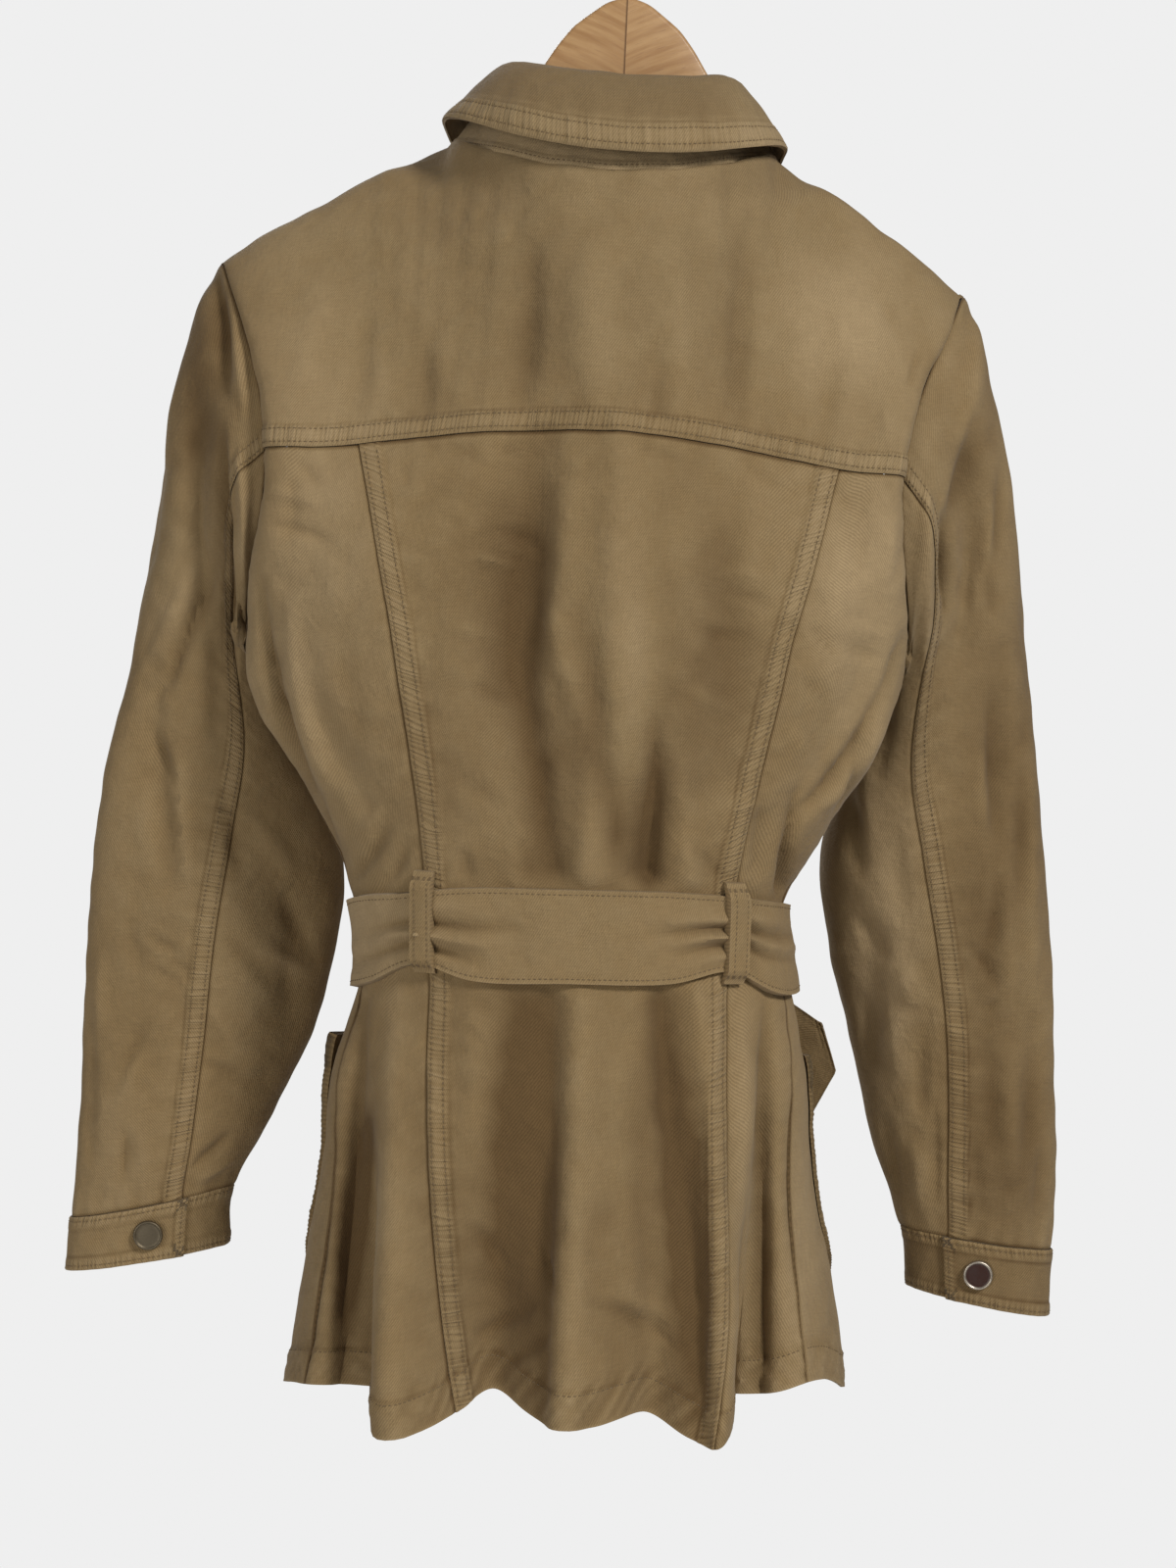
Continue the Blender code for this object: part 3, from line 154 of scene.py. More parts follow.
# Large folds along their own lines of angles, out if rise is above zero
FOLD = "top_z* top_angle low_z* low_angle rise* spread"
SKIRT_FOLDS = table(
    FOLD,
    (-615, 60, -860, 43, -34, 7.5), (-615, 44, -860, 30, 13, 8), (-620, 12, -860, 11.5, -23, 7.5),
    (-640, 1, -860, 0.5, 12, 5), (-640, -20, -860, -13, -13, 4.5), (-615, -36, -860, -24, 14, 6),
    (-615, -56, -860, -34, -30, 6.5), (-640, 122, -870, 118, -16, 10), (-630, 148, -870, 143, 10, 9),
    (-640, -126, -870, -121, -14, 10), (-630, -152, -870, -147, 9, 9),
)  # fmt: skip
TORSO_FOLDS = table(
    FOLD,
    (-240, 9, -560, 8, -8.5, 7), (-300, -4, -560, -5, 5.5, 6), (-380, -16, -560, -19, 4.5, 5),
    (-390, 60, -560, 44, -6, 8), (-390, -60, -560, -46, -6, 8), (-330, 150, -560, 158, -6, 8),
    (-330, -150, -560, -158, -6, 8),
)  # fmt: skip
# Each sleeve's rings by their outer point, their inner point and their half depth
RING = "run outer_x* outer_y* outer_z* inner_x* inner_y* inner_z* depth*"
RINGS = {
    Side.LEFT: table(
        RING,
        (0, 228.5, -12, -218, 198.5, 0, -420, 42), (0.03, 237.5, -14, -236, 204, -10, -428.5, 45),
        (0.07, 244, -16, -268, 200.5, -27, -440, 46), (0.12, 250.5, -20, -316, 189, -45, -458, 44),
        (0.18, 259.5, -27, -380, 174.5, -60, -486, 42), (0.24, 270.5, -36, -442, 157, -70, -522, 40),
        (0.31, 284.5, -46, -506, 145.5, -77, -560, 37), (0.38, 291.5, -56, -578, 149, -82, -604, 34),
        (0.45, 294, -65, -650, 160, -86, -655, 31), (0.52, 296.5, -73, -722, 182, -86, -708, 27),
        (0.57, 298, -79, -773.5, 203.5, -84, -751, 20), (0.61, 301, -81, -806, 205, -86, -787, 19),
    ),
    Side.RIGHT: table(
        RING,
        (0, -200.8, -12, -218, -173.5, 0, -420, 42), (0.03, -210.5, -14, -238, -174.5, -10, -428.5, 45),
        (0.07, -219.5, -16, -270, -171.5, -27, -440, 46), (0.12, -229.5, -20, -318, -163.5, -45, -458, 44),
        (0.18, -242, -27, -382, -149.5, -60, -486, 42), (0.24, -252, -36, -444, -139.5, -70, -520, 40),
        (0.31, -262.5, -46, -508, -138.5, -77, -556, 37), (0.38, -273, -56, -578, -147.5, -82, -602, 34),
        (0.45, -279.5, -65, -648, -162.5, -86, -650, 31), (0.52, -284.5, -73, -718, -179, -86, -712, 27),
        (0.57, -285.5, -79, -766, -196, -84, -757, 20), (0.61, -286, -81, -806.5, -201.5, -86, -793.5, 19),
    ),
}  # fmt: skip
# Ring angles of the sleeve's two long seams
SLEEVE_SEAMS = table(
    "run back front",
    (0, 93, 247), (0.05, 100, 246), (0.2, 104, 240), (0.31, 96, 242), (0.45, 95, 240), (0.52, 102, 236),
    (0.57, 112, 234),
)  # fmt: skip
# Large folds along a sleeve
SLEEVE_FOLDS = table(
    "run_a ring_a run_b ring_b rise* spread",
    (0.01, 62, 0.2, 78, -13, 14), (0.2, 40, 0.36, 60, -7, 13), (0.32, 130, 0.48, 150, -7, 14),
    (0.14, 300, 0.34, 280, -9, 16),
)  # fmt: skip
# Heights of the belt's two edges round the body
BELT_EDGES = table(
    "angle top* low*",
    (-180, -572, -620), (-90, -564.5, -614), (-58, -561, -612), (-41, -559, -601), (-22, -558, -608),
    (0, -559, -610), (24, -561, -611), (41, -565, -604), (62, -568, -616), (90, -573, -623), (180, -572, -620),
)  # fmt: skip
# The middle lines of the belt's two hanging ends
LEFT_TAIL = table(
    "x* y* z*",
    (14, -91.6, -600), (36, -96, -640), (50, -101, -700), (56, -108, -765),
)  # fmt: skip
RIGHT_TAIL = table(
    "x* y* z*",
    (-19, -82.5, -599), (-50, -87, -603), (-90, -91, -634), (-124, -86, -656), (-151.3, -76, -670.2),
)  # fmt: skip


# --- curves and small maths


def curve_at(knots: Array, values: Array, at: Array) -> Array:
    """Reads a smooth curve through values at their knots, held at its ends.

    Args:
        knots: where the values are, rising.
        values: the values there.
        at: where to read the curve.

    Returns:
        The values read.
    """
    slopes = np.gradient(values, knots)
    low = np.clip(np.searchsorted(knots, at) - 1, 0, len(knots) - 2)
    span = knots[low + 1] - knots[low]
    t = np.clip((at - knots[low]) / span, 0.0, 1.0)
    start = (1 + 2 * t) * (1 - t) ** 2 * values[low] + t * (1 - t) ** 2 * span * slopes[low]
    end = t * t * (3 - 2 * t) * values[low + 1] + t * t * (t - 1) * span * slopes[low + 1]
    return start + end


def through(rows: Sequence[NamedTuple], column: str, at: Array | float) -> Array:
    """Reads one column of a table on a smooth curve along its first column."""
    knots, values = (np.array(list(each)) for each in zip(*((row[0], getattr(row, column)) for row in rows)))
    return curve_at(knots, values, np.asarray(at, float))


def ease(t: Array | float) -> Array:
    """A smooth step from 0 to 1."""
    t = np.clip(t, 0.0, 1.0)
    return t * t * (3 - 2 * t)


def bell(distance: Array, width: Array | float) -> Array:
    """A smooth bump of height 1 that falls off with distance."""
    return np.exp(-((distance / width) ** 2))


def signed_power(value: Array, power: Array | float) -> Array:
    """The size of a value raised to a power, with its sign kept."""
    return np.sign(value) * np.abs(value) ** power


def unit(vectors: Array) -> Array:
    """Vectors brought to length 1."""
    return vectors / np.maximum(np.linalg.norm(vectors, axis=-1, keepdims=True), 1e-12)


def upright(base: Array, x: float = 0.0) -> Array:
    """The points of an upright axis at the heights of these points."""
    return base * np.array([0.0, 0.0, 1.0]) + np.array([x, 0.0, 0.0])


def wrapped(angle: Array | float) -> Array:
    """Angles brought between -180 and 180 degrees."""
    return (angle + 180.0) % 360.0 - 180.0


def together(*values: Array | float) -> list[Array]:
    """Arrays of numbers brought to one shape."""
    return np.broadcast_arrays(*(np.asarray(value, float) for value in values))


def graded(length: float, fine: float, coarse: float, low_zone: float, high_zone: float) -> Array:
    """Shares from 0 to 1 that lie close together near one or both ends.

    Args:
        length: the real length, in metres.
        fine: the step in the end zones.
        coarse: the step between them.
        low_zone: how long the fine zone at the start is.
        high_zone: how long the fine zone at the end is.

    Returns:
        The rising shares.
    """
    middle = max(length - low_zone - high_zone, coarse)
    zones = ((low_zone, fine, 0), (middle, coarse, 2), (high_zone, fine, 0))
    steps, reach = [np.zeros(1)], 0.0
    for zone, step, least in zones:
        steps.append(reach + np.linspace(0.0, zone, max(int(round(zone / step)), least) + 1)[1:])
        reach += zone
    return np.concatenate(steps) / reach


# --- the coat's form


@dataclass(frozen=True)
class BodyForm:
    """The form of the coat's body, from the hem to the neckline and the shoulder seams."""

    shoulder_tip: tuple[float, float] = (0.2135, -0.2180)
    neck_point: tuple[float, float] = (0.0925, -0.1405)
    neck_back: tuple[float, float] = (0.0620, -0.1685)
    neck_front: tuple[float, float] = (-0.0570, -0.2000)
    shoulder_y: float = -0.012
    shoulder_mid_x: float = 0.0127
    neck_mid_x: float = 0.0045
    neck_at: float = 0.28
    princess_left: float = 0.450
    princess_right: float = 0.515
    back_armhole: tuple[float, float] = (-0.0230, 0.0420)
    front_armhole: tuple[float, float] = (-0.0260, -0.0440)
    yoke_z: tuple[float, float] = (-0.3120, -0.3260)
    yoke_start: float = 0.40
    ridge_start: float = 0.92
    ridge_bend: float = 9.4
    softening: tuple[tuple[float, float], ...] = (
        (-0.14, 0.10), (-0.09, 0.15), (-0.045, 0.17), (0.0, 0.16), (0.045, 0.17), (0.09, 0.15), (0.14, 0.10),
    )  # fmt: skip

    @staticmethod
    def folds(rows: Sequence[NamedTuple], angle: Array, level: Array, to_hem: bool) -> Array:
        """How far the folds of a table move the cloth outward.

        Args:
            rows: the folds.
            angle: angles round the body.
            level: levels, as many.
            to_hem: whether the folds deepen all the way down, or fade at both ends.

        Returns:
            The rise at each point.
        """
        total = np.zeros(np.broadcast(angle, level).shape)
        for fold in rows:
            down = np.clip((fold.top_z - level) / (fold.top_z - fold.low_z), 0.0, 1.0)
            away = wrapped(angle - (fold.top_angle + (fold.low_angle - fold.top_angle) * down))
            strength = ease(down) if to_hem else np.sin(math.pi * down) ** 1.5
            total = total + fold.rise * strength * bell(away, fold.spread)
        return total

    def lower(self, angle: Array, z: Array) -> Array:
        """Points of the body below the armpits.

        Args:
            angle: angles round the body, in degrees.
            z: heights, as many.

        Returns:
            The points.
        """
        angle, z = together(angle, z)
        turn = np.radians(angle)
        width, back, front, mid_x, mid_y, square = (through(SECTIONS, name, z) for name in SECTIONS[0]._fields[1:])
        depth = np.where(np.cos(turn) > 0, back, front)
        across, along = (signed_power(wave, 2.0 / square) for wave in (np.sin(turn), np.cos(turn)))
        rise = self.folds(SKIRT_FOLDS, angle, z, True) + self.folds(TORSO_FOLDS, angle, z, False)
        outward = unit(np.stack([across / width, along / depth], -1))
        x = mid_x + width * across + rise * outward[..., 0]
        y = mid_y + depth * along + rise * outward[..., 1]
        return np.stack([x, y, z], -1)

    @staticmethod
    def reach(share: Array) -> Array:
        """How far out a share of the half turn lies, as a share of the half width."""
        return np.sin(np.radians(np.abs(share) * 90.0)) ** (2.0 / 2.2)

    def top_edge(self, share: Array, back: bool) -> Array:
        """The neckline and the shoulder seam, by the share of the half width from -1 to 1.

        Args:
            share: shares of the half width.
            back: whether the edge of the back is read, or that of the front.

        Returns:
            The points.
        """
        size = np.abs(share)
        over = np.clip((size - self.neck_at) / (1 - self.neck_at), 0.0, 1.0)
        reach, neck_reach = self.reach(share), self.reach(np.asarray(self.neck_at))
        over_reach = np.clip((reach - neck_reach) / (1 - neck_reach), 0.0, 1.0)
        turn = np.arcsin(np.clip(reach / neck_reach, 0.0, 1.0))
        at_neck = size < self.neck_at
        (neck_x, neck_z), (tip_x, tip_z) = self.neck_point, self.shoulder_tip
        mid_x = self.neck_mid_x + (self.shoulder_mid_x - self.neck_mid_x) * over_reach
        x = np.where(at_neck, neck_x * np.sin(turn), neck_x + (tip_x - neck_x) * over_reach)
        middle = self.neck_back if back else self.neck_front
        y = np.where(at_neck, self.shoulder_y + (middle[0] - self.shoulder_y) * np.cos(turn), self.shoulder_y)
        round_z = neck_z + (middle[1] - neck_z) * (1 - np.clip(size / self.neck_at, 0.0, 1.0) ** 2)
        slope_z = neck_z + (tip_z - neck_z) * over_reach + 0.001 * np.sin(math.pi * over)
        return np.stack([mid_x + np.sign(share) * x, y, np.where(at_neck, round_z, slope_z)], -1)

    def soft_edge(self, share: Array, back: bool) -> Array:
        """The top edge with its corner at the neck eased, which shapes the cloth below it."""
        spread = np.minimum(1.0, (1.0 - np.abs(share)) / 0.2)
        return sum(weight * self.top_edge(share + move * spread, back) for move, weight in self.softening)

    def upper(self, share: Array, rise: Array, back: bool) -> Array:
        """Points above the armpits: share is -1 to 1 between the armholes, rise 0 to 1 up.

        Args:
            share: shares between the armholes.
            rise: shares of the way up.
            back: whether the points are on the back.

        Returns:
            The points.
        """
        share, rise = together(share, rise)
        angle = share * 90.0 if back else 180.0 - share * 90.0
        armpit = np.full(share.shape, ARMPIT_Z)
        low = self.lower(angle, armpit)
        top = self.top_edge(share, back)
        top = top + (self.soft_edge(share, back) - top) * ease((1.0 - rise) / 0.10)[..., None]
        climb = rise
        if back:
            bend = self.ridge_bend * ease((np.abs(share) - self.neck_at) / 0.12)
            bent = rise - bend * np.maximum(rise - self.ridge_start, 0.0) ** 2
            climb = bent / (1.0 - bend * (1.0 - self.ridge_start) ** 2)
        fall = np.clip(1.0 - rise**1.45, 0.0, 1.0) ** (1 / 1.5)
        pull_x, pull_y = self.back_armhole if back else self.front_armhole
        near, arc = self.reach(share) ** 4, np.sin(math.pi * rise)
        x = low[..., 0] + (top[..., 0] - low[..., 0]) * rise + np.sign(share) * near * pull_x * arc**1.3
        y = top[..., 1] + (low[..., 1] - top[..., 1]) * fall + near * pull_y * arc**0.72
        z = low[..., 2] + (top[..., 2] - low[..., 2]) * climb
        folds = self.folds(TORSO_FOLDS, angle, ARMPIT_Z + rise * UPPER, False)
        folds = folds - self.folds(TORSO_FOLDS, angle, armpit, False)
        y = y + (folds if back else -folds) * (1 - rise) ** 0.5
        return np.stack([x, y, z], -1)

    def point(self, angle: Array, level: Array, back: bool) -> Array:
        """A point of the coat's body.

        Args:
            angle: angles round the body, in degrees.
            level: levels, as many.
            back: whether the points above the armpits are on the back.

        Returns:
            The points.
        """
        angle, level = together(angle, level)
        angle = wrapped(angle)
        share = angle / 90.0 if back else np.sign(angle) * (180.0 - np.abs(angle)) / 90.0
        rise = np.clip((level - ARMPIT_Z) / UPPER, 0.0, 1.0)
        above = self.upper(np.clip(share, -1.0, 1.0), rise, back)
        below = self.lower(angle, np.minimum(level, ARMPIT_Z))
        return np.where((level > ARMPIT_Z)[..., None], above, below)

    @staticmethod
    def angle_at(x: Array, z: Array) -> Array:
        """The angle at which the plain section has this x, on the back.

        Args:
            x: places across the back.
            z: heights, as many.

        Returns:
            The angles, in degrees.
        """
        share = (x - through(SECTIONS, "mid_x", z)) / through(SECTIONS, "width", z)
        lifted = np.clip(np.abs(share), 0.0, 1.0) ** (through(SECTIONS, "square", z) / 2.0)
        return np.sign(share) * np.degrees(np.arcsin(lifted))

    def princess(self, level: Array, side: Side) -> Array:
        """The princess seam's angle at these levels.

        Args:
            level: the levels.
            side: which of the two seams.

        Returns:
            The angles, in degrees.
        """
        share = self.princess_left if side is Side.LEFT else self.princess_right
        under = np.minimum(level, ARMPIT_Z)
        low = self.angle_at(through(SEAM_ROWS, "princess_" + side.word, under), under)
        rise = np.clip((level - ARMPIT_Z) / (UPPER * self.yoke_start), 0.0, 1.0)
        return low + (side.value * share * 90.0 - low) * rise

    @staticmethod
    def side_seam(level: Array, side: Side) -> Array:
        """The side seam's angle at these levels."""
        return side.value * through(SEAM_ROWS, "side_" + side.word, level)

    @staticmethod
    def hem(angle: Array) -> Array:
        """The hem's height at these angles."""
        return through(HEM, "z", wrapped(np.asarray(angle, float)))

    def yoke(self, angle: Array) -> Array:
        """The level of the yoke seam at these angles, arched up towards the centre back.

        Args:
            angle: angles round the body, in degrees.

        Returns:
            The levels.
        """
        share = np.clip(np.abs(angle) / 90.0, 0.0, 1.0)
        bend = self.ridge_bend * ease((share - self.neck_at) / 0.12)
        seam = self.yoke_z[0] + (self.yoke_z[1] - self.yoke_z[0]) * ease(share / 0.62)
        climb = (seam - ARMPIT_Z) / (self.soft_edge(share, True)[..., 2] - ARMPIT_Z)
        return ARMPIT_Z + UPPER * climb * (1.0 - bend * (1.0 - self.ridge_start) ** 2)

    def armhole(self, ring: Array, side: Side) -> Array:
        """The body's edge at the armhole, by the angle round it from the shoulder over the back.

        Args:
            ring: angles round the armhole, in degrees.
            side: which of the two armholes.

        Returns:
            The points.
        """
        ring = np.asarray(ring, float) % 360.0
        rise = (1 + np.cos(np.radians(ring))) / 2
        share = np.full(ring.shape, float(side.value))
        return np.where((ring <= 180.0)[..., None], self.upper(share, rise, True), self.upper(share, rise, False))

    def neckline(self, turn: Array) -> Array:
        """The neckline, by the turn from the centre back, positive to the wearer's left.

        Args:
            turn: the turns, in radians.

        Returns:
            The points.
        """
        shares = np.linspace(0.0, self.neck_at, 4)
        quarter = np.arcsin(self.reach(shares) / self.reach(np.asarray(self.neck_at)))
        half = np.append(quarter, (math.pi - quarter[::-1])[1:])
        left, right = (
            np.concatenate([self.top_edge(sign * shares, True), self.top_edge(sign * shares, False)[::-1][1:]])
            for sign in (1.0, -1.0)
        )
        turns, places = np.append(-half[::-1], half[1:]), np.concatenate([right[::-1], left[1:]])
        return np.stack([np.interp(turn, turns, places[:, k]) for k in range(3)], -1)


@dataclass(frozen=True)
class SleeveForm:
    """The form of one sleeve, from the armhole to the end of its cuff."""

    side: Side
    body: BodyForm = BodyForm()

    def ends(self, run: Array) -> tuple[Array, Array]:
        """The outer and the inner point of the rings at these runs."""
        rings = RINGS[self.side]
        return tuple(np.stack([through(rings, end + k, run) for k in "xyz"], -1) for end in ("outer_", "inner_"))

    def middle(self, run: Array) -> Array:
        """The middle of the rings at these runs."""
        return sum(self.ends(run)) / 2

    def plain(self, ring: Array, run: Array) -> Array:
        """A point of the sleeve's rings, before it is drawn to the armhole.

        Args:
            ring: angles round the sleeve, in degrees.
            run: the way down from the armhole, as many.

        Returns:
            The points.
        """
        outer, inner = self.ends(run)
        turn = np.radians(ring)[..., None]
        depth = through(RINGS[self.side], "depth", run)[..., None] * np.array([0.0, 1.0, 0.0])
        across = (outer - inner) / 2 * signed_power(np.cos(turn), 0.92)
        return (outer + inner) / 2 + across + depth * signed_power(np.sin(turn), 0.92)

    def point(self, ring: Array, run: Array) -> Array:
        """A point of the sleeve.

        Args:
            ring: the angle round it, 0 outside and 90 at the back.
            run: the way down from the armhole.

        Returns:
            The points.
        """
        ring, run = together(ring, run)
        start = self.body.armhole(ring, self.side) - self.plain(ring, np.zeros(ring.shape))
        point = self.plain(ring, run) + start * (np.clip(1.0 - run / 0.14, 0.0, 1.0) ** 2)[..., None]
        outward = unit(point - self.middle(run))
        rise = np.zeros(ring.shape)
        for fold in SLEEVE_FOLDS:
            share = np.clip((run - fold.run_a) / (fold.run_b - fold.run_a), 0.0, 1.0)
            away = wrapped(ring - fold.ring_a - (fold.ring_b - fold.ring_a) * share)
            rise = rise + fold.rise * np.sin(math.pi * share) ** 1.3 * bell(away, fold.spread)
        return point + outward * rise[..., None]


# --- relief of the cloth


def creased(cloth: "Cloth", rows: Sequence[NamedTuple], face: Face) -> Array:
    """How far a table of creases moves the points of a piece.

    Args:
        cloth: the piece.
        rows: the creases, in millimetres: two ends given across and up, a bow that bends the crease
            sideways, its rise, its half width and the share of that half width on its first side.
        face: the side of the coat that they are on.

    Returns:
        The rise at each point.
    """
    x, z = cloth.base[..., 0] * MM, cloth.base[..., 2] * MM
    total = np.zeros(x.shape)
    for crease in rows:
        run_x, run_z = crease.x_b - crease.x_a, crease.z_b - crease.z_a
        length = math.hypot(run_x, run_z)
        held = np.clip(((x - crease.x_a) * run_x + (z - crease.z_a) * run_z) / length**2, 0.0, 1.0)
        away = ((x - crease.x_a) * run_z - (z - crease.z_a) * run_x) / length
        away = away - crease.bow * 4 * held * (1 - held)
        full = np.sin(math.pi * held) ** (0.7 if length > 80.0 else 1.0)
        width = np.where(away > 0, crease.wide, crease.wide * crease.steep) * (0.6 + 0.4 * full)
        total = total + crease.rise * full**1.1 * bell(away, width)
    return total * cloth.seen(face) / MM


@dataclass(frozen=True)
class Rumple:
    """Low irregular unevenness that runs on over every seam."""

    seed: int
    size: float
    rise: float
    waves: int = 18

    def at(self, points: Array) -> Array:
        """The rise at these points.

        Args:
            points: the points.

        Returns:
            The rise at each.
        """
        rng = np.random.default_rng(self.seed)
        total = np.zeros(points.shape[:-1])
        for _ in range(self.waves):
            way = unit(rng.normal(size=3) * np.array([1.0, 0.8, 0.6]))
            turn = points @ way * (2 * math.pi / (self.size * rng.uniform(0.6, 1.7)))
            total += np.sin(turn + rng.uniform(0.0, 2 * math.pi))
        return total * self.rise * math.sqrt(2.0 / self.waves)


RUMPLES = (Rumple(3, 0.060, 0.00055), Rumple(8, 0.021, 0.00018))


@dataclass(frozen=True)
class Ripple:
    """Uneven small ridges one after another along a seam, between about -1 and 1."""

    seed: int
    pitch: float
    lead: float = 0.06
    step: float = 0.0003

    def at(self, run: Array) -> Array:
        """The height of the ridges at this distance along the seam.

        Args:
            run: distances along the seam.

        Returns:
            The height at each.
        """
        rng = np.random.default_rng(self.seed)
        reach = float(run.max()) + self.lead
        line = np.arange(-self.lead, reach, self.step)
        height = np.zeros(line.shape)
        place = -self.lead
        while place < reach:
            width = self.pitch * rng.uniform(0.24, 0.40)
            height += rng.uniform(0.35, 1.0) * bell(line - place, width)
            place += self.pitch * rng.uniform(0.65, 1.4)
        return np.interp(run, line, height * 1.9 - 0.85)


@dataclass
class Cloth:
    """One cut piece as a grid of points with the way out from each, its relief, and its wear with its painted light
    and shade.
    """

    name: str
    base: Array
    axis: Array
    thickness: float = CLOTH
    lift: float = 0.0

    def __post_init__(self) -> None:
        """Measures the grid: the way out of it, and the distance of each point from each edge."""
        out = unit(np.cross(np.gradient(self.base, axis=1), np.gradient(self.base, axis=0)))
        self.flipped = bool(np.sum(out * (self.base - self.axis)) < 0)
        self.out = -out if self.flipped else out
        shape = self.base.shape[:2]
        self.relief = np.full(shape, self.lift)
        self.wear, self.pucker, self.phase = (np.zeros(shape) for _ in range(3))
        wide, tall = (np.linalg.norm(np.diff(self.base, axis=k), axis=-1) for k in (1, 0))
        first = np.concatenate([np.zeros((len(wide), 1)), np.cumsum(wide, 1)], 1)
        low = np.concatenate([np.zeros((1, tall.shape[1])), np.cumsum(tall, 0)], 0)
        self.away = {Edge.FIRST: first, Edge.LAST: first[:, -1:] - first, Edge.LOW: low, Edge.TOP: low[-1:] - low}

    def run(self, edge: Edge) -> Array:
        """The distance along the given edge, the same for all points that lie straight in from it.

        Args:
            edge: the edge.

        Returns:
            The distance of each point of the grid.
        """
        up, across = self.away[Edge.LOW], self.away[Edge.FIRST]
        line = {Edge.FIRST: up[:, :1], Edge.LAST: up[:, -1:], Edge.LOW: across[:1], Edge.TOP: across[-1:]}[edge]
        return np.broadcast_to(line, up.shape)

    def seen(self, face: Face) -> Array:
        """How far each point looks out on one side of the coat, from 0 to 1."""
        return ease(self.out[..., 1] * face.value * 2.5 + 0.15)

    def uneven(self) -> Array:
        """The low unevenness of all the cloth, at this piece."""
        return sum(rumple.at(self.base) for rumple in RUMPLES)

    def surface(self) -> Array:
        """The outer skin with its relief."""
        return self.base + self.out * self.relief[..., None]

    def line(self, edge: Edge, distance: float, trim: float = 0.004) -> tuple[Array, Array]:
        """A line on the outer skin at one distance from an edge.

        Args:
            edge: the edge that it follows.
            distance: how far in it runs.
            trim: how much of it is left off at each end.

        Returns:
            Its points and the way out from each.
        """
        grids = [self.away[edge], np.concatenate([self.surface(), self.out, self.run(edge)[..., None]], -1)]
        if edge in (Edge.FIRST, Edge.LAST):
            grids = [np.swapaxes(grid, 0, 1) for grid in grids]
        if grids[0][0, 0] > grids[0][-1, 0]:
            grids = [grid[::-1] for grid in grids]
        away, values = grids
        rows = [
            [np.interp(distance, away[:, j], values[:, j, k]) for k in range(values.shape[2])]
            for j in range(away.shape[1])
        ]
        points, ways, run = np.split(np.array(rows), (3, 6), axis=1)
        kept = ((run >= run.min() + trim) & (run <= run.max() - trim))[:, 0]
        return points[kept], unit(ways[kept])

    def wall(self, finish: Material) -> Object:
        """The closed wall of this piece as an object, with a UV map in metres and its wear with painted light and
        shade.

        Args:
            finish: the cloth's material.

        Returns:
            The object.
        """
        outer = self.surface()
        inner = outer - self.out * (self.thickness + np.maximum(self.relief - self.lift, 0.0) * 0.5)[..., None]
        count = outer.shape[0] * outer.shape[1]
        index = np.arange(count).reshape(outer.shape[:2])
        quads = np.stack([index[:-1, :-1], index[:-1, 1:], index[1:, 1:], index[1:, :-1]], -1).reshape(-1, 4)
        rim = np.concatenate([index[0], index[1:, -1], index[-1, -2::-1], index[-2:0:-1, 0]])
        after = np.roll(rim, -1)
        if self.flipped:
            quads, rim, after = quads[:, ::-1], after, rim
        sides = np.stack([after, rim, rim + count, after + count], -1)
        faces = np.concatenate([quads, quads[:, ::-1] + count, sides])
        points = np.concatenate([outer.reshape(-1, 3), inner.reshape(-1, 3)])
        middle = self.away[Edge.FIRST] - self.away[Edge.FIRST][:, -1:] / 2
        chart = np.stack([middle, self.away[Edge.LOW]], -1).reshape(-1, 2)
        inside = {"wear": -0.2, "pucker": 0.0, "phase": 0.0}
        marks = {mark: np.append(getattr(self, mark), np.full(count, value)) for mark, value in inside.items()}
        return shaped(self.name, points, faces.tolist(), finish, marks, np.concatenate([chart, chart]))

    def flat(self) -> tuple[tuple[float, float], float]:
        """The size of the flat cut and its area.

        Returns:
            The width and the length, and the area.
        """
        across, up = (np.diff(self.surface(), axis=k) for k in (1, 0))
        width = float(np.linalg.norm(across, axis=-1).sum(1).max())
        length = float(np.linalg.norm(up, axis=-1).sum(0).max())
        area = float(np.linalg.norm(np.cross(across[:-1], up[:, :-1]), axis=-1).sum())
        return (width, length), min(area, width * length)


def placed(name: str, data: bpy.types.ID) -> Object:
    """A new object of some data, linked to the scene.

    Args:
        name: the object's name.
        data: its mesh, light or camera.

    Returns:
        The object.
    """
    made = bpy.data.objects.new(name, data)
    bpy.context.collection.objects.link(made)
    return made


def shaped(
    name: str,
    points: Array,
    faces: Sequence[Sequence[int]],
    finish: Material,
    marks: dict[str, Array],
    chart: Array | None = None,
) -> Object:
    """A smooth-shaded mesh object.

    Args:
        name: the object's name.
        points: its vertices.
        faces: its faces.
        finish: its material.
        marks: named values of each vertex, such as its wear with painted light and shade: below zero where shade is
            painted in grooves, above it where light and wear are painted on ridges.
        chart: the UV place of each vertex, in metres.

    Returns:
        The object, linked to the scene.
    """
    mesh = bpy.data.meshes.new(name)
    mesh.from_pydata(points.tolist(), [], faces)
    if chart is not None:
        corners = np.empty(len(mesh.loops), np.int32)
        mesh.loops.foreach_get("vertex_index", corners)
        mesh.uv_layers.new(name="chart").data.foreach_set("uv", chart[corners].astype(np.float32).ravel())
    for mark, values in marks.items():
        layer = mesh.attributes.new(mark, "FLOAT", "POINT")
        layer.data.foreach_set("value", np.asarray(values, np.float32))
    mesh.materials.append(finish)
    mesh.shade_smooth()
    mesh.set_sharp_from_angle(angle=math.radians(50.0))
    return placed(name, mesh)


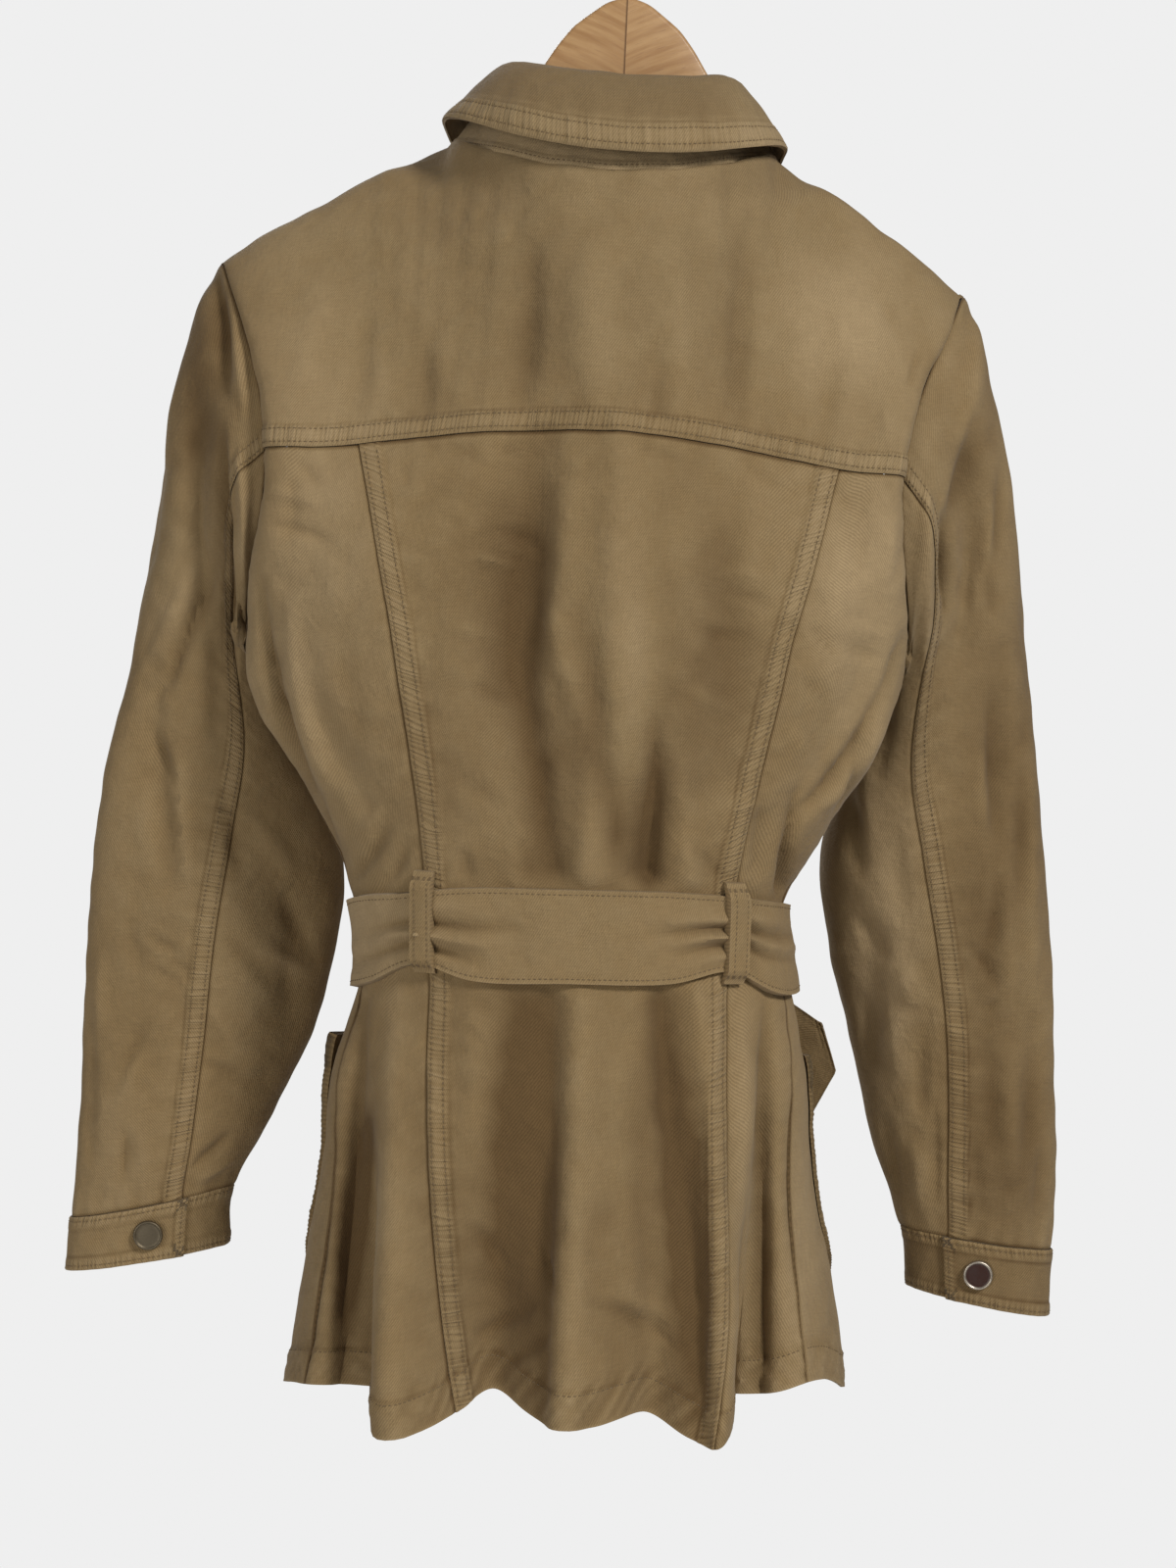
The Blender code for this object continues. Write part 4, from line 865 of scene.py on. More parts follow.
@dataclass(frozen=True)
class FelledBand:
    """A seam allowance stitched down on the upper piece: raised, puckered and grooved."""

    seed: int = 0
    width: float = 0.0118
    lift: float = 0.0010
    rows: tuple[float, ...] = (0.0024, 0.0094)
    pitch: float = 0.0030
    rise: float = 0.00024
    slant: float = 0.12
    fade: float = 0.010
    spill: float = 0.08
    gathered: float = 1.0

    def press(self, cloth: Cloth, edge: Edge) -> None:
        """Puts the band's relief, its wear and its painted light and shade on a piece along one of its edges.

        Args:
            cloth: the piece.
            edge: the edge.
        """
        away, run = cloth.away[edge], cloth.run(edge)
        within = 1.0 - ease((away - self.width + 0.0006) / 0.0016)
        middle = sum(self.rows) / len(self.rows)
        slanted = run + self.slant * (away - middle)
        ripple = Ripple(self.seed, self.pitch * 2.3).at(slanted)
        band = np.exp(-(((away - middle) / (self.width * 0.52)) ** 4))
        beyond = ease(away / self.width) * np.exp(-(np.maximum(away - self.width, 0.0) / self.fade))
        groove = sum(bell(away - row, 0.0009) for row in self.rows)
        wide = Ripple(self.seed + 50, self.pitch * 4.0).at(run + self.slant * away)
        held = np.minimum(1.0, band * 1.1) + self.spill * beyond * (1 - within)
        count = slanted / self.pitch + 0.6 * Ripple(self.seed + 9, self.pitch * 6.0).at(run)
        held = held * self.gathered * (0.75 + 0.45 * sum(bell(away - row, 0.0017) for row in self.rows))
        cloth.phase = np.where(held > cloth.pucker, count, cloth.phase)
        cloth.pucker = np.maximum(held, cloth.pucker)
        cloth.relief += self.lift * within + ripple * self.rise * band - 0.00028 * groove * within
        cloth.relief += wide * self.rise * 0.9 * beyond * (1 - within)
        cloth.relief -= 0.0007 * bell(away, 0.0006)
        # The band is painted paler for wear and painted light on its ridges, with painted shade in its stitch
        # grooves, painted light and shade on the small ripples beyond it, and a painted shadow line just past its
        # edge.
        cloth.wear += (0.16 * ripple + 0.24) * band - 0.34 * groove
        cloth.wear += 0.16 * wide * beyond * (1 - within) - 0.55 * bell(away - self.width - 0.0006, 0.0008)

    def along(
        self, cloth: Cloth, seeds: dict[Edge, int], thread: "Thread | None" = None, trim: float = 0.004
    ) -> None:
        """Presses the band along several edges, each by its own seed, and stitches it if a thread is given.

        Args:
            cloth: the piece.
            seeds: the edges and their seeds.
            thread: the thread, if the rows are stitched at once.
            trim: how much of each row is left off at its ends.
        """
        for edge, seed in seeds.items():
            replace(self, seed=seed).press(cloth, edge)
            if thread:
                thread.rows(cloth, (edge,), self.rows, trim)


def tucked(cloth: Cloth, seeds: dict[Edge, int], depth: float = 0.0006) -> None:
    """Presses a piece's edges down and paints shade on them where they run in under their neighbours.

    Args:
        cloth: the piece.
        seeds: the edges and their seeds.
        depth: how deep the edges are pressed.
    """
    for edge, seed in seeds.items():
        away = cloth.away[edge]
        ripple = Ripple(seed, 0.010).at(cloth.run(edge))
        cloth.relief += -depth * bell(away, 0.0016) + 0.00022 * ripple * bell(away - 0.006, 0.006)
        # Painted shade along the edge where it runs under its neighbour, and painted light and shade on the small
        # ripples beside it.
        cloth.wear += -1.2 * bell(away, 0.0011) + 0.10 * ripple * bell(away - 0.005, 0.005)


# --- node trees

SOCKET_KINDS = {float: "Float", int: "Int", tuple: "Vector", type(None): "Geometry"}


class Net:
    """A node tree, with short ways to add its nodes and join them."""

    def __init__(self, tree: Tree) -> None:
        """Keeps the tree."""
        self.tree = tree

    def feed(self, target: Socket, value: object) -> None:
        """Joins a source socket to an input, or sets the input's own value.

        Args:
            target: the input.
            value: the source socket or the value.
        """
        if isinstance(value, Socket):
            self.tree.links.new(value, target)
        else:
            target.default_value = value

    def fill(self, sockets: bpy.types.bpy_prop_collection, **values: object) -> None:
        """Feeds inputs by name, with spaces written as underscores, or by number as i0, i1 and so on.

        Args:
            sockets: the inputs.
            values: a source socket or a value for each.
        """
        for name, value in values.items():
            by_number = name[0] == "i" and name[1:].isdigit()
            self.feed(sockets[int(name[1:]) if by_number else name.replace("_", " ")], value)

    def node(self, kind: str, settings: dict[str, object] | None = None, **inputs: object) -> bpy.types.Node:
        """Adds a node of a Blender type, with properties of its own and its inputs filled.

        Args:
            kind: the type.
            settings: the node's own properties.
            inputs: a source socket or a value for each input, as in fill.

        Returns:
            The node.
        """
        made = self.tree.nodes.new(kind)
        for name, value in (settings or {}).items():
            setattr(made, name, value)
        self.fill(made.inputs, **inputs)
        return made

    def only(self, kind: str, settings: dict[str, object] | None = None, **inputs: object) -> Socket:
        """Adds a node and gives its first output."""
        return self.node(kind, settings, **inputs).outputs[0]

    def maths(self, operation: str, *values: object) -> Socket:
        """The result of a Math node."""
        values = {f"i{k}": value for k, value in enumerate((*values, 0.0, 0.0)[:3])}
        return self.only("ShaderNodeMath", {"operation": operation}, **values)

    def plus(self, first: object, second: object) -> Socket:
        """The sum of two values."""
        return self.maths("ADD", first, second)

    def minus(self, first: object, second: object) -> Socket:
        """The difference of two values."""
        return self.maths("SUBTRACT", first, second)

    def times(self, first: object, second: object) -> Socket:
        """The product of two values."""
        return self.maths("MULTIPLY", first, second)

    def mixed(self, factor: object, first: object, second: object, way: str = "MIX") -> Socket:
        """The colour of a Mix node. A colour may be given by its three values.

        Args:
            factor: the share of the second colour.
            first: the first colour.
            second: the second colour.
            way: how they are mixed.

        Returns:
            The colour's socket.
        """
        made = self.node("ShaderNodeMix", {"data_type": "RGBA", "blend_type": way}, i0=factor)
        for target, value in ((made.inputs[6], first), (made.inputs[7], second)):
            self.feed(target, value if isinstance(value, Socket) else (*value, 1.0))
        return made.outputs[2]

    def ranged(self, value: object, low: float, high: float, to_low: float = 0.0, to_high: float = 1.0) -> Socket:
        """A value brought from one range to another, held at its ends."""
        return self.only("ShaderNodeMapRange", None, i0=value, i1=low, i2=high, i3=to_low, i4=to_high)

    def noise(self, place: Socket, scale: object, detail: float = 2.0, roughness: float = 0.5) -> Socket:
        """The value of a noise texture."""
        return self.only("ShaderNodeTexNoise", None, Vector=place, Scale=scale, Detail=detail, Roughness=roughness)

    def split(self, vector: Socket) -> tuple[Socket, Socket]:
        """The first two parts of a vector."""
        return tuple(self.node("ShaderNodeSeparateXYZ", None, i0=vector).outputs[:2])

    def joined(self, *parts: object) -> Socket:
        """A vector of two or three parts."""
        return self.only("ShaderNodeCombineXYZ", None, **{f"i{k}": part for k, part in enumerate(parts)})

    def mark(self, name: str) -> Socket:
        """A named value of each vertex."""
        return self.node("ShaderNodeAttribute", {"attribute_name": name}).outputs["Fac"]

    def chart(self) -> Socket:
        """The place on the piece's own map."""
        return self.only("ShaderNodeUVMap", {"uv_map": "chart"})

    def place(self) -> Socket:
        """The place in the piece's own frame."""
        return self.node("ShaderNodeTexCoord").outputs["Object"]

    def group(self, tree: Tree, **inputs: object) -> bpy.types.bpy_prop_collection:
        """Places a shader group with its own values and gives its outputs."""
        return self.node("ShaderNodeGroup", {"node_tree": tree}, **inputs).outputs


class Group(Net):
    """A new node group with named inputs and outputs."""

    def __init__(
        self, name: str, inputs: dict[str, object], outputs: dict[str, object], kind: str = "ShaderNodeTree"
    ) -> None:
        """Opens the group.

        Args:
            name: its name.
            inputs: the default of each input. Its type gives the kind of the socket.
            outputs: the same for each output.
            kind: the kind of tree.
        """
        super().__init__(bpy.data.node_groups.new(name, kind))
        self.ids = {}
        for way, sockets in (("INPUT", inputs), ("OUTPUT", outputs)):
            for label, value in sockets.items():
                socket_kind = "NodeSocket" + SOCKET_KINDS[type(value)]
                item = self.tree.interface.new_socket(label, in_out=way, socket_type=socket_kind)
                if value is not None:
                    item.default_value = value
                self.ids[label] = item.identifier
        self.inside = self.node("NodeGroupInput").outputs
        self.outside = self.node("NodeGroupOutput").inputs

    def closed(self, **outputs: object) -> Tree:
        """Feeds the group's outputs and gives its tree."""
        self.fill(self.outside, **outputs)
        return self.tree


ORIGIN = (0.0, 0.0, 0.0)
FULL_TURN = 2 * math.pi


def twill_group() -> Tree:
    """Diagonal twill ribs with uneven yarns, on a map in metres: puts out a mask and a height.

    Returns:
        The group's tree.
    """
    net = Group("twill_ribs", {"Map": ORIGIN, "Pitch": 0.0014, "Slub": 0.5}, {"Ribs": 0.0, "Height": 0.0})
    u, v = net.split(net.inside["Map"])
    warp = net.noise(net.joined(u, net.times(v, 0.12)), 900.0)
    weft = net.noise(net.joined(net.times(u, 0.12), v), 900.0)
    slope = math.radians(58.0)
    across = net.plus(net.times(u, math.sin(slope)), net.times(v, math.cos(slope)))
    yarns = net.plus(warp, weft)
    place = net.plus(net.maths("DIVIDE", across, net.inside["Pitch"]), net.times(yarns, 0.55))
    ribs = net.ranged(net.maths("SINE", net.times(place, FULL_TURN)), -1.0, 1.0)
    slub = net.times(net.minus(yarns, 1.0), net.inside["Slub"])
    return net.closed(Ribs=net.plus(ribs, slub), Height=net.plus(ribs, net.times(slub, 1.5)))


def pucker_group() -> Tree:
    """Short uneven puckers counted by a phase, held to a mask: puts out their height and their shadow.

    Returns:
        The group's tree.
    """
    net = Group("seam_puckers", {"Phase": 0.0, "Mask": 0.0}, {"Height": 0.0, "Shadow": 0.0})
    phase = net.inside["Phase"]
    uneven = net.only("ShaderNodeTexNoise", {"noise_dimensions": "1D"}, W=phase, Scale=0.9)
    turn = net.times(net.plus(phase, net.minus(uneven, 0.5)), FULL_TURN)
    ribs = net.maths("POWER", net.ranged(net.maths("SINE", turn), -1.0, 1.0), 0.75)
    depth = net.times(net.ranged(uneven, 0.35, 0.65, 0.55, 1.15), net.inside["Mask"])
    shadow = net.times(net.minus(0.50, ribs), net.times(depth, 0.50))
    return net.closed(Height=net.times(ribs, depth), Shadow=shadow)


def wash_group() -> Tree:
    """Soft uneven tone of washed or handled material, about 0.5 on average.

    Returns:
        The group's tree.
    """
    net = Group("washed_tone", {"Place": ORIGIN, "Large": 14.0, "Small": 90.0}, {"Tone": 0.0})
    large = net.noise(net.inside["Place"], net.inside["Large"])
    small = net.noise(net.inside["Place"], net.inside["Small"], 4.0)
    return net.closed(Tone=net.plus(net.times(large, 0.6), net.times(small, 0.4)))


# --- finishes


class Look(Net):
    """The nodes of a new material round its Principled shader."""

    def __init__(self, name: str) -> None:
        """Opens the material.

        Args:
            name: its name.
        """
        self.material = bpy.data.materials.new(name)
        self.material.use_nodes = True
        super().__init__(self.material.node_tree)
        self.shader = self.tree.nodes["Principled BSDF"].inputs

    def bumped(self, height: Socket, distance: float, strength: float) -> Socket:
        """The normal of a bumped surface."""
        return self.only("ShaderNodeBump", None, Strength=strength, Distance=distance, Height=height)

    def finished(self, **inputs: object) -> Material:
        """Feeds the shader's inputs and gives the material."""
        self.fill(self.shader, **inputs)
        return self.material


@dataclass(frozen=True)
class TwillFinish:
    """Washed cotton twill, paler on its ridges for wear and painted light, with painted shade in grooves, creases and
    along seams.
    """

    name: str = "khaki_twill"
    plain: Colour = (0.266, 0.175, 0.077)
    # the colour of worn ridges and of painted light
    worn: Colour = (0.380, 0.270, 0.143)
    # painted shade: the colour mixed in wherever shade is painted, in grooves, creases, along seams and in shaded
    # patches
    deep: Colour = (0.105, 0.058, 0.019)
    faded: Colour = (0.252, 0.173, 0.082)
    pitch: float = 0.00118
    rib_depth: float = 0.00010
    pucker_depth: float = 0.00045
    crumple_depth: float = 0.00200
    vein_depth: float = 0.00022

    def build(self, twill: Tree, wash: Tree, puckers: Tree) -> Material:
        """Builds the material.

        Args:
            twill: the group that draws the ribs.
            wash: the group that draws the uneven tone.
            puckers: the group that draws the puckers between rows of stitches.

        Returns:
            The material.
        """
        net = Look(self.name)
        place, wear = net.place(), net.mark("wear")
        ribs, rib_height = net.group(twill, Map=net.chart(), Pitch=self.pitch, Slub=0.9)
        tone = net.group(wash, Place=place, Large=9.0, Small=110.0)[0]
        pucker, shadow = net.group(puckers, Phase=net.mark("phase"), Mask=net.mark("pucker"))
        crumple = net.noise(place, 55.0, 5.0, 0.60)
        lines = net.noise(place, 24.0, 3.0, 0.55)
        vein = net.ranged(net.maths("ABSOLUTE", net.minus(lines, 0.5)), 0.0, 0.050, 1.0, 0.0)
        vein = net.times(vein, net.ranged(net.noise(place, 13.0, 1.0), 0.47, 0.60))
        ground = net.mixed(net.ranged(tone, 0.38, 0.62), self.plain, self.faded)
        # Above zero the colour goes paler, for wear and painted light; below zero it takes painted shade, with the
        # puckers' shadow.
        worn = net.maths("MULTIPLY_ADD", vein, 0.05, net.minus(wear, shadow))
        ridge, groove = net.ranged(worn, 0.0, 1.0, 0.0, 0.85), net.ranged(worn, 0.0, -1.0, 0.0, 0.90)
        shaded = net.mixed(groove, net.mixed(ridge, ground, self.worn), self.deep)
        level = net.times(net.ranged(ribs, 0.1, 1.0, 0.82, 1.10), net.ranged(tone, 0.3, 0.7, 0.91, 1.09))
        grey = net.only("ShaderNodeCombineColor", None, i0=level, i1=level, i2=level)
        height = net.times(rib_height, self.rib_depth)
        for part, depth in ((pucker, self.pucker_depth), (crumple, self.crumple_depth), (vein, self.vein_depth)):
            height = net.maths("MULTIPLY_ADD", part, depth, height)
        return net.finished(
            Base_Color=net.mixed(1.0, shaded, grey, "MULTIPLY"),
            Roughness=net.ranged(ribs, 0.0, 1.0, 0.94, 0.84),
            Specular_IOR_Level=0.25,
            Sheen_Weight=0.08,
            Sheen_Roughness=0.5,
            Normal=net.bumped(height, 1.0, 1.0),
        )


@dataclass(frozen=True)
class ThreadFinish:
    """Sewing thread, a little paler than the cloth, with a fine twist."""

    name: str = "khaki_thread"
    pale: Colour = (0.220, 0.150, 0.072)
    dark: Colour = (0.120, 0.075, 0.032)

    def build(self) -> Material:
        """Builds the material.

        Returns:
            The material.
        """
        net = Look(self.name)
        place = net.place()
        twist = net.node("ShaderNodeTexWave", {"bands_direction": "DIAGONAL"}, Vector=place, Scale=900.0)
        wave = twist.outputs["Fac"]
        mask = net.ranged(net.times(wave, net.noise(place, 120.0)), 0.1, 0.6)
        colour = net.mixed(mask, self.dark, self.pale)
        return net.finished(Base_Color=colour, Roughness=0.7, Normal=net.bumped(wave, 0.0001, 0.4))


@dataclass(frozen=True)
class MetalFinish:
    """Cast or drawn metal with fine scuffs, or an enamelled face with a bare rim."""

    name: str
    face: Colour
    bare: Colour
    roughness: float
    metallic: float
    scuff: float = 0.4

    def build(self, wash: Tree) -> Material:
        """Builds the material. The wear of a vertex bares the metal.

        Args:
            wash: the group that draws the uneven tone.

        Returns:
            The material.
        """
        net = Look(self.name)
        tone = net.group(wash, Place=net.place(), Large=160.0, Small=900.0)[0]
        bared = net.maths("MINIMUM", net.maths("MAXIMUM", net.mark("wear"), 0.0), 1.0)
        scuffed = net.times(net.ranged(tone, 0.42, 0.62), self.scuff)
        dulled = net.mixed(scuffed, self.face, tuple(0.72 * v for v in self.face))
        rough = min(self.roughness + 0.18, 0.9)
        return net.finished(
            Base_Color=net.mixed(bared, dulled, self.bare),
            Metallic=net.ranged(bared, 0.0, 1.0, self.metallic, 1.0),
            Roughness=net.ranged(tone, 0.4, 0.65, self.roughness, rough),
            Normal=net.bumped(tone, 0.00008, 0.25),
        )


@dataclass(frozen=True)
class WoodFinish:
    """Clear-lacquered beech with its grain along each arm."""

    name: str = "beech"
    pale: Colour = (0.500, 0.300, 0.136)
    ring: Colour = (0.370, 0.198, 0.080)
    ray: Colour = (0.230, 0.108, 0.040)
    slope: float = 32.0

    def build(self, wash: Tree) -> Material:
        """Builds the material.

        Args:
            wash: the group that draws the uneven tone.

        Returns:
            The material.
        """
        net = Look(self.name)
        chart = net.chart()
        u, v = net.split(chart)
        turn = math.radians(self.slope)
        fast = net.maths("MULTIPLY_ADD", u, -math.sin(turn), net.times(v, math.cos(turn)))
        grain = net.joined(net.times(u, 0.07), fast)
        bands, pores = net.noise(grain, 260.0, 3.0), net.noise(grain, 1500.0)
        tone = net.group(wash, Place=chart, Large=25.0, Small=120.0)[0]
        joint = net.ranged(net.maths("ABSOLUTE", u), 0.0004, 0.0013, 0.85, 0.0)
        colour = net.mixed(net.ranged(bands, 0.38, 0.66), self.pale, self.ring)
        colour = net.mixed(net.ranged(pores, 0.60, 0.74, 0.0, 0.55), colour, self.ray)
        colour = net.mixed(net.ranged(tone, 0.40, 0.62, 0.0, 0.30), colour, self.ring)
        return net.finished(
            Base_Color=net.mixed(joint, colour, tuple(0.4 * v for v in self.ray)),
            Roughness=net.ranged(pores, 0.4, 0.7, 0.34, 0.52),
            Normal=net.bumped(pores, 0.00012, 0.3),
        )


@dataclass(frozen=True)
class FloorFinish:
    """Plain pale matt floor."""

    name: str = "studio_floor"
    pale: Colour = (0.80, 0.80, 0.80)

    def build(self) -> Material:
        """Builds the material.

        Returns:
            The material.
        """
        net = Look(self.name)
        noise = net.only("ShaderNodeTexNoise", None, Scale=6.0)
        colour = net.mixed(noise, self.pale, tuple(0.985 * v for v in self.pale))
        return net.finished(Base_Color=colour, Roughness=0.9)


# --- stitches and wire


@dataclass
class Thread:
    """Rows of machine stitches: lines on the cloth, made into stitches by a node tree."""

    name: str
    pitch: float = 0.0029
    length: float = 0.0021
    width: float = 0.00075
    points: list[Array] = field(default_factory=list)
    ways: list[Array] = field(default_factory=list)

    def rows(self, cloth: Cloth, edges: Sequence[Edge], distances: Sequence[float], trim: float = 0.004) -> None:
        """Lays rows of stitches on a piece.

        Args:
            cloth: the piece, with its relief complete.
            edges: the edges that the rows follow.
            distances: how far in from each edge they run.
            trim: how much of each row is left off at its ends.
        """
        for edge in edges:
            for distance in distances:
                points, ways = cloth.line(edge, distance, trim)
                if len(points) > 1:
                    self.points.append(points)
                    self.ways.append(ways)

    @staticmethod
    def group(material: Material) -> Group:
        """The group that lays a stitch at every pitch along each line.

        Args:
            material: the thread's finish.

        Returns:
            The group.
        """
        sizes = {"Pitch": 0.001, "Length": 0.001, "Width": 0.001}
        net = Group("stitch_rows", {"Lines": None, **sizes, "Seed": 0}, {"Stitches": None}, "GeometryNodeTree")
        inside = net.inside
        curve = net.only("GeometryNodeMeshToCurve", None, i0=inside["Lines"])
        even = net.only("GeometryNodeResampleCurve", {"mode": "LENGTH"}, Curve=curve, Length=inside["Pitch"])
        ball = net.only("GeometryNodeMeshUVSphere", None, Segments=6, Rings=4, Radius=0.5)
        size = net.joined(inside["Length"], inside["Width"], net.times(inside["Width"], 0.9))
        stitch = net.only("GeometryNodeTransform", None, Geometry=ball, Scale=size)
        out = net.node("GeometryNodeInputNamedAttribute", {"data_type": "FLOAT_VECTOR"}, Name="out")
        align, tangent = "FunctionNodeAlignRotationToVector", net.only("GeometryNodeInputTangent")
        turned = net.only(
            align,
            {"axis": "Z", "pivot_axis": "X"},
            Rotation=net.only(align, {"axis": "X"}, Vector=tangent),
            Vector=out.outputs["Attribute"],
        )
        spread = {"i0": (0.90, 0.85, 0.85), "i1": (1.06, 1.15, 1.10)}
        jitter = net.only("FunctionNodeRandomValue", {"data_type": "FLOAT_VECTOR"}, Seed=inside["Seed"], **spread)
        laid = net.only(
            "GeometryNodeInstanceOnPoints", None, Points=even, Instance=stitch, Rotation=turned, Scale=jitter
        )
        real = net.only("GeometryNodeRealizeInstances", None, Geometry=laid)
        smooth = net.only("GeometryNodeSetShadeSmooth", None, Geometry=real)
        net.closed(Stitches=net.only("GeometryNodeSetMaterial", None, Geometry=smooth, Material=material))
        return net

    def build(self, material: Material, seed: int) -> Object:
        """Makes all the stitches one plain mesh.

        Args:
            material: the thread's finish.
            seed: the seed of the stitches' unevenness.

        Returns:
            The piece.
        """
        edges, first = [], 0
        for line in self.points:
            edges += [(first + k, first + k + 1) for k in range(len(line) - 1)]
            first += len(line)
        mesh = bpy.data.meshes.new(self.name + "_lines")
        mesh.from_pydata(np.concatenate(self.points).tolist(), edges, [])
        layer = mesh.attributes.new("out", "FLOAT_VECTOR", "POINT")
        layer.data.foreach_set("vector", np.concatenate(self.ways).astype(np.float32).ravel())
        values = {"Pitch": self.pitch, "Length": self.length, "Width": self.width, "Seed": seed}
        return realised(self.name, mesh, self.group(material), values)


def realised(name: str, lines: bpy.types.Mesh, group: Group, values: dict[str, object]) -> Object:
    """Runs a geometry group on a mesh of lines and keeps the result as a plain mesh.

    Args:
        name: the name of the finished piece.
        lines: the mesh that the group starts from.
        group: the group.
        values: the value of each of its inputs by name.

    Returns:
        The finished piece.
    """
    carrier = placed(lines.name, lines)
    modifier = carrier.modifiers.new("nodes", "NODES")
    modifier.node_group = group.tree
    for key, value in values.items():
        modifier[group.ids[key]] = value
    mesh = bpy.data.meshes.new_from_object(carrier.evaluated_get(bpy.context.evaluated_depsgraph_get()))
    mesh.name = name
    carrier.modifiers.remove(modifier)
    bpy.data.objects.remove(carrier, do_unlink=True)
    return placed(name, mesh)


def wire(name: str, path: Array, radius: float, material: Material) -> Object:
    """A round wire along a path, with its ends closed, swept by a node tree.

    Args:
        name: the piece's name.
        path: the points of its middle line.
        radius: the wire's radius.
        material: its finish.

    Returns:
        The piece.
    """
    net = Group("wire_sweep", {"Line": None, "Radius": 0.001}, {"Wire": None}, "GeometryNodeTree")
    curve = net.only("GeometryNodeMeshToCurve", None, i0=net.inside["Line"])
    ring = net.only("GeometryNodeCurvePrimitiveCircle", None, Resolution=20, Radius=net.inside["Radius"])
    sweep = net.only("GeometryNodeCurveToMesh", None, Curve=curve, Profile_Curve=ring, Fill_Caps=True)
    smooth = net.only("GeometryNodeSetShadeSmooth", None, Geometry=sweep)
    real = net.only("GeometryNodeRealizeInstances", None, Geometry=smooth)
    net.closed(Wire=net.only("GeometryNodeSetMaterial", None, Geometry=real, Material=material))
    mesh = bpy.data.meshes.new(name + "_line")
    mesh.from_pydata(path.tolist(), [(k, k + 1) for k in range(len(path) - 1)], [])
    return realised(name, mesh, net, {"Radius": radius})
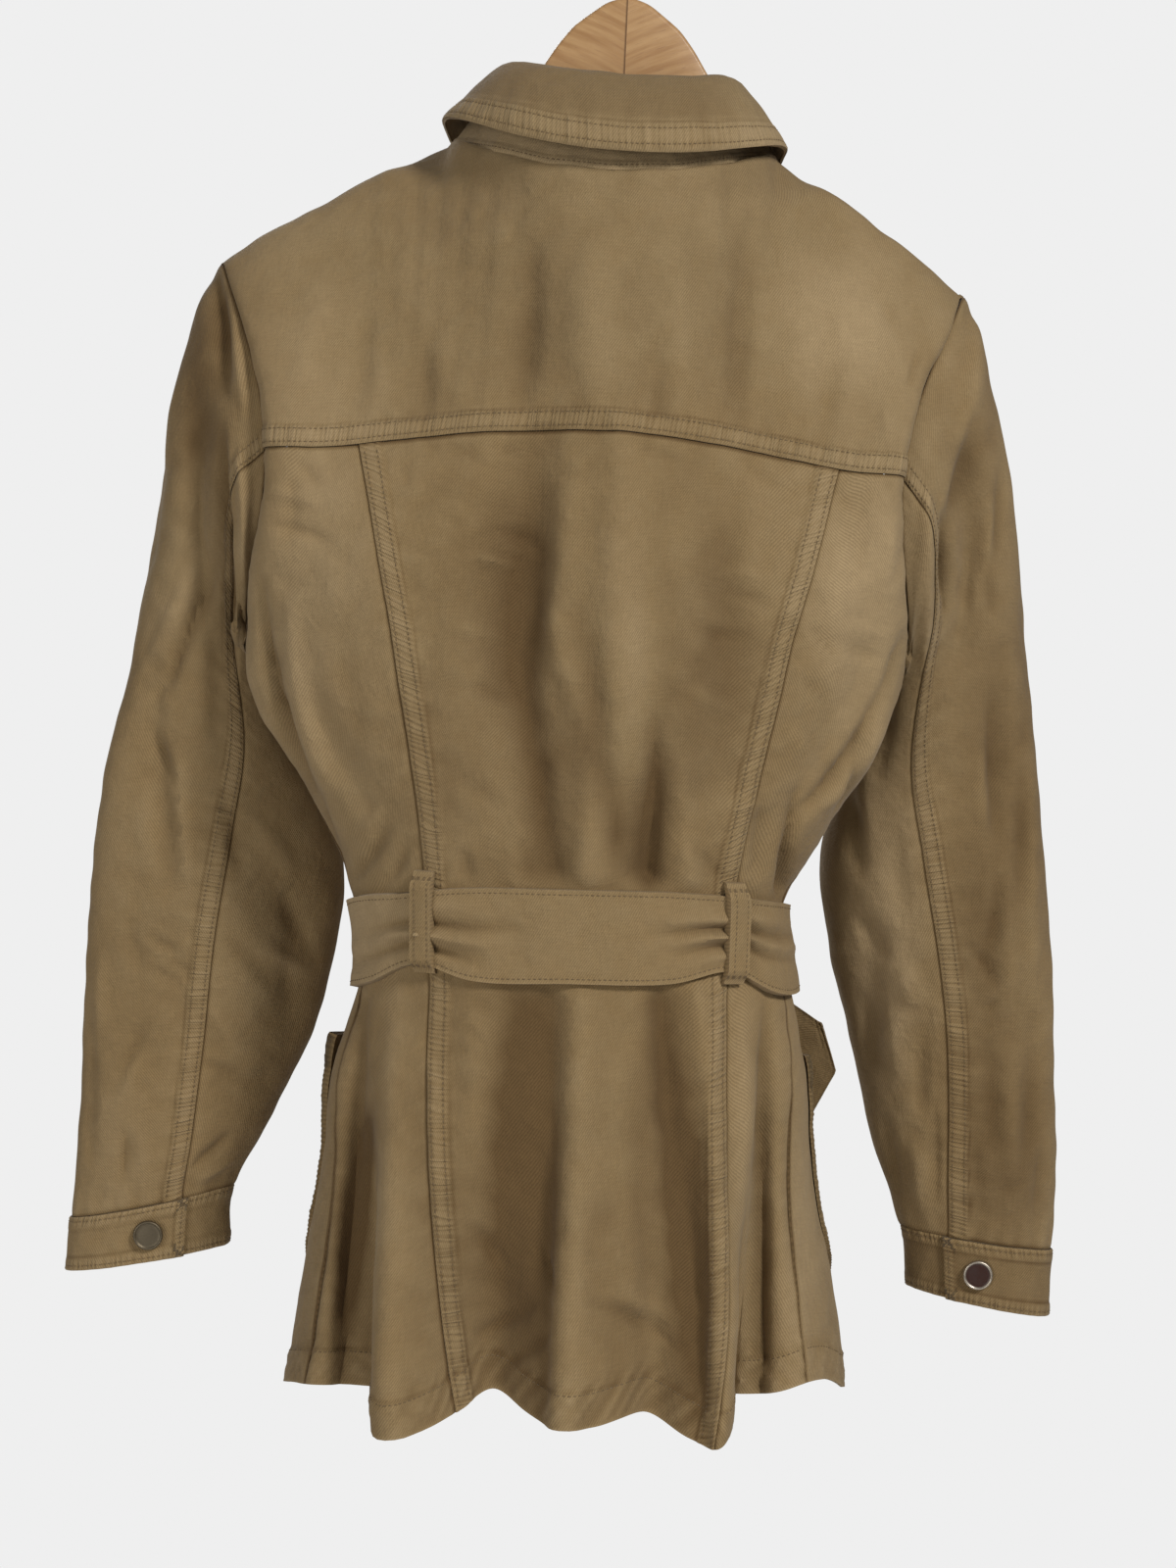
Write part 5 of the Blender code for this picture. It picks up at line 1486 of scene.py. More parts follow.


# --- listed creases, in millimetres

CREASE = "x_a z_a x_b z_b bow rise wide steep"
BODY_CREASES = {
    Face.BACK: table(
        CREASE,
        # the yoke's soft upright bands
        (48, -203, 48, -314, 2.1, -3.4, 7.4, 1.3), (16, -212, 6, -307, -2.1, 2.2, 12.7, 0.9),
        (-25, -274, -24, -312, 0, -1.6, 3.7, 0.9), (-66, -187, -69, -309, 1.6, -3, 8.4, 1),
        (139, -239, 137, -313, 0, -1.6, 7.4, 1), (102, -258, 102, -316, 0, -1.4, 5.3, 1),
        (-117, -227, -117, -317, 1.6, -1.8, 7.4, 0.8), (-140, -216, -161, -257, 2.1, -1.3, 3.2, 0.8),
        (-170, -246, -161, -283, 1.1, -1.2, 2.6, 0.9), (-149, -284, -156, -321, 0, 1, 4.2, 1),
        (164, -219, 170, -298, 1.6, 1.4, 9.5, 1), (-31, -205, -41, -305, 0, 1.6, 8.4, 1),
        # under the yoke
        (89, -322, 63, -336, 1.6, -1.3, 2.1, 1), (64, -323, 41, -328, 1.1, -1.1, 1.8, 1),
        (25, -333, 11, -341, 0, -1.3, 2.1, 1), (113, -329, 105, -348, -1.1, -1.1, 2.6, 1),
        (-10, -314, -42, -326, -2.1, -1, 2.6, 1), (-74, -324, -96, -339, -1.6, -1.1, 2.6, 1),
        (169, -333, 152, -350, 0, -1, 2.6, 1),
        # the deep valley left of the middle fold
        (40, -303, 43, -483, 0, -4.4, 13.7, 1.5), (42, -430, 6, -613, -2.1, -3.6, 8.4, 1.3),
        (18, -302, 25, -450, 0, 2.2, 9.5, 0.8), (31, -398, -11, -501, -2.6, 2.4, 6.9, 0.9),
        (8, -423, -21, -554, -1.6, -2.2, 6.3, 1.1),
        # the middle fold and its sharp lower end
        (-5, -290, -13, -528, 0, 3.2, 15.8, 0.6), (4, -486, -1, -607, 0, 3, 9.5, 0.6),
        (-24, -496, -29, -611, 0, -4, 6.9, 1), (-31, -461, -35, -611, 0.5, -4.8, 5.8, 0.9),
        (-45, -473, -58, -605, 0, 2.4, 9, 0.6), (-69, -324, -73, -509, 0, -2.6, 15.8, 1.3),
        (-47, -442, -47, -537, 0, -1.2, 10.6, 1), (-78, -329, -76, -414, 1.6, 1.3, 7.4, 1),
        # small wrinkles of the centre back
        (64, -364, 33, -378, 1.6, -1.9, 3.2, 0.7), (77, -383, 42, -388, 1.6, 1.8, 2.6, 0.8),
        (61, -374, 35, -384, 1.6, 1.3, 2.1, 0.8), (94, -358, 72, -370, 1.1, -1, 2.6, 1),
        (-62, -385, -92, -388, 1.1, 1.3, 3.2, 0.8), (-64, -394, -94, -404, 1.6, -1.5, 3.2, 0.8),
        (85, -421, 48, -427, 1.6, 1, 3.7, 1), (74, -452, 41, -462, 1.6, -1, 3.7, 1),
        (-46, -415, -83, -419, -1.1, -1, 3.7, 1), (-42, -447, -80, -464, 1.6, 1, 4.2, 1),
        (79, -500, 44, -520, 2.1, -1.1, 4.7, 1), (-51, -526, -78, -554, -1.6, -1.2, 3.2, 1),
        (70, -537, 63, -560, 0, -1.4, 4.7, 1), (38, -530, 29, -567, 0, -1.6, 3.7, 1),
        # the left side back, from the armpit in and down
        (189, -395, 151, -522, -7.5, -4.6, 4.8, 0.6), (170, -402, 142, -516, -6.4, 3, 7, 0.8),
        (197, -424, 166, -504, -5.4, 2.6, 6, 0.8), (152, -509, 133, -589, -1.1, -2.6, 3.8, 0.8),
        (185, -369, 144, -380, 2.1, -1.6, 3.7, 0.9), (190, -350, 153, -359, 1.6, 1.2, 3.7, 0.9),
        (109, -527, 133, -563, 1.6, -2.6, 4.3, 0.8), (98, -540, 117, -569, 1.6, -2, 3.2, 0.8),
        (113, -518, 125, -534, 0.5, 1.4, 3.2, 1), (170, -339, 174, -382, 1.1, -1.2, 4.3, 1),
        (140, -423, 127, -486, -1.6, -1.3, 4.8, 1), (152, -381, 138, -423, 0, 1.2, 5.8, 1),
        # the right side back
        (-168, -408, -109, -517, 10.7, -5, 5.4, 0.8), (-111, -497, -107, -583, 0, -4.4, 3.8, 1),
        (-162, -425, -126, -512, 7.6, 3.6, 5.9, 0.9), (-148, -460, -133, -523, 2.7, -3.2, 3.3, 0.9),
        (-128, -413, -158, -426, -3.7, -1.5, 3.7, 1), (-131, -404, -162, -413, -3.2, 0.9, 3.7, 1),
        (-109, -438, -133, -459, 2.1, -1.6, 3.7, 0.8), (-111, -410, -131, -429, 1.6, -1.8, 3.2, 0.7),
        (-102, -465, -125, -491, 2.1, 1.3, 4.3, 0.8), (-139, -335, -136, -389, 1.1, -1.3, 4.8, 1),
        (-156, -345, -153, -393, 1.1, 1.3, 4.3, 1), (-121, -333, -139, -347, -1.6, -1.1, 3.2, 1),
        (-93, -498, -90, -554, 0, -1.6, 4.8, 0.8), (-128, -368, -126, -411, 0, 1, 6.4, 1),
        # the skirt under the belt
        (3, -534, 2, -925, 2.6, 3.2, 8.4, 1), (19, -534, 14, -925, 2.1, -4, 6.9, 1.7),
        (-35, -532, -65, -779, -3.2, -3.8, 6.9, 1.1), (-50, -563, -75, -726, 2.6, 2.8, 6.3, 0.8),
        (-60, -673, -81, -921, -2.6, -4.2, 7.9, 0.9), (-33, -675, -44, -790, -1.6, -1.6, 6.3, 1),
        (-5, -775, -60, -803, 4.7, -1.8, 3.7, 0.8), (-10, -769, -62, -791, 4.2, 1.1, 4.7, 0.8),
        (36, -588, 39, -715, 3.2, -1.4, 11.6, 1), (52, -803, 18, -775, -2.1, -1.6, 3.7, 1),
        (38, -818, 10, -788, -1.6, -1.5, 3.2, 1), (25, -745, 8, -775, 1.6, -1.6, 3.2, 1),
        (-13, -612, -22, -728, 0, 1.4, 8.4, 1), (61, -616, 54, -705, 1.1, 1.3, 7.4, 1),
        (65, -632, 49, -649, 0, -1, 2.6, 1), (-12, -818, -12, -855, 0, -1.2, 4.2, 1),
        (26, -683, 18, -772, 1.1, -1.8, 6.3, 1.4), (-71, -610, -71, -668, 1.1, 1.2, 3.2, 1),
        (61, -737, 33, -767, 2.1, -1.2, 4.2, 1), (-101, -583, -108, -926, -1.6, -4, 4.8, 0.9),
        (-87, -604, -100, -923, 0, 2.2, 6.4, 0.9), (-119, -606, -129, -715, 0, 1.6, 4.4, 1),
        (-117, -661, -124, -814, 0, -1.2, 4.9, 1), (121, -615, 118, -939, -1.6, -4.6, 4.9, 1.2),
        (103, -613, 87, -932, 0, 2, 8.5, 1), (135, -625, 144, -786, 1.1, 1.8, 4.4, 1),
        (136, -747, 147, -842, 0, -2, 4.4, 1), (80, -653, 69, -769, 0, 1, 4.2, 1),
        (96, -821, 81, -862, 0, 1.2, 4.2, 1),
    )
}  # fmt: skip
FRONT_CREASES = {
    Face.FRONT: table(
        CREASE,
        (60, -230, 82, -400, 6, -1.8, 15, 0.8), (-58, -230, -76, -390, -6, -1.6, 14, 0.8),
        (176, -400, 92, -470, 9, -2.3, 9, 0.7), (-150, -400, -88, -460, -9, -2.2, 9, 0.7),
        (150, -470, 84, -556, -7, 2, 9, 0.7), (-138, -460, -80, -552, 7, 2, 9, 0.7),
        (66, -430, 60, -556, 4, -1.7, 9, 0.8), (-50, -420, -52, -556, -4, -1.6, 9, 0.8),
        (100, -360, 90, -460, 3, 1.2, 10, 1), (-92, -350, -86, -450, -3, 1.2, 10, 1),
        (70, -624, 88, -760, 4, -1.8, 8, 0.8), (-60, -624, -82, -770, -4, -1.8, 8, 0.8),
        (40, -622, 46, -740, -3, 1.4, 8, 0.8), (-34, -622, -44, -750, 3, 1.4, 8, 0.8),
        (100, -640, 112, -800, 0, 1.4, 8, 0.7), (-92, -640, -108, -800, 0, 1.4, 8, 0.7),
    )
}  # fmt: skip
SLEEVE_CREASES = {
    Side.LEFT: table(
        CREASE,
        # the fold that runs down beside the armhole
        (227, -212, 212, -300, 2.2, -4.2, 3.3, 2.2), (217, -210, 201, -311, 1.7, 3.6, 4.4, 0.9),
        (214, -310, 206, -455, 0, -4.8, 2.8, 2.6), (203, -319, 197, -422, 1.1, 3.2, 4.4, 0.8),
        (247, -248, 253, -333, 1.7, 1.8, 10.1, 1), (235, -276, 232, -355, 0, -1.8, 7.9, 1),
        (256, -309, 263, -400, 2.3, -1.5, 7.9, 1),
        # across and down the upper arm
        (217, -376, 255, -469, 4.5, -2.8, 4.5, 0.8), (227, -376, 266, -457, 4.5, 1.8, 5.7, 0.8),
        (239, -428, 245, -468, 1.1, -1.2, 4, 1), (219, -421, 218, -489, 0, -1.6, 5.7, 1),
        (255, -476, 236, -519, -1.7, -1.6, 4, 0.9), (249, -482, 237, -584, -2.3, -2, 5.2, 0.9),
        (238, -490, 231, -581, 0, 1.9, 4.6, 0.8), (261, -502, 251, -582, 0, 1.3, 6.9, 1),
        (256, -600, 228, -630, 4, -1.7, 4, 0.9), (256, -620, 231, -636, 2.9, -1.4, 3.4, 0.9),
        (251, -610, 230, -619, 1.7, 1.4, 2.3, 0.8), (266, -589, 255, -634, 0, -1.2, 4.6, 1),
        (253, -648, 271, -686, 1.7, -2, 3.5, 0.8), (256, -664, 271, -705, 1.7, 1.4, 4, 0.8),
        (264, -711, 267, -754, 0, -2, 2.9, 0.8), (254, -705, 254, -760, 0, 1.2, 4, 1),
        (289, -637, 286, -746, 0, -1.2, 5.2, 1), (283, -607, 282, -665, 0, 1.3, 4.6, 1),
        # the under side of the sleeve
        (212, -511, 201, -569, 0, -1.6, 5.2, 1), (197, -528, 170, -570, 2.3, 1.6, 6.9, 1),
        (179, -568, 158, -617, -1.7, -2.2, 5.2, 1), (192, -604, 160, -626, 1.7, 1.6, 5.2, 1),
        (212, -598, 182, -632, 2.3, -1.7, 5.2, 1), (221, -675, 191, -691, 1.7, -1.6, 4.1, 1),
        (228, -740, 202, -714, -2.3, -2.4, 3.5, 0.8), (227, -749, 202, -733, -1.2, 1.5, 2.9, 0.8),
        (219, -639, 198, -673, 0, 1.3, 5.2, 1),
    ),
    Side.RIGHT: table(
        CREASE,
        # the fold that runs down beside the armhole
        (-207, -225, -191, -338, 1.7, 2.6, 6.7, 0.9), (-203, -280, -191, -359, 0, -3.6, 6.7, 0.7),
        (-176, -327, -185, -432, 0, 3, 4.4, 0.9), (-187, -337, -195, -403, 0, -4, 4.5, 0.7),
        (-236, -253, -228, -344, 0, 1.8, 9.1, 1), (-218, -334, -210, -402, 1.1, 1.8, 5.1, 1),
        # down the upper arm
        (-221, -310, -220, -373, 1.7, -2.2, 4, 0.9), (-212, -356, -225, -401, -1.7, -1.8, 4, 0.9),
        (-242, -354, -251, -445, 0, -1.6, 6.8, 1), (-233, -400, -241, -491, 0, 1.4, 5.7, 1),
        (-224, -435, -234, -526, -1.1, -2, 4.6, 0.9), (-246, -479, -251, -565, 0, -2.2, 5.2, 0.9),
        (-256, -519, -261, -611, 0, 1.4, 5.2, 1), (-220, -469, -226, -526, 0, 1.3, 4, 1),
        (-234, -543, -232, -595, 2.3, -2.2, 4.6, 0.8), (-222, -584, -239, -612, 1.7, -1.8, 3.4, 0.8),
        (-242, -615, -233, -626, 0, -1.2, 1.7, 1), (-243, -566, -250, -623, 0, 1.6, 5.2, 1),
        (-263, -623, -266, -710, 0, -1.7, 5.2, 1), (-237, -636, -245, -711, 0, -1.6, 4.6, 1),
        (-250, -641, -258, -728, 0, 1.5, 5.2, 1), (-274, -698, -273, -750, 0, -1.3, 3.5, 1),
        (-232, -700, -240, -746, 0, -1.3, 3.5, 1),
        # the under side of the sleeve
        (-169, -437, -164, -494, 0, -1.8, 5.1, 1), (-149, -495, -160, -553, 0, -2, 4.6, 1),
        (-157, -472, -162, -541, 0, 1.5, 5.2, 1), (-175, -517, -184, -580, 0, -1.5, 5.2, 1),
        (-158, -570, -178, -602, 1.7, -2.2, 4.7, 0.9), (-185, -595, -195, -626, -1.2, 1.8, 5.2, 1),
        (-166, -617, -173, -666, 1.7, -2.2, 4.7, 0.9), (-181, -622, -189, -674, 0, 1.5, 4.7, 1),
        (-197, -632, -203, -695, 0, -1.7, 4, 1), (-181, -686, -195, -744, 0, -1.8, 4.1, 1),
        (-199, -697, -207, -749, 0, 1.4, 4.1, 1), (-209, -678, -214, -741, 0, -1.2, 2.9, 1),
    ),
}  # fmt: skip
# The creases of the left sleeve's front: the right one has the same in a mirror
SLEEVE_FRONT = table(
    CREASE,
    (196, -330, 234, -390, 4, -2, 9, 0.8), (180, -450, 226, -470, 5, -2.4, 8, 0.7),
    (176, -480, 230, -520, 5, 1.8, 9, 0.8), (180, -530, 236, -560, 4, -2.2, 8, 0.7),
    (186, -570, 246, -596, 4, 1.7, 8, 0.8), (196, -610, 250, -640, 3, -1.6, 8, 0.8),
    (232, -650, 240, -740, 3, 1.2, 9, 0.9),
)  # fmt: skip
MIRROR = dict(zip(CREASE.split(), (-1, 1, -1, 1, -1, 1, 1, 1)))
# Patches of painted light (shade above zero) and painted shade (below zero) on the cloth, across and up
PAINTED_LIGHT_AND_SHADE = table(
    "x z wide tall shade",
    (-142, -388, 27, 64, 0.9), (-133, -246, 38, 49, 0.86), (160, -259, 38, 49, 0.3), (158, -380, 32, 64, 0.75),
    (116, -593, 21, 18, 0.9), (-1, -460, 79, 127, -0.24), (-13, -737, 58, 89, -0.3), (38, -419, 14, 69, -0.34),
    (26, -498, 12, 32, -0.4), (-14, -530, 5, 24, -0.4), (-33, -527, 4, 31, -0.6), (67, -484, 21, 53, -0.24),
    (4, -481, 12, 32, -0.36), (-54, -473, 18, 63, -0.32), (-20, -427, 9, 58, 0.34), (230, -289, 19, 61, -0.75),
    (237, -405, 15, 34, 0.36), (276, -734, 14, 40, 0.3), (259, -514, 15, 40, -0.15), (-175, -605, 18, 88, 1.3),
    (-61, -746, 13, 79, -0.95), (-53, -657, 12, 58, -0.4), (34, -704, 16, 106, -0.85), (-37, -637, 7, 42, -0.3),
    (-14, -695, 16, 89, 0.16), (-128, -741, 14, 87, 0.75), (128, -731, 8, 71, -0.4), (70, -741, 16, 63, -0.22),
    (-238, -548, 26, 188, -0.62), (-260, -728, 23, 58, -0.6), (-202, -293, 17, 39, -0.4), (19, -253, 21, 43, -0.34),
    (82, -379, 26, 32, -0.18), (-87, -725, 7, 106, 0.35), (22, -713, 63, 105, -0.24), (99, -732, 21, 91, -0.22),
    (115, -700, 4, 16, -0.9), (116, -724, 5, 18, -1.3), (118, -751, 5, 20, -1.3), (121, -781, 5, 21, -1.1),
    (103, -721, 5, 80, 0.45),
)  # fmt: skip
CREASE_DEPTH = 1.65
# How strongly the relief of the unevenness and of the creases is painted into the colour: painted shade in hollows,
# painted light on ridges
UNEVEN_SHADING, CREASE_SHADING = 260.0, 150.0


def mirrored(rows: Sequence[NamedTuple], side: Side) -> tuple[NamedTuple, ...]:
    """The creases of the left side, or the same in a mirror for the right.

    Args:
        rows: the creases of the left side.
        side: the side that they are for.

    Returns:
        The creases of that side.
    """
    if side is Side.LEFT:
        return tuple(rows)
    return tuple(row._replace(**{name: sign * getattr(row, name) for name, sign in MIRROR.items()}) for row in rows)


def crumple(cloth: Cloth, creases: dict[Face, Sequence[NamedTuple]], hold: Array | float = 1.0) -> None:
    """Adds creases and unevenness to a piece, with painted shade in their hollows and painted light on their ridges,
    and patches of painted light and shade.

    Args:
        cloth: the piece.
        creases: the creases of each side of the coat.
        hold: how freely the cloth moves at each point, 0 where it is held down.
    """
    move = sum(creased(cloth, rows, face) for face, rows in creases.items())
    uneven = cloth.uneven()
    cloth.relief += (move * CREASE_DEPTH + uneven) * hold
    cloth.wear += np.clip(uneven * hold * UNEVEN_SHADING, -0.12, 0.12) + np.clip(move * hold * CREASE_SHADING, -0.66, 0.34)
    x, z, seen = cloth.base[..., 0] * MM, cloth.base[..., 2] * MM, cloth.seen(Face.BACK)
    # patches of painted light and painted shade, on the parts that face the back
    for fade in PAINTED_LIGHT_AND_SHADE:
        cloth.wear += fade.shade * np.exp(-(((x - fade.x) / fade.wide) ** 2) - ((z - fade.z) / fade.tall) ** 2) * seen


# --- the bench that finishes pieces, and the assemblies that it serves


@dataclass
class Bench:
    """The finishes, and the way that each finished piece joins the frame."""

    twill: Material
    thread: Material
    nickel: Material
    enamel: Material
    wood: Material
    steel: Material
    sewn: int = 0

    def cloth(self, cloth: Cloth, node: str, held: str, rests_on: Sequence[str]) -> None:
        """Makes a cloth piece and puts it in place of its node.

        Args:
            cloth: the piece with its relief complete.
            node: the node that it replaces.
            held: how the sheet is held; not used.
            rests_on: what it hangs from or lies on; not used.
        """
        piece = cloth.wall(self.twill)
        self.join(piece, "khaki_twill", (node,))

    def sew(self, thread: Thread) -> None:
        """Makes the stitches of a thread and joins them to the frame."""
        self.sewn += 1
        self.join(thread.build(self.thread, self.sewn), "khaki_twill", ())

    @staticmethod
    def join(piece: Object, slot: str, nodes: Sequence[str]) -> None:
        """Rides a piece on the coat's one body and hides the nodes that it replaces.

        Args:
            piece: the piece.
            slot: the name of its slot; not used.
            nodes: the nodes that it replaces.
        """
        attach(piece, "root")
        if nodes:
            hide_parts(*nodes)
        LOG.info("%s: %d faces", piece.name, len(piece.data.polygons))


@dataclass
class Assembly:
    """A sub-assembly, with the bench that finishes its pieces and the thread that sews them."""

    bench: Bench
    thread: Thread = field(init=False)

    def build(self) -> None:
        """Builds the pieces and then their stitches."""
        self.thread = Thread(self.sewing())
        self.pieces()
        if self.thread.points:
            self.bench.sew(self.thread)

    def sewing(self) -> str:
        """The name of the stitches."""
        return "plain_stitches"

    def pieces(self) -> None:
        """Builds the pieces."""


# --- body


@dataclass
class CoatBody(Assembly):
    """The back in four pieces, the two fronts, the placket and the pockets."""

    form: BodyForm = BodyForm()
    fine: float = 0.0013
    row: float = 0.0021
    coarse: float = 0.0026
    band_zone: float = 0.014
    hem_turn: float = 0.019
    placket_width: float = 0.032
    pocket_mouth: float = -0.625
    pocket_rows: tuple[float, float] = (0.0020, 0.0080)
    pocket_gape: dict[Side, float] = field(default_factory=lambda: {Side.LEFT: 0.0080, Side.RIGHT: 0.0020})

    def cloth(self, name: str, angle: Array, level: Array, back: bool, lift: float = 0.0) -> Cloth:
        """A body piece as cloth, with the form's corner at the armpits eased.

        Args:
            name: the piece's name.
            angle: the angles of its grid.
            level: the levels of its grid.
            back: whether it is on the back.
            lift: how far it stands off the form.

        Returns:
            The piece.
        """
        base = self.form.point(angle, level, back)
        soft = base.copy()
        for _ in range(60):
            soft[1:-1] = (soft[:-2] + 2 * soft[1:-1] + soft[2:]) / 4
        middle = 1.0 - np.abs(wrapped(angle) / 90.0) if back else np.abs(angle) / 90.0 - 1.0
        near = np.exp(-(((level - ARMPIT_Z) / 0.024) ** 4)) * ease(middle / 0.10)
        base = base + (soft - base) * near[..., None]
        return Cloth(name, base, upright(base, 0.011), CLOTH, lift)

    def free(self, angle: Array, level: Array) -> Array:
        """How freely the body's cloth moves: held down under the belt."""
        top, low = (through(BELT_EDGES, name, wrapped(angle)) for name in ("top", "low"))
        return 1.0 - 0.85 * ease((top + 0.010 - level) / 0.012) * ease((level - low + 0.010) / 0.012)

    def panel(
        self, name: str, columns: Callable[[Array, Array], Array], shares: Array, rises: Array, back: bool
    ) -> Cloth:
        """A cut piece from the hem up to the yoke seam, or to the shoulder and the neckline in front.

        Args:
            name: the piece's name.
            columns: gives the angle of a share at a level.
            shares: the shares of its columns.
            rises: the shares of its rows.
            back: whether it is on the back.

        Returns:
            The piece, with its creases.
        """
        share, rise = np.meshgrid(shares, rises)
        low, high = np.full(share[0].shape, -0.84), np.full(share[0].shape, ARMPIT_Z + UPPER)
        for _ in range(4):
            level = low + (high - low) * rise
            angle = columns(level, share)
            low = self.form.hem(angle[0])
            high = self.form.yoke(angle[-1]) - SEAM / 2 if back else np.full(low.shape, ARMPIT_Z + UPPER - SEAM)
        level = low + (high - low) * rise
        piece = self.cloth(name, angle, level, back)
        crumple(piece, BODY_CREASES if back else FRONT_CREASES, self.free(angle, level))
        return piece

    def hem(self, cloth: Cloth, seed: int) -> None:
        """Turns up the hem: thicker below its row of stitches, with slanting puckers.

        Args:
            cloth: the piece.
            seed: the seed of its puckers.
        """
        away, run = cloth.away[Edge.LOW], cloth.run(Edge.LOW)
        past = away - self.hem_turn
        ripple = Ripple(seed, 0.0085).at(run + 0.8 * away)
        band = ease(away / 0.004) * (1.0 - ease(past / 0.010))
        below = 1.0 - ease(past / 0.0012)
        cloth.relief += 0.0007 * below + 0.00050 * ripple * band - 0.00030 * bell(past, 0.0010)
        # Painted light and shade on the puckers, a painted shadow line at the top of the turn-up, and a paler worn
        # fold at the hem's edge.
        cloth.wear += 0.30 * ripple * band - 0.35 * bell(past - 0.0006, 0.0010) + 0.30 * bell(away, 0.0012)
        self.thread.rows(cloth, (Edge.LOW,), (self.hem_turn - 0.0012,))

    def sewing(self) -> str:
        """The name of the stitches."""
        return "body_stitches"

    def pieces(self) -> None:
        """Builds the body's pieces and their stitches."""
        rises = graded(0.530, 0.0019, self.row, 0.022, 0.0)

        def centre(level: Array, share: Array) -> Array:
            """Angles of the centre back, its shares from -1 to 1."""
            left, right = (self.form.princess(level, side) for side in Side)
            return np.where(share > 0, left * share, -right * share)

        shares = graded(0.170, self.fine, self.coarse, self.band_zone, self.band_zone) * 2 - 1
        piece = self.panel("centre_back_cloth", centre, shares, rises, True)
        FelledBand(slant=0.45).along(piece, {Edge.FIRST: 11, Edge.LAST: 12})
        tucked(piece, {Edge.TOP: 13})
        self.hem(piece, 14)
        self.thread.rows(piece, (Edge.FIRST, Edge.LAST), FelledBand().rows)
        self.bench.cloth(piece, "back_center", "hung", ARMS)
        for side in Side:
            self.flank(side, rises)
        self.yoke()
        for side in Side:
            self.front(side)
            self.pocket(side)
        self.placket()

    def flank(self, side: Side, rises: Array) -> None:
        """A side back, its columns from the princess seam to the side seam.

        Args:
            side: its side.
            rises: the shares of its rows.
        """

        def columns(level: Array, share: Array) -> Array:
            """Angles of the piece."""
            first, last = self.form.princess(level, side), self.form.side_seam(level, side)
            return first + (last - first) * share

        shares = graded(0.110, self.fine * 1.2, 0.0038, 0.010, 0.008)
        piece = self.panel(f"side_back_cloth_{side.word}", columns, shares, rises, True)
        tucked(piece, {Edge.FIRST: 21, Edge.TOP: 22})
        tucked(piece, {Edge.LAST: 23}, 0.0003)
        self.hem(piece, 24)
        self.bench.cloth(piece, f"back_side_{side.word}", "hung", ARMS)

    def yoke(self) -> None:
        """The back yoke, felled down over the pieces below it."""
        shares = graded(0.430, 0.0021, 0.0021, 0.0, 0.0) * 2 - 1
        share, rise = np.meshgrid(shares, graded(0.150, 0.0012, 0.0036, 0.015, 0.006))
        angle = share * 90.0
        low = self.form.yoke(angle[0]) + SEAM / 2
        level = low + (ARMPIT_Z + UPPER - SEAM - low) * rise
        piece = self.cloth("back_yoke_cloth", angle, level, True)
        crumple(piece, BODY_CREASES, self.free(angle, level))
        band = FelledBand(width=0.0112, rows=(0.0026, 0.0098), pitch=0.0027)
        band.along(piece, {Edge.LOW: 31})
        # Painted shade along the yoke's shoulder seams.
        piece.wear -= 0.6 * bell(piece.away[Edge.TOP], 0.0012) * (np.abs(share) > self.form.neck_at)
        self.thread.rows(piece, (Edge.LOW,), band.rows)
        self.bench.cloth(piece, "back_yoke", "hung", ARMS)

    def front(self, side: Side) -> None:
        """A front, its columns from the centre to the side seam.

        Args:
            side: its side.
        """
        centre = 180.0 * side.value

        def columns(level: Array, share: Array) -> Array:
            """Angles of the piece."""
            return centre + (self.form.side_seam(level, side) - centre) * share

        shares, rises = graded(0.240, 0.0022, 0.0048, 0.004, 0.010), graded(0.650, 0.0022, 0.0042, 0.022, 0.012)
        piece = self.panel(f"front_cloth_{side.word}", columns, shares, rises, False)
        tucked(piece, {Edge.LAST: 41}, 0.0003)
        self.hem(piece, 42)
        self.bench.cloth(piece, f"front_{side.word}", "hung", ARMS)

    def pocket(self, side: Side) -> None:
        """A patch pocket with rounded lower corners and a mouth that gapes at the side.

        Args:
            side: its side.
        """
        u, v = np.meshgrid(graded(0.120, 0.0016, 0.0034, 0.008, 0.008), graded(0.150, 0.0016, 0.0034, 0.012, 0.020))
        rounded = np.clip(1.0 - v / 0.30, 0.0, 1.0) ** 2.2
        columns = 2.0 + 4.35 * u + 0.80 * rounded * np.clip(1 - u / 0.5, 0.0, 1.0)
        columns = columns - 0.95 * rounded * np.clip(u * 2 - 1, 0.0, 1.0)
        knots = np.append(np.linspace(0.0, self.form.neck_at, 4), (0.42, 0.57, 0.71, 0.86, 1.0))
        share = np.interp(columns, np.arange(9.0), knots)
        centre, level = 180.0 * side.value, np.full(share.shape, -0.74)
        for _ in range(3):
            angle = centre + (self.form.side_seam(level, side) - centre) * share
            low = self.form.hem(angle)
            level = low + (self.pocket_mouth - low) * (2.0 + 5.0 * v) / 8.0
        piece = self.cloth(f"pocket_cloth_{side.word}", angle, level, False, 0.0009 + CLOTH)
        crumple(piece, FRONT_CREASES)
        piece.relief += self.pocket_gape[side] * np.clip((v - 0.4) / 0.6, 0.0, 1.0) ** 1.5 * u**1.5
        band = FelledBand(width=0.0090, lift=0.0003, rows=self.pocket_rows, rise=0.00035)
        band.along(piece, {Edge.FIRST: 51, Edge.LAST: 52, Edge.LOW: 53})
        FelledBand(width=0.018, lift=0.0006, rows=(0.0022, 0.0165), rise=0.00035).along(piece, {Edge.TOP: 54})
        self.thread.rows(piece, (Edge.FIRST, Edge.LAST, Edge.LOW), self.pocket_rows)
        self.thread.rows(piece, (Edge.TOP,), (0.0165,))
        self.bench.cloth(piece, f"pocket_{side.word}", "hung", (f"front_cloth_{side.word}",))

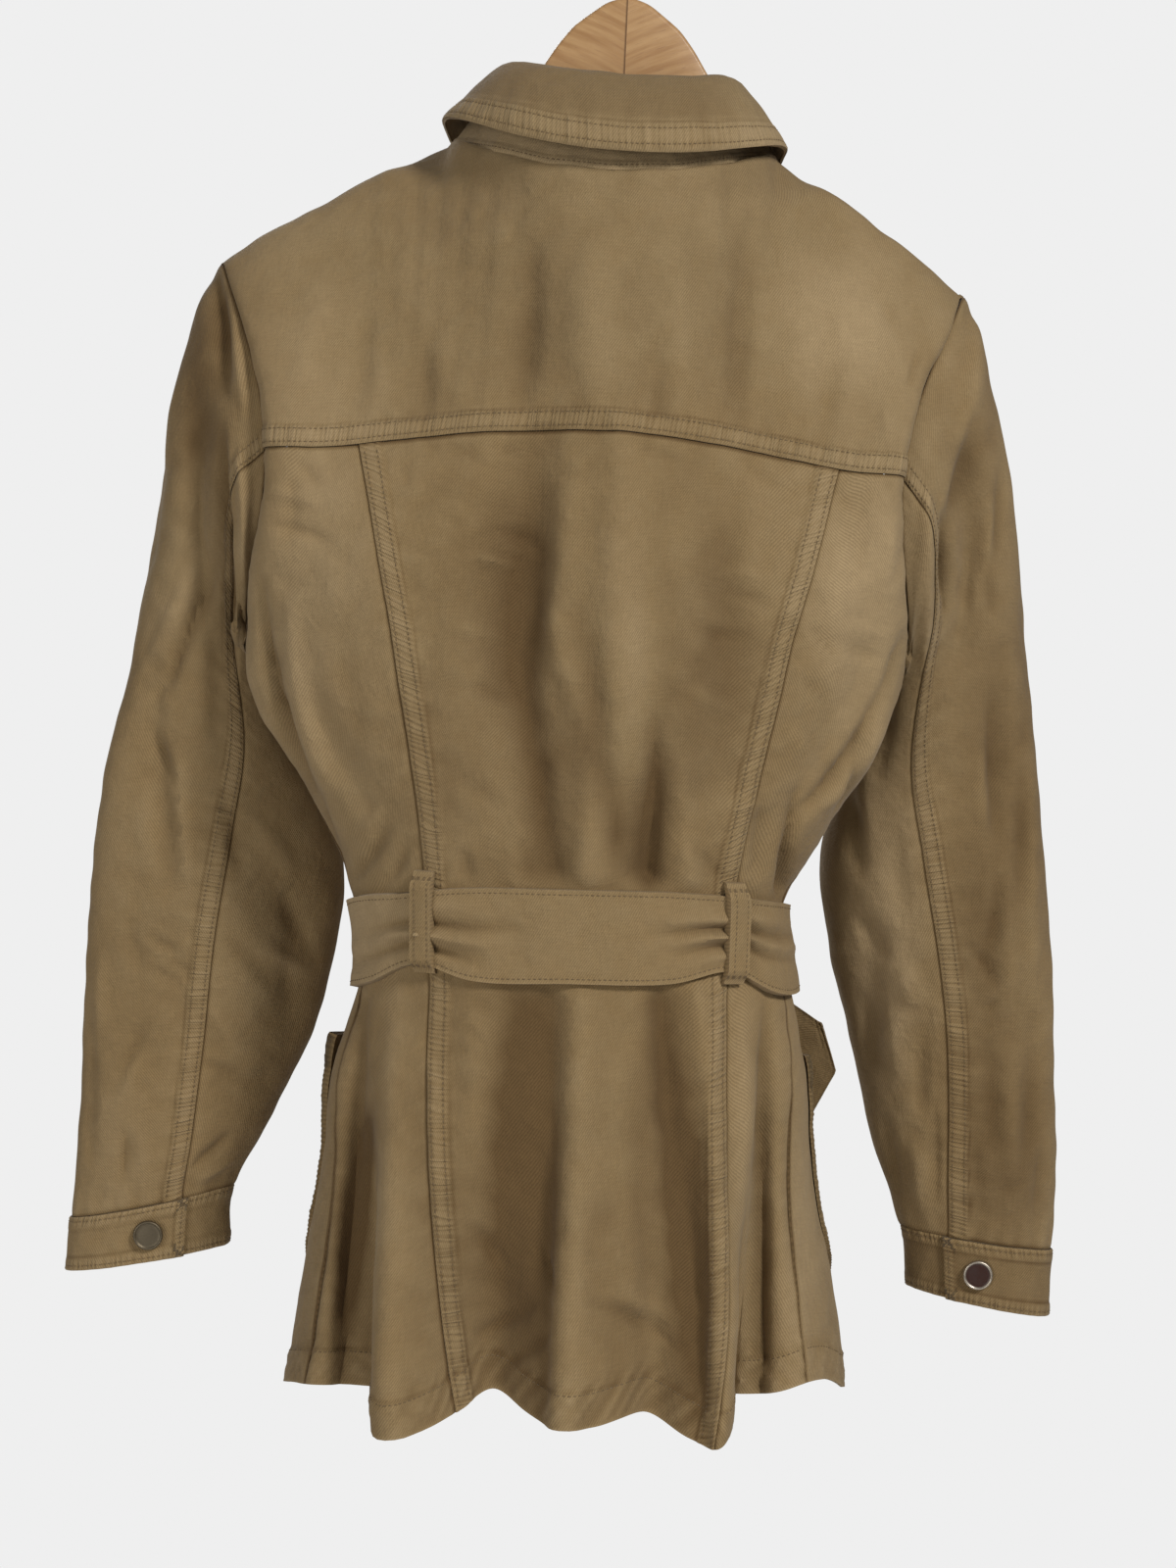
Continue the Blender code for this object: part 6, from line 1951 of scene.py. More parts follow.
    def placket(self) -> None:
        """The front band over the meeting of the fronts."""
        levels = np.linspace(float(self.form.hem(180.0)) + 0.001, ARMPIT_Z + UPPER - 0.002, 300)
        middle, aside = (self.form.point(np.full(levels.shape, turn), levels, False) for turn in (180.0, 177.0))
        half = self.placket_width / 2 / np.linalg.norm(aside - middle, axis=1) * 3.0
        shares = graded(self.placket_width, 0.0011, 0.0018, 0.007, 0.007) * 2 - 1
        angle, level = together(180.0 + half[:, None] * shares, levels[:, None])
        piece = self.cloth("placket_cloth", angle, level, False, 0.0004 + CLOTH)
        crumple(piece, FRONT_CREASES, self.free(angle, level) * 0.5)
        band = FelledBand(width=0.0062, lift=0.0004, rows=(0.0042,), rise=0.0003)
        band.along(piece, {Edge.FIRST: 61, Edge.LAST: 62}, self.thread)
        self.bench.cloth(piece, "front_placket", "hung", ("front_cloth_right",))


# --- sleeves, cuffs and buttons


@dataclass
class Sleeve(Assembly):
    """One sleeve in its two pieces, with its cuff and the cuff's button."""

    side: Side
    row: float = 0.0023
    fine: float = 0.0013
    coarse: float = 0.0040
    cuff_start: float = 84.0
    cuff_turn: float = 393.0
    cuff_lap: float = 0.0030
    cuff_row: float = 0.0028

    def cloth(self, name: str, ring: Array, run: Array, thickness: float = CLOTH) -> Cloth:
        """A sleeve piece as cloth, its first row at the cuff."""
        form = SleeveForm(self.side)
        return Cloth(f"{name}_cloth_{self.side.word}", form.point(ring, run)[::-1], form.middle(run)[::-1], thickness)

    def sewing(self) -> str:
        """The name of the stitches."""
        return f"sleeve_stitches_{self.side.word}"

    def pieces(self) -> None:
        """Builds the sleeve, its cuff and their stitches."""
        yoke_rise = (float(BodyForm().yoke(np.asarray(90.0))) - ARMPIT_Z) / UPPER
        first, last = (math.degrees(math.acos(2 * rise - 1)) for rise in (0.32, yoke_rise))
        runs = graded(SLEEVE_END, self.row, self.row, 0.0, 0.0) * SLEEVE_END
        back, front = (through(SLEEVE_SEAMS, name, runs) for name in ("back", "front"))
        settle = ease(runs / 0.10)
        seam_front = -first + (front - 360.0 + first) * settle
        seam_back = last + (back - last) * settle
        upper = graded(0.260, self.fine, self.coarse, 0.006, 0.015)
        under = graded(0.150, self.fine, self.coarse, 0.010, 0.006)
        self.half("upper", runs, seam_front, seam_back, upper)
        self.half("under", runs, seam_back, seam_front + 360.0, under)
        self.cuff()
        self.cap()

    def half(self, name: str, runs: Array, start: Array, end: Array, shares: Array) -> None:
        """The upper or the under sleeve.

        Args:
            name: "upper" or "under".
            runs: the way down of each row.
            start: the ring angle of its first column at each row.
            end: the same for its last column.
            shares: the shares of its columns.
        """
        ring, run = together(start[:, None] + (end - start)[:, None] * shares, runs[:, None])
        piece = self.cloth(f"{name}_sleeve", ring, run)
        creases = {Face.BACK: SLEEVE_CREASES[self.side], Face.FRONT: mirrored(SLEEVE_FRONT, self.side)}
        crumple(piece, creases, ease(piece.away[Edge.TOP] / 0.012))
        tucked(piece, {Edge.TOP: 71}, 0.0005)
        if name == "upper":
            band = FelledBand(width=0.0112, rows=(0.0022, 0.0092), pitch=0.0029)
            band.along(piece, {Edge.LAST: 72})
            tucked(piece, {Edge.FIRST: 73}, 0.0003)
            self.thread.rows(piece, (Edge.LAST,), band.rows)
        else:
            tucked(piece, {Edge.FIRST: 74})
            tucked(piece, {Edge.LAST: 75}, 0.0003)
        away = piece.away[Edge.LOW]
        gather = Ripple(76, 0.011).at(piece.run(Edge.LOW))
        piece.relief += 0.0007 * gather * bell(away - 0.002, 0.016) * ease(away / 0.003)
        # Painted light and shade on the gathers, and a painted shadow line where the sleeve runs into the cuff.
        piece.wear += 0.22 * gather * bell(away, 0.012) - 0.8 * bell(away, 0.0013)
        self.bench.cloth(piece, f"sleeve_{name}_{self.side.word}", "hung", ("back_yoke_cloth",))

    def cuff(self) -> None:
        """The cuff, which laps over itself at the back seam."""
        turn = graded(0.235, 0.0012, 0.0018, 0.003, 0.010) * self.cuff_turn
        length = CUFF_END - SLEEVE_END
        runs = SLEEVE_END + SEAM + graded(length, 0.0011, 0.0022, 0.008, 0.008) * (length - SEAM)
        piece = self.cloth("cuff", *np.meshgrid(self.cuff_start + turn, runs), DOUBLE_CLOTH)
        piece.relief += self.cuff_lap * ease((turn - 230.0) / 110.0)[None, :]
        piece.relief += piece.uneven() * 0.8
        band = FelledBand(width=0.0075, lift=0.0003, rows=(0.0026,), rise=0.00042, pitch=0.0034)
        band.along(piece, {Edge.LOW: 81, Edge.TOP: 82})
        FelledBand(width=0.006, lift=0.0002, rows=(0.0030,), rise=0.00025).along(piece, {Edge.LAST: 83})
        piece.wear += 0.35 * bell(piece.away[Edge.LOW], 0.0012) + 0.25 * bell(piece.away[Edge.TOP], 0.0012)
        # Painted shade: the right cuff is painted darker all over.
        piece.wear -= 0.40 if self.side is Side.RIGHT else 0.0
        self.thread.rows(piece, (Edge.LOW, Edge.TOP, Edge.LAST), (self.cuff_row,), 0.002)
        word = self.side.word
        self.bench.cloth(piece, f"cuff_{word}", "stretched", (f"upper_sleeve_cloth_{word}",))

    def cap(self) -> None:
        """The button on the cuff's lap."""
        form, run = SleeveForm(self.side), 0.590
        points = form.point(np.array([92.0, 92.05, 92.0]), np.array([run, run, run + 1e-4]))
        out = facing(points, points[0] - form.middle(np.array([run]))[0])
        seat = points[0] + out * (self.cuff_lap + SEAM + 0.0004)
        rimmed = self.side is Side.RIGHT
        metal, slot = (self.bench.enamel, "brown_enamel") if rimmed else (self.bench.nickel, "dull_nickel")
        word = self.side.word
        Button(f"cuff_cap_{word}", seat, out, rimmed).build(self.bench, metal, slot, f"cuff_button_{word}")


def facing(points: Array, out: Array) -> Array:
    """The way out of a surface through three of its points, on the side of a rough direction."""
    way = unit(np.cross(points[1] - points[0], points[2] - points[0]))
    return way if np.dot(way, out) > 0 else -way


@dataclass
class Button:
    """A round metal jeans button: a rolled rim round a shallow dished face with a plain boss."""

    name: str
    place: Array
    way: Array
    rimmed: bool = False
    radius: float = 0.00875
    height: float = 0.0032
    sides: int = 40
    rim: tuple[float, float] = (0.82, 0.5)
    profile: tuple[tuple[float, float], ...] = (
        (0.80, 0.0), (0.90, 0.10), (0.97, 0.22), (1.0, 0.42), (1.0, 0.62), (0.985, 0.80), (0.95, 0.93),
        (0.91, 1.0), (0.87, 0.98), (0.84, 0.90), (0.80, 0.78), (0.74, 0.74), (0.60, 0.76), (0.40, 0.80),
        (0.20, 0.82), (0.08, 0.83),
    )  # fmt: skip

    def build(self, bench: Bench, metal: Material, slot: str, node: str) -> None:
        """Turns the button's profile round its axis and joins it to the frame.

        Args:
            bench: where the piece is finished.
            metal: its material.
            slot: its slot.
            node: the node that it replaces.
        """
        up = unit(self.way)
        across = unit(np.cross(up, np.array([0.0, 0.0, 1.0])))
        turn = (np.arange(self.sides) * 2 * math.pi / self.sides)[:, None]
        spokes = np.cos(turn) * across + np.sin(turn) * np.cross(up, across)
        tall = up * self.height
        rings = [self.place + spokes * reach * self.radius + tall * height for reach, height in self.profile]
        points = np.concatenate([*rings, [self.place], [self.place + tall * self.profile[-1][1]]])
        bare = [float(self.rimmed and reach > self.rim[0] and height > self.rim[1]) for reach, height in self.profile]
        foot, last, sides = len(points) - 2, (len(rings) - 1) * self.sides, self.sides
        ring = [(k, (k + 1) % sides) for k in range(sides)]
        faces = [(a + k, a + b, a + sides + b, a + sides + k) for k, b in ring for a in range(0, last, sides)]
        faces += [(foot, b, k) for k, b in ring] + [(foot + 1, last + k, last + b) for k, b in ring]
        wear = np.append(np.repeat(bare, self.sides), (0.0, 0.0))
        bench.join(shaped(self.name, points, faces, metal, {"wear": wear}), slot, (node,))


@dataclass
class FrontButtons(Assembly):
    """The six buttons down the front band."""

    levels: tuple[float, ...] = (-0.335, -0.412, -0.480, -0.545, -0.680, -0.760)

    def pieces(self) -> None:
        """Seats each button on the band."""
        for number, level in enumerate(self.levels, 1):
            places = np.array([180.0, 180.1, 180.0]), np.array([level, level, level + 1e-4])
            points = BodyForm().point(*places, False)
            out = facing(points, np.array([0.0, -1.0, 0.0]))
            seat = points[0] + out * (0.0010 + CLOTH + SEAM + 0.0003)
            button, node = Button(f"front_cap_{number}", seat, out), f"front_button_{number}"
            button.build(self.bench, self.bench.nickel, "dull_nickel", node)


# --- collar


@dataclass
class Collar(Assembly):
    """The stand round the neck and the fall that turns down over it."""

    stand_top: tuple[float, float, float] = (0.0650, 0.0480, -0.0500)
    stand_top_z: tuple[float, float, float] = (-0.1165, -0.1065, -0.1660)
    corner: float = 0.74
    fall_edge: tuple[float, float, float] = (0.0950, 0.0695, -0.0900)
    fall_edge_z: tuple[float, float, float] = (-0.1555, -0.1335, -0.2050)
    lean: float = 0.0038
    top_tilt: float = 0.0030
    curl: float = 0.0040
    stand_end: float = 172.0
    fall_end: float = 163.0

    @staticmethod
    def oval(turn: Array, sizes: Sequence[float], heights: Sequence[float], mid_x: float) -> Array:
        """A point of a neck ring, by its half width, back and front depths and its heights.

        Args:
            turn: turns round the neck, in radians.
            sizes: the half width, the depth behind and the depth in front.
            heights: the heights behind, at the sides and in front.
            mid_x: the ring's middle across.

        Returns:
            The points.
        """
        back, side = np.cos(turn) > 0, np.sin(turn) ** 2
        y = np.where(back, sizes[1], -sizes[2]) * np.cos(turn)
        z = np.where(back, heights[0], heights[2]) * (1 - side) + heights[1] * side
        return np.stack([mid_x + sizes[0] * np.sin(turn), y, z], -1)

    def path(self, turn: Array, rise: Array) -> Array:
        """The collar's middle surface, rise 0 to 1 up the stand and 1 to 2 down the fall.

        Args:
            turn: turns round the neck, in radians.
            rise: the way up the stand and down the fall.

        Returns:
            The points.
        """
        wave, swing = np.sin(turn), np.cos(turn)
        foot = BodyForm().neckline(turn) - np.array([0.0, 0.0, 0.0012])
        top = self.oval(turn, self.stand_top, self.stand_top_z, 0.0025)
        top[..., 0] += self.stand_top[0] * (signed_power(wave, self.corner) - wave) * (swing > 0)
        top[..., 2] += self.top_tilt * np.clip(wave, 0.0, 1.0) ** 0.7
        edge = self.oval(turn, self.fall_edge, self.fall_edge_z, 0.0045)
        edge[..., 2] += self.lean * (wave - 1.0) * (swing > -0.3)
        up, down = (np.clip(rise - start, 0.0, 1.0)[..., None] for start in (0.0, 1.0))
        outward = unit((edge - top) * np.array([1.0, 1.0, 0.0]))
        bulge = (0.0010 + 0.0050 * np.abs(swing) ** 1.5)[..., None]
        fall = top + (edge - top) * down + outward * bulge * np.sin(math.pi * down) ** 0.7
        return np.where(rise[..., None] <= 1.0, foot + (top - foot) * up, fall)

    def sewing(self) -> str:
        """The name of the stitches."""
        return "collar_stitches"

    def pieces(self) -> None:
        """Builds the stand, the fall and their stitches."""
        self.stand()
        self.fall()

    def stand(self) -> None:
        """The stand round the neck."""
        turns = np.radians(np.linspace(-self.stand_end, self.stand_end, 230))
        base = self.path(*np.meshgrid(turns, graded(0.050, 0.0012, 0.003, 0.012, 0.0) * 0.93))
        piece = Cloth("collar_stand_cloth", base, upright(base), DOUBLE_CLOTH, 0.0012)
        band = FelledBand(width=0.0044, lift=0.0008, rows=(0.0028,), gathered=0.4)
        band.along(piece, {Edge.LOW: 91})
        piece.relief += piece.uneven() * 0.5
        # Painted light: the whole stand is painted paler, against the shade under the fall.
        piece.wear += 0.75
        self.thread.rows(piece, (Edge.LOW,), band.rows)
        self.bench.cloth(piece, "collar_stand", "stretched", ("back_yoke_cloth",))

    def fall(self) -> None:
        """The fall, whose top row curls in over the stand's upper edge."""
        turns = np.radians(np.linspace(-self.fall_end, self.fall_end, 300))
        downs = graded(0.060, 0.0012, 0.0030, 0.004, 0.020)
        inward = np.stack([-np.sin(turns), -np.cos(turns), np.zeros(turns.shape)], -1)
        base = self.path(*np.meshgrid(turns, 1.0 + downs))
        base = base + bell(downs, 0.035)[:, None, None] * inward[None] * self.curl
        piece = Cloth("collar_fall_cloth", base[::-1], upright(base), DOUBLE_CLOTH, 0.0046)
        piece.relief += piece.uneven() * 0.9
        outer = FelledBand(
            width=0.0128, lift=0.0003, rows=(0.0024, 0.0102), pitch=0.0037, slant=-0.08, spill=0.06, gathered=0.8
        )
        outer.along(piece, {Edge.LOW: 92})
        ends = FelledBand(width=0.0060, lift=0.0002, rows=(0.0030,))
        ends.along(piece, {Edge.FIRST: 93, Edge.LAST: 94}, self.thread)
        away, (x, y) = piece.away[Edge.LOW], (piece.base[..., k] for k in (0, 1))
        # A paler worn outer edge, painted shade over the fall above its band, and painted light on the wearer's right
        # at the back.
        piece.wear += 0.45 * bell(away, 0.0012) - 0.38 * ease((away - 0.013) / 0.005)
        piece.wear += 0.5 * ease((-0.040 - x) / 0.030) * (y > 0)
        self.thread.rows(piece, (Edge.LOW,), outer.rows)
        self.bench.cloth(piece, "collar_fall", "folded", ("collar_stand_cloth",))


# --- belt

# Folds in the belt that run out sideways from a loop, in millimetres
GATHERS = table(
    "from_x height reach rise wide",
    (88, 0.58, -62, -1.9, 3.2), (88, 0.43, -50, 2, 2.8), (88, 0.25, -36, -2.4, 3), (88, 0.8, -30, 0.9, 3),
    (88, 0.3, 44, -2, 3.2), (88, 0.46, 40, 1.5, 3), (88, 0.6, 30, -1.7, 2.6), (-78.5, 0.56, 50, -2.2, 2.6),
    (-78.5, 0.45, 42, 1.8, 2.2), (-78.5, 0.34, 36, -2, 2.4), (-78.5, 0.68, 50, 1.4, 3), (-78.5, 0.2, 26, 1.2, 2.4),
    (-78.5, 0.61, -46, -2.5, 2.8), (-78.5, 0.5, -42, 1.6, 2.4), (-78.5, 0.38, -38, -2, 2.6),
    (-78.5, 0.77, -30, 1.2, 3),
)  # fmt: skip
# The knot's folds: the slope and the height of each line, its rise and its half width, in millimetres
KNOT_FOLDS = table(
    "slope offset rise wide",
    (0.55, 12, -2.2, 2), (0.55, -13, -2.2, 2), (-0.9, 0, 0.9, 7), (0.4, 4, 0.8, 3), (0.7, -5, -1, 1.8),
    (0.35, 19, -1.2, 1.8), (0.8, -20, -1.2, 1.8),
)  # fmt: skip
# How far a loop stands off the body along its length
LOOP_LIFTS = table(
    "run* lift*",
    (0, 2.2), (1.5, 2.4), (3.2, 5), (5.2, 7.6), (50, 7.6), (52, 5), (54.2, 2.4), (56, 2.2),
)  # fmt: skip


@dataclass
class Belt(Assembly):
    """The belt round the waist with its loops, knot and two hanging ends."""

    form: BodyForm = BodyForm()
    edge_row: float = 0.0026
    loop_width: float = 0.0105
    loop_length: float = 0.056
    gather_give: float = 560.0
    tail_curl: float = 0.0012
    knot_size: tuple[float, float, float] = (0.026, 0.0095, 0.026)
    knot_place: tuple[float, float, float] = (0.0075, -0.0807, -0.5960)
    knot_square: float = 0.7

    def sewing(self) -> str:
        """The name of the stitches."""
        return "belt_stitches"

    def pieces(self) -> None:
        """Builds the belt's pieces and their stitches."""
        self.band()
        self.loop(Side.LEFT, 0.0880, -0.003, -0.5525)
        self.loop(Side.RIGHT, -0.0785, -0.001, -0.5515)
        self.knot()
        self.tail("left", LEFT_TAIL, 0.0)
        self.tail("right", RIGHT_TAIL, 0.022)

    def band(self) -> None:
        """The band round the waist, gathered where the loops pinch it."""
        angle, share = np.meshgrid(np.linspace(-176.0, 176.0, 360), graded(0.050, 0.0011, 0.0017, 0.008, 0.008))
        top, low = (through(BELT_EDGES, name, angle) for name in ("top", "low"))
        base = self.form.point(angle, low + (top - low) * share, True)
        piece = Cloth("belt_cloth", base, upright(base, 0.007), DOUBLE_CLOTH)
        front, behind, x = ease((np.abs(angle) - 166.0) / 6.0), base[..., 1] > 0, base[..., 0] * MM
        piece.relief += DOUBLE_CLOTH + 0.0022 + 0.0012 * np.sin(math.pi * share) + 0.0022 * front
        for gather in GATHERS:
            out = (x - gather.from_x) / gather.reach
            held = np.clip(out, 0.0, 1.0)
            near = np.clip(1.0 - out, 0.0, 1.0) ** 0.8 * ease((out + 0.06) / 0.05) * behind
            away = (share - gather.height - 0.10 * held * (gather.height - 0.5)) * BELT_WIDTH * MM
            piece.relief += gather.rise / self.gather_give * near * bell(away, gather.wide * (1 + 0.8 * held))
            # Painted shade in the gathers' hollows and painted light on their ridges.
            piece.wear += (0.30 if gather.rise > 0 else -0.95) * near * bell(away, gather.wide * 0.8)
        piece.relief += piece.uneven() * 0.9
        for edge, seed in ((Edge.LOW, 101), (Edge.TOP, 102)):
            ripple, past = Ripple(seed, 0.0075).at(piece.run(edge)), piece.away[edge] - self.edge_row
            piece.relief += (0.0002 * ripple - 0.0002) * bell(past, 0.0016)
            # Painted light and shade on the small ripples along the edge rows.
            piece.wear += 0.10 * ripple * bell(past, 0.0022)
            self.thread.rows(piece, (edge,), (self.edge_row,))
        # A little paler all over and much paler towards the wearer's left on the back; paler worn edges at the top
        # and the bottom.
        piece.wear += 0.08 + 0.9 * ease((x - 60.0) / 80.0) * behind
        piece.wear += 0.20 * bell(piece.away[Edge.TOP], 0.0010) + 0.30 * bell(piece.away[Edge.LOW], 0.0010)
        self.bench.cloth(piece, "belt_band", "gathered", ("loop_cloth_left", "loop_cloth_right"))

    def loop(self, side: Side, middle: float, lean: float, top: float) -> None:
        """A belt loop over a princess seam, tacked at both ends.

        Args:
            side: the side that it is on.
            middle: its place across the back at its top.
            lean: how far it leans to the side down its length.
            top: the height of its upper end.
        """
        shares = np.linspace(0.0, 1.0, 60)
        levels = top - self.loop_length + self.loop_length * shares
        runs, lifts = np.array(LOOP_LIFTS).T
        lift = np.interp(shares, runs / self.loop_length, lifts)
        lift = np.convolve(np.pad(lift, 2, mode="edge"), np.ones(5) / 5, mode="valid")
        x = middle + lean * (top - levels) / self.loop_length
        half = graded(self.loop_width, 0.0008, 0.0011, 0.003, 0.003) - 0.5
        across = half * self.loop_width
        x, z = together(x[:, None] + across, levels[:, None])
        base = self.form.point(self.form.angle_at(x, z), z, True)
        piece = Cloth(f"loop_cloth_{side.word}", base, upright(base), CLOTH)
        piece.relief += lift[:, None] + CLOTH + 0.0003 * np.cos(half * 2.6)
        piece.relief -= 0.00025 * (bell(across - 0.0035, 0.0007) + bell(across + 0.0035, 0.0007))
        piece.wear += 0.25 * bell(np.abs(across) - self.loop_width / 2, 0.0008)
        for end in (0.0, 1.0):
            piece.wear += 0.2 * bell(shares[:, None] - end, 0.04)
        self.thread.rows(piece, (Edge.FIRST,), (0.0018, self.loop_width - 0.0018), 0.003)
        for row in (0.0030, 0.0036, 0.0042):
            self.thread.rows(piece, (Edge.LOW, Edge.TOP), (row,), 0.0006)
        self.bench.cloth(piece, f"belt_loop_{side.word}", "stretched", ("centre_back_cloth",))

    def knot(self) -> None:
        """The belt's knot: a soft folded form, open to the body behind it."""
        centre = np.array(self.knot_place)
        turn, lift = np.meshgrid(np.radians(np.linspace(-100.0, 100.0, 70)), np.radians(np.linspace(-84.0, 84.0, 60)))
        flat, tall, wide, deep = (
            signed_power(wave, self.knot_square) for wave in (np.cos(lift), np.sin(lift), np.sin(turn), np.cos(turn))
        )
        base = centre + np.array(self.knot_size) * np.stack([flat * wide, -flat * deep, tall], -1) * 0.985
        piece = Cloth("knot_cloth", base, np.broadcast_to(centre, base.shape), DOUBLE_CLOTH)
        x, _, z = np.moveaxis((base - centre) * MM, -1, 0)
        hold = np.clip(np.cos(lift), 0.0, 1.0) ** 0.5
        for slope, offset, rise, wide in KNOT_FOLDS:
            away = (z - slope * x - offset) / math.hypot(1.0, slope)
            piece.relief += rise / MM * bell(away, wide) * hold
            # Painted light on the folds' ridges, painted shade in their hollows.
            piece.wear += 0.25 * np.sign(rise) * bell(away, wide)
        self.bench.cloth(piece, "belt_knot", "folded", ("belt_cloth",))

    def tail(self, word: str, path: Sequence[NamedTuple], chamfer: float) -> None:
        """A hanging end of the belt, with one corner cut off where it is mitred.

        Args:
            word: "left" or "right".
            path: its middle line.
            chamfer: how much is cut off its upper corner.
        """
        points, fine = np.array(path), np.linspace(0.0, 1.0, 90)
        shares = np.linspace(0.0, 1.0, len(points))
        line = np.stack([curve_at(shares, points[:, k], fine) for k in range(3)], -1)
        along = unit(np.gradient(line, axis=0))
        front = np.array([0.0, -1.0, 0.0])
        width = unit(np.cross(front, along)) * BELT_WIDTH / 2
        half = graded(BELT_WIDTH, 0.0011, 0.0022, 0.007, 0.007) * 2 - 1
        base = line[:, None, :] + width[:, None, :] * half[None, :, None]
        upper = half if width[-1, 2] > 0 else -half
        cut = chamfer * np.clip((upper - 0.16) / 0.84, 0.0, 1.0)
        near = np.clip((fine - 0.72) / 0.28, 0.0, 1.0) ** 1.2
        base -= along[:, None, :] * (cut[None, :] * near[:, None])[..., None]
        base[:, :, 1] += self.tail_curl * (half**2)[None, :]
        piece = Cloth(f"tail_cloth_{word}", base, base - front, DOUBLE_CLOTH, DOUBLE_CLOTH / 2)
        piece.relief += piece.uneven() * 0.8
        band = FelledBand(width=0.0058, lift=0.0002, rows=(0.0030,), rise=0.00028)
        band.along(piece, {Edge.FIRST: 111, Edge.LAST: 112, Edge.TOP: 113}, self.thread, 0.003)
        self.bench.cloth(piece, f"belt_tail_{word}", "hung", ("knot_cloth",))


# --- hanger

# The arm's arch from the mitre outward: its top and its lower edge
ARCH = table(
    "x* top* low*",
    (0, -56.3, -125), (12, -60, -124.5), (30, -74, -127), (38.5, -85, -130), (46.5, -98, -135), (56, -113, -143),
    (64, -142, -165), (82, -161.5, -187),
)  # fmt: skip
# The arm's height where the cloth lies on it
ARM_TALL = table("x* tall*", (100, 27), (116, 26), (134, 25), (152, 24), (170, 23), (186, 20))


@dataclass
class Hanger(Assembly):
    """A wooden hanger of two arms that meet in a mitre under a swan hook of bright wire."""

    thickness: float = 0.012
    rounding: float = 0.0042
    clear: float = 0.0012
    taper: float = 0.010
    wire_radius: float = 0.0018
    hook_radius: float = 0.0208
    hook_centre: float = -0.0190
    shank: tuple[tuple[float, float, float], ...] = ((0.0, 0.0, -0.0600), (0.0, 0.0, -0.0500), (0.0010, 0.0, -0.0455))

    def stations(self, side: Side) -> Array:
        """The arm's rows: its x, its top and its lower edge.

        Args:
            side: the arm's side.

        Returns:
            The rows.
        """
        rows = [tuple(point) for point in ARCH]
        share, rise = np.meshgrid(np.linspace(0.2, 1.0, 140) * side.value, np.linspace(0.8, 1.0, 60))
        cloth = np.concatenate([BodyForm().upper(share, rise, back).reshape(-1, 3) for back in (True, False)])
        cloth = cloth[np.abs(cloth[:, 1]) < self.thickness / 2 + CLOTH]
        for x, tall in ARM_TALL:
            near = cloth[np.abs(cloth[:, 0] - side.value * x) < 0.003]
            top = float(near[:, 2].min()) - CLOTH - self.clear
            rows.append((x, top, top - tall))
        return np.array(rows)

    def section(self) -> list[tuple[float, ...]]:
        """The corners of the arm's section, each with the offsets of its rounding, as shares.

        Returns:
            The corners in order.
        """
        corner = np.radians(np.linspace(0.0, 90.0, 5))
        rows = []
        for a, b in ((1, 1), (-1, 1), (-1, -1), (1, -1)):
            turns = corner if a * b > 0 else corner[::-1]
            rows += [(a, b, a * (math.cos(t) - 1), b * (math.sin(t) - 1)) for t in turns]
        return rows

    def arm(self, side: Side) -> None:
        """One arm: a rounded section swept from the mitre to the tip, with its grain along it.

        Args:
            side: the arm's side.
        """
        rows, section = self.stations(side), self.section()
        knots = np.concatenate([[0.0], np.cumsum(np.hypot(np.diff(rows[:, 0]), np.diff(rows[:, 1])))])
        fine = np.linspace(0.0, knots[-1], 110)
        x, top, low = (np.interp(fine, knots, rows[:, k]) for k in range(3))
        for _ in range(3):
            for line in (x, top, low):
                line[1:-1] = (line[:-2] + 2 * line[1:-1] + line[2:]) / 4
        x[0] = 0.0
        taper = 1.0 - 0.55 * ease((fine - fine[-1] + self.taper) / self.taper)
        shift = 0.3 if side is Side.RIGHT else 0.0
        points, chart = [], []
        for k in range(len(fine)):
            centre, half = (top[k] + low[k]) / 2, (top[k] - low[k]) / 2
            deep = self.thickness / 2 * taper[k] ** 0.5
            edge = min(self.rounding, half * 0.9, deep * 0.9)
            tall = half * (taper[k] if k > 100 else 1.0)
            for a, b, off_y, off_z in section:
                y, z = a * deep + off_y * edge, b * tall + off_z * edge
                points.append((side.value * x[k], y, centre + z))
                chart.append((fine[k] * 0.9 + shift, centre * 0.25 + z + y * 0.8))
        count, last = len(section), len(fine) - 1
        ring = [(j, (j + 1) % count) for j in range(count)]
        faces = [
            (k + a, k + b, k + b + count, k + a + count) for k in range(0, last * count, count) for a, b in ring
        ]
        for k, step in ((0, -1), (last * count, 1)):
            points.append(np.mean(points[k : k + count], axis=0))
            chart.append(chart[k])
            faces += [(len(points) - 1, *(k + j for j in pair[::step])) for pair in ring]
        if side is Side.RIGHT:
            faces = [face[::-1] for face in faces]
        name, wear = f"wood_arm_{side.word}", np.zeros(len(points))
        piece = shaped(name, np.array(points), faces, self.bench.wood, {"wear": wear}, np.array(chart))
        self.bench.join(piece, "beech", (f"hanger_arm_{side.word}",))

    def pieces(self) -> None:
        """Builds both arms and the hook."""
        for side in Side:
            self.arm(side)
        turn = np.radians(np.linspace(-78.0, 205.0, 72))
        ring = np.stack([np.cos(turn), np.zeros(72), np.sin(turn)], -1) * self.hook_radius
        ring[:, 2] += self.hook_centre
        hook = wire("hook_wire", np.concatenate([self.shank, ring]), self.wire_radius, self.bench.steel)
        self.bench.join(hook, "bright_steel", ("hanger_hook",))


# --- studio


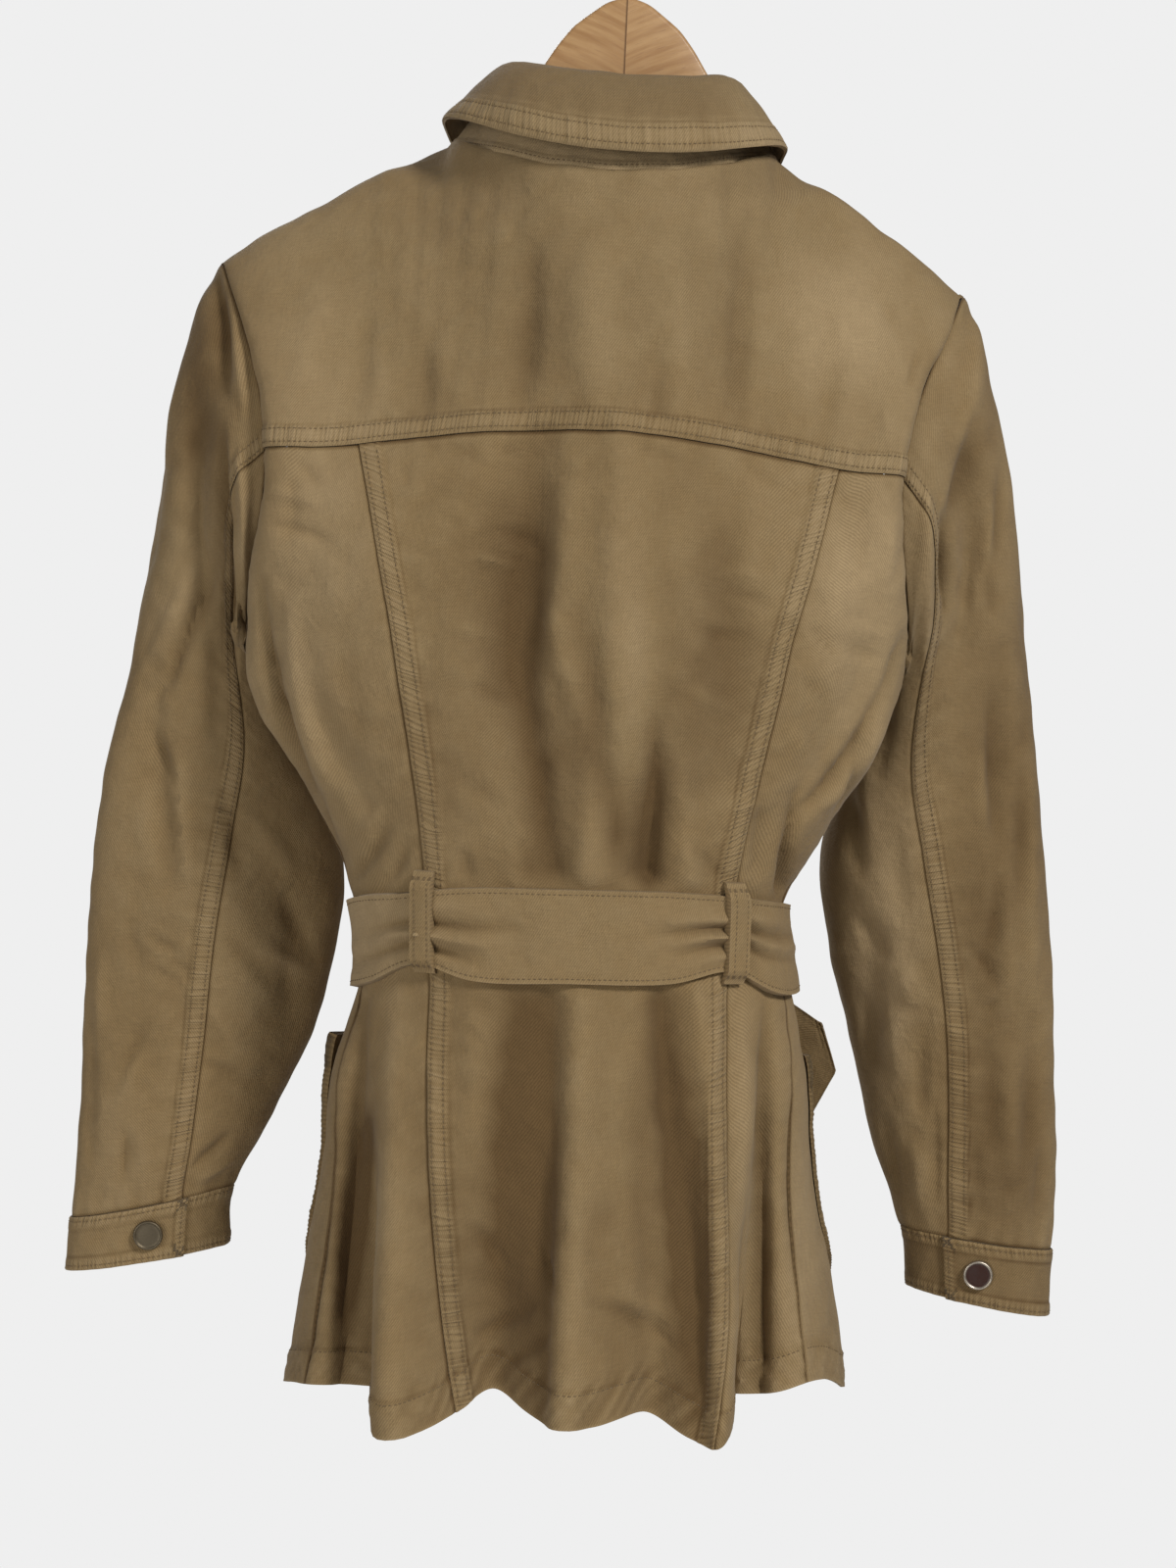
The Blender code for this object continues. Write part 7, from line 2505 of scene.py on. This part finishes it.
def look_matrix(place: Sequence[float], target: Sequence[float], roll: float = 0.0) -> Matrix:
    """The matrix of an object that looks down its own -Z at a target.

    Args:
        place: where it stands.
        target: what it looks at.
        roll: how far it is turned about the line of sight, in degrees.

    Returns:
        The 4 by 4 matrix.
    """
    place, target = np.array(place, float), np.array(target, float)
    ahead = unit(target - place)
    right = unit(np.cross(ahead, np.array([0.0, 0.0, 1.0])))
    up = np.cross(right, ahead)
    turn = math.radians(roll)
    matrix = np.eye(4)
    matrix[:3, 0] = math.cos(turn) * right + math.sin(turn) * up
    matrix[:3, 1] = math.cos(turn) * up - math.sin(turn) * right
    matrix[:3, 2] = -ahead
    matrix[:3, 3] = place
    return Matrix(matrix.tolist())


@dataclass(frozen=True)
class SoftLight:
    """One large soft light, by its place, the point it faces, its size, power and colour."""

    name: str
    place: tuple[float, float, float]
    size: float
    power: float
    target: tuple[float, float, float] = (0.0, 0.0, -0.50)
    colour: Colour = (1.0, 1.0, 1.0)

    def build(self) -> None:
        """Hangs the light."""
        lamp = bpy.data.lights.new(self.name, "AREA")
        lamp.shape, lamp.size, lamp.energy, lamp.color = "DISK", self.size, self.power, self.colour
        placed(self.name, lamp).matrix_world = look_matrix(self.place, self.target)


@dataclass(frozen=True)
class Studio:
    """The camera, the pale surroundings, the soft lights and the floor."""

    eye: tuple[float, float, float] = (0.0026, 1.42, -0.502)
    target: tuple[float, float, float] = (0.0026, 0.0, -0.502)
    roll: float = 2.6
    lens: float = 57.5676
    sensor: float = 36.0
    backdrop: float = 0.863
    ambient: float = 0.19
    ambient_colour: Colour = (0.97, 0.985, 1.0)
    floor_z: float = -1.70
    floor_radius: float = 2.0
    lights: tuple[SoftLight, ...] = (
        SoftLight("key_light", (-2.5, 3.0, 2.0), 1.1, 150.0),
        SoftLight("fill_light", (2.3, 3.3, -0.7), 2.2, 55.0),
        SoftLight("front_light", (0.9, -2.2, 0.6), 1.8, 34.0),
    )

    def build(self) -> None:
        """Sets the camera, the world, the lights and the floor."""
        scene = bpy.context.scene
        scene.view_settings.view_transform = "Standard"
        data = bpy.data.cameras.new("camera")
        data.lens, data.sensor_width, data.sensor_fit, data.clip_start = self.lens, self.sensor, "AUTO", 0.01
        scene.camera = placed("camera", data)
        scene.camera.matrix_world = look_matrix(self.eye, self.target, self.roll)
        self.room(scene)
        for light in self.lights:
            light.build()
        turn = np.arange(64) * FULL_TURN / 64
        ring = np.stack([np.cos(turn) * self.floor_radius, np.sin(turn) * self.floor_radius], -1)
        mesh = bpy.data.meshes.new("floor")
        mesh.from_pydata([(x, y, self.floor_z) for x, y in ring.tolist()], [], [tuple(range(64))])
        mesh.materials.append(FloorFinish().build())
        placed("floor", mesh)

    def room(self, scene: bpy.types.Scene) -> None:
        """The pale surroundings: one tone behind the coat, and a dimmer one that lights it.

        Args:
            scene: the scene.
        """
        scene.world = bpy.data.worlds.new("pale_room")
        scene.world.use_nodes = True
        net = Net(scene.world.node_tree)
        net.tree.nodes.clear()
        seen = net.only("ShaderNodeBackground", None, Color=(1.0, 1.0, 1.0, 1.0), Strength=self.backdrop)
        fill = net.only("ShaderNodeBackground", None, Color=(*self.ambient_colour, 1.0), Strength=self.ambient)
        straight = net.node("ShaderNodeLightPath").outputs["Is Camera Ray"]
        both = net.only("ShaderNodeMixShader", None, i0=straight, i1=fill, i2=seen)
        net.node("ShaderNodeOutputWorld", None, Surface=both)


def main() -> None:
    """Builds the coat on its hanger, sub-assembly by sub-assembly."""
    logging.basicConfig(level=logging.INFO, format="%(name)s: %(message)s")
    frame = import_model()
    LOG.info("frame of %d nodes", len(frame["nodes"]))
    twill, wash, puckers = twill_group(), wash_group(), pucker_group()
    bench = Bench(
        twill=TwillFinish().build(twill, wash, puckers),
        thread=ThreadFinish().build(),
        nickel=MetalFinish("dull_nickel", (0.150, 0.120, 0.078), (0.42, 0.36, 0.27), 0.42, 0.85).build(wash),
        enamel=MetalFinish("brown_enamel", (0.034, 0.009, 0.004), (0.50, 0.44, 0.36), 0.34, 0.0).build(wash),
        wood=WoodFinish().build(wash),
        steel=MetalFinish("bright_steel", (0.62, 0.62, 0.60), (0.62, 0.62, 0.60), 0.20, 1.0, 0.2).build(wash),
    )
    Studio().build()
    sleeves = [Sleeve(bench, side) for side in Side]
    for assembly in (Hanger(bench), CoatBody(bench), *sleeves, Collar(bench), Belt(bench), FrontButtons(bench)):
        assembly.build()


if __name__ == "__main__":
    main()
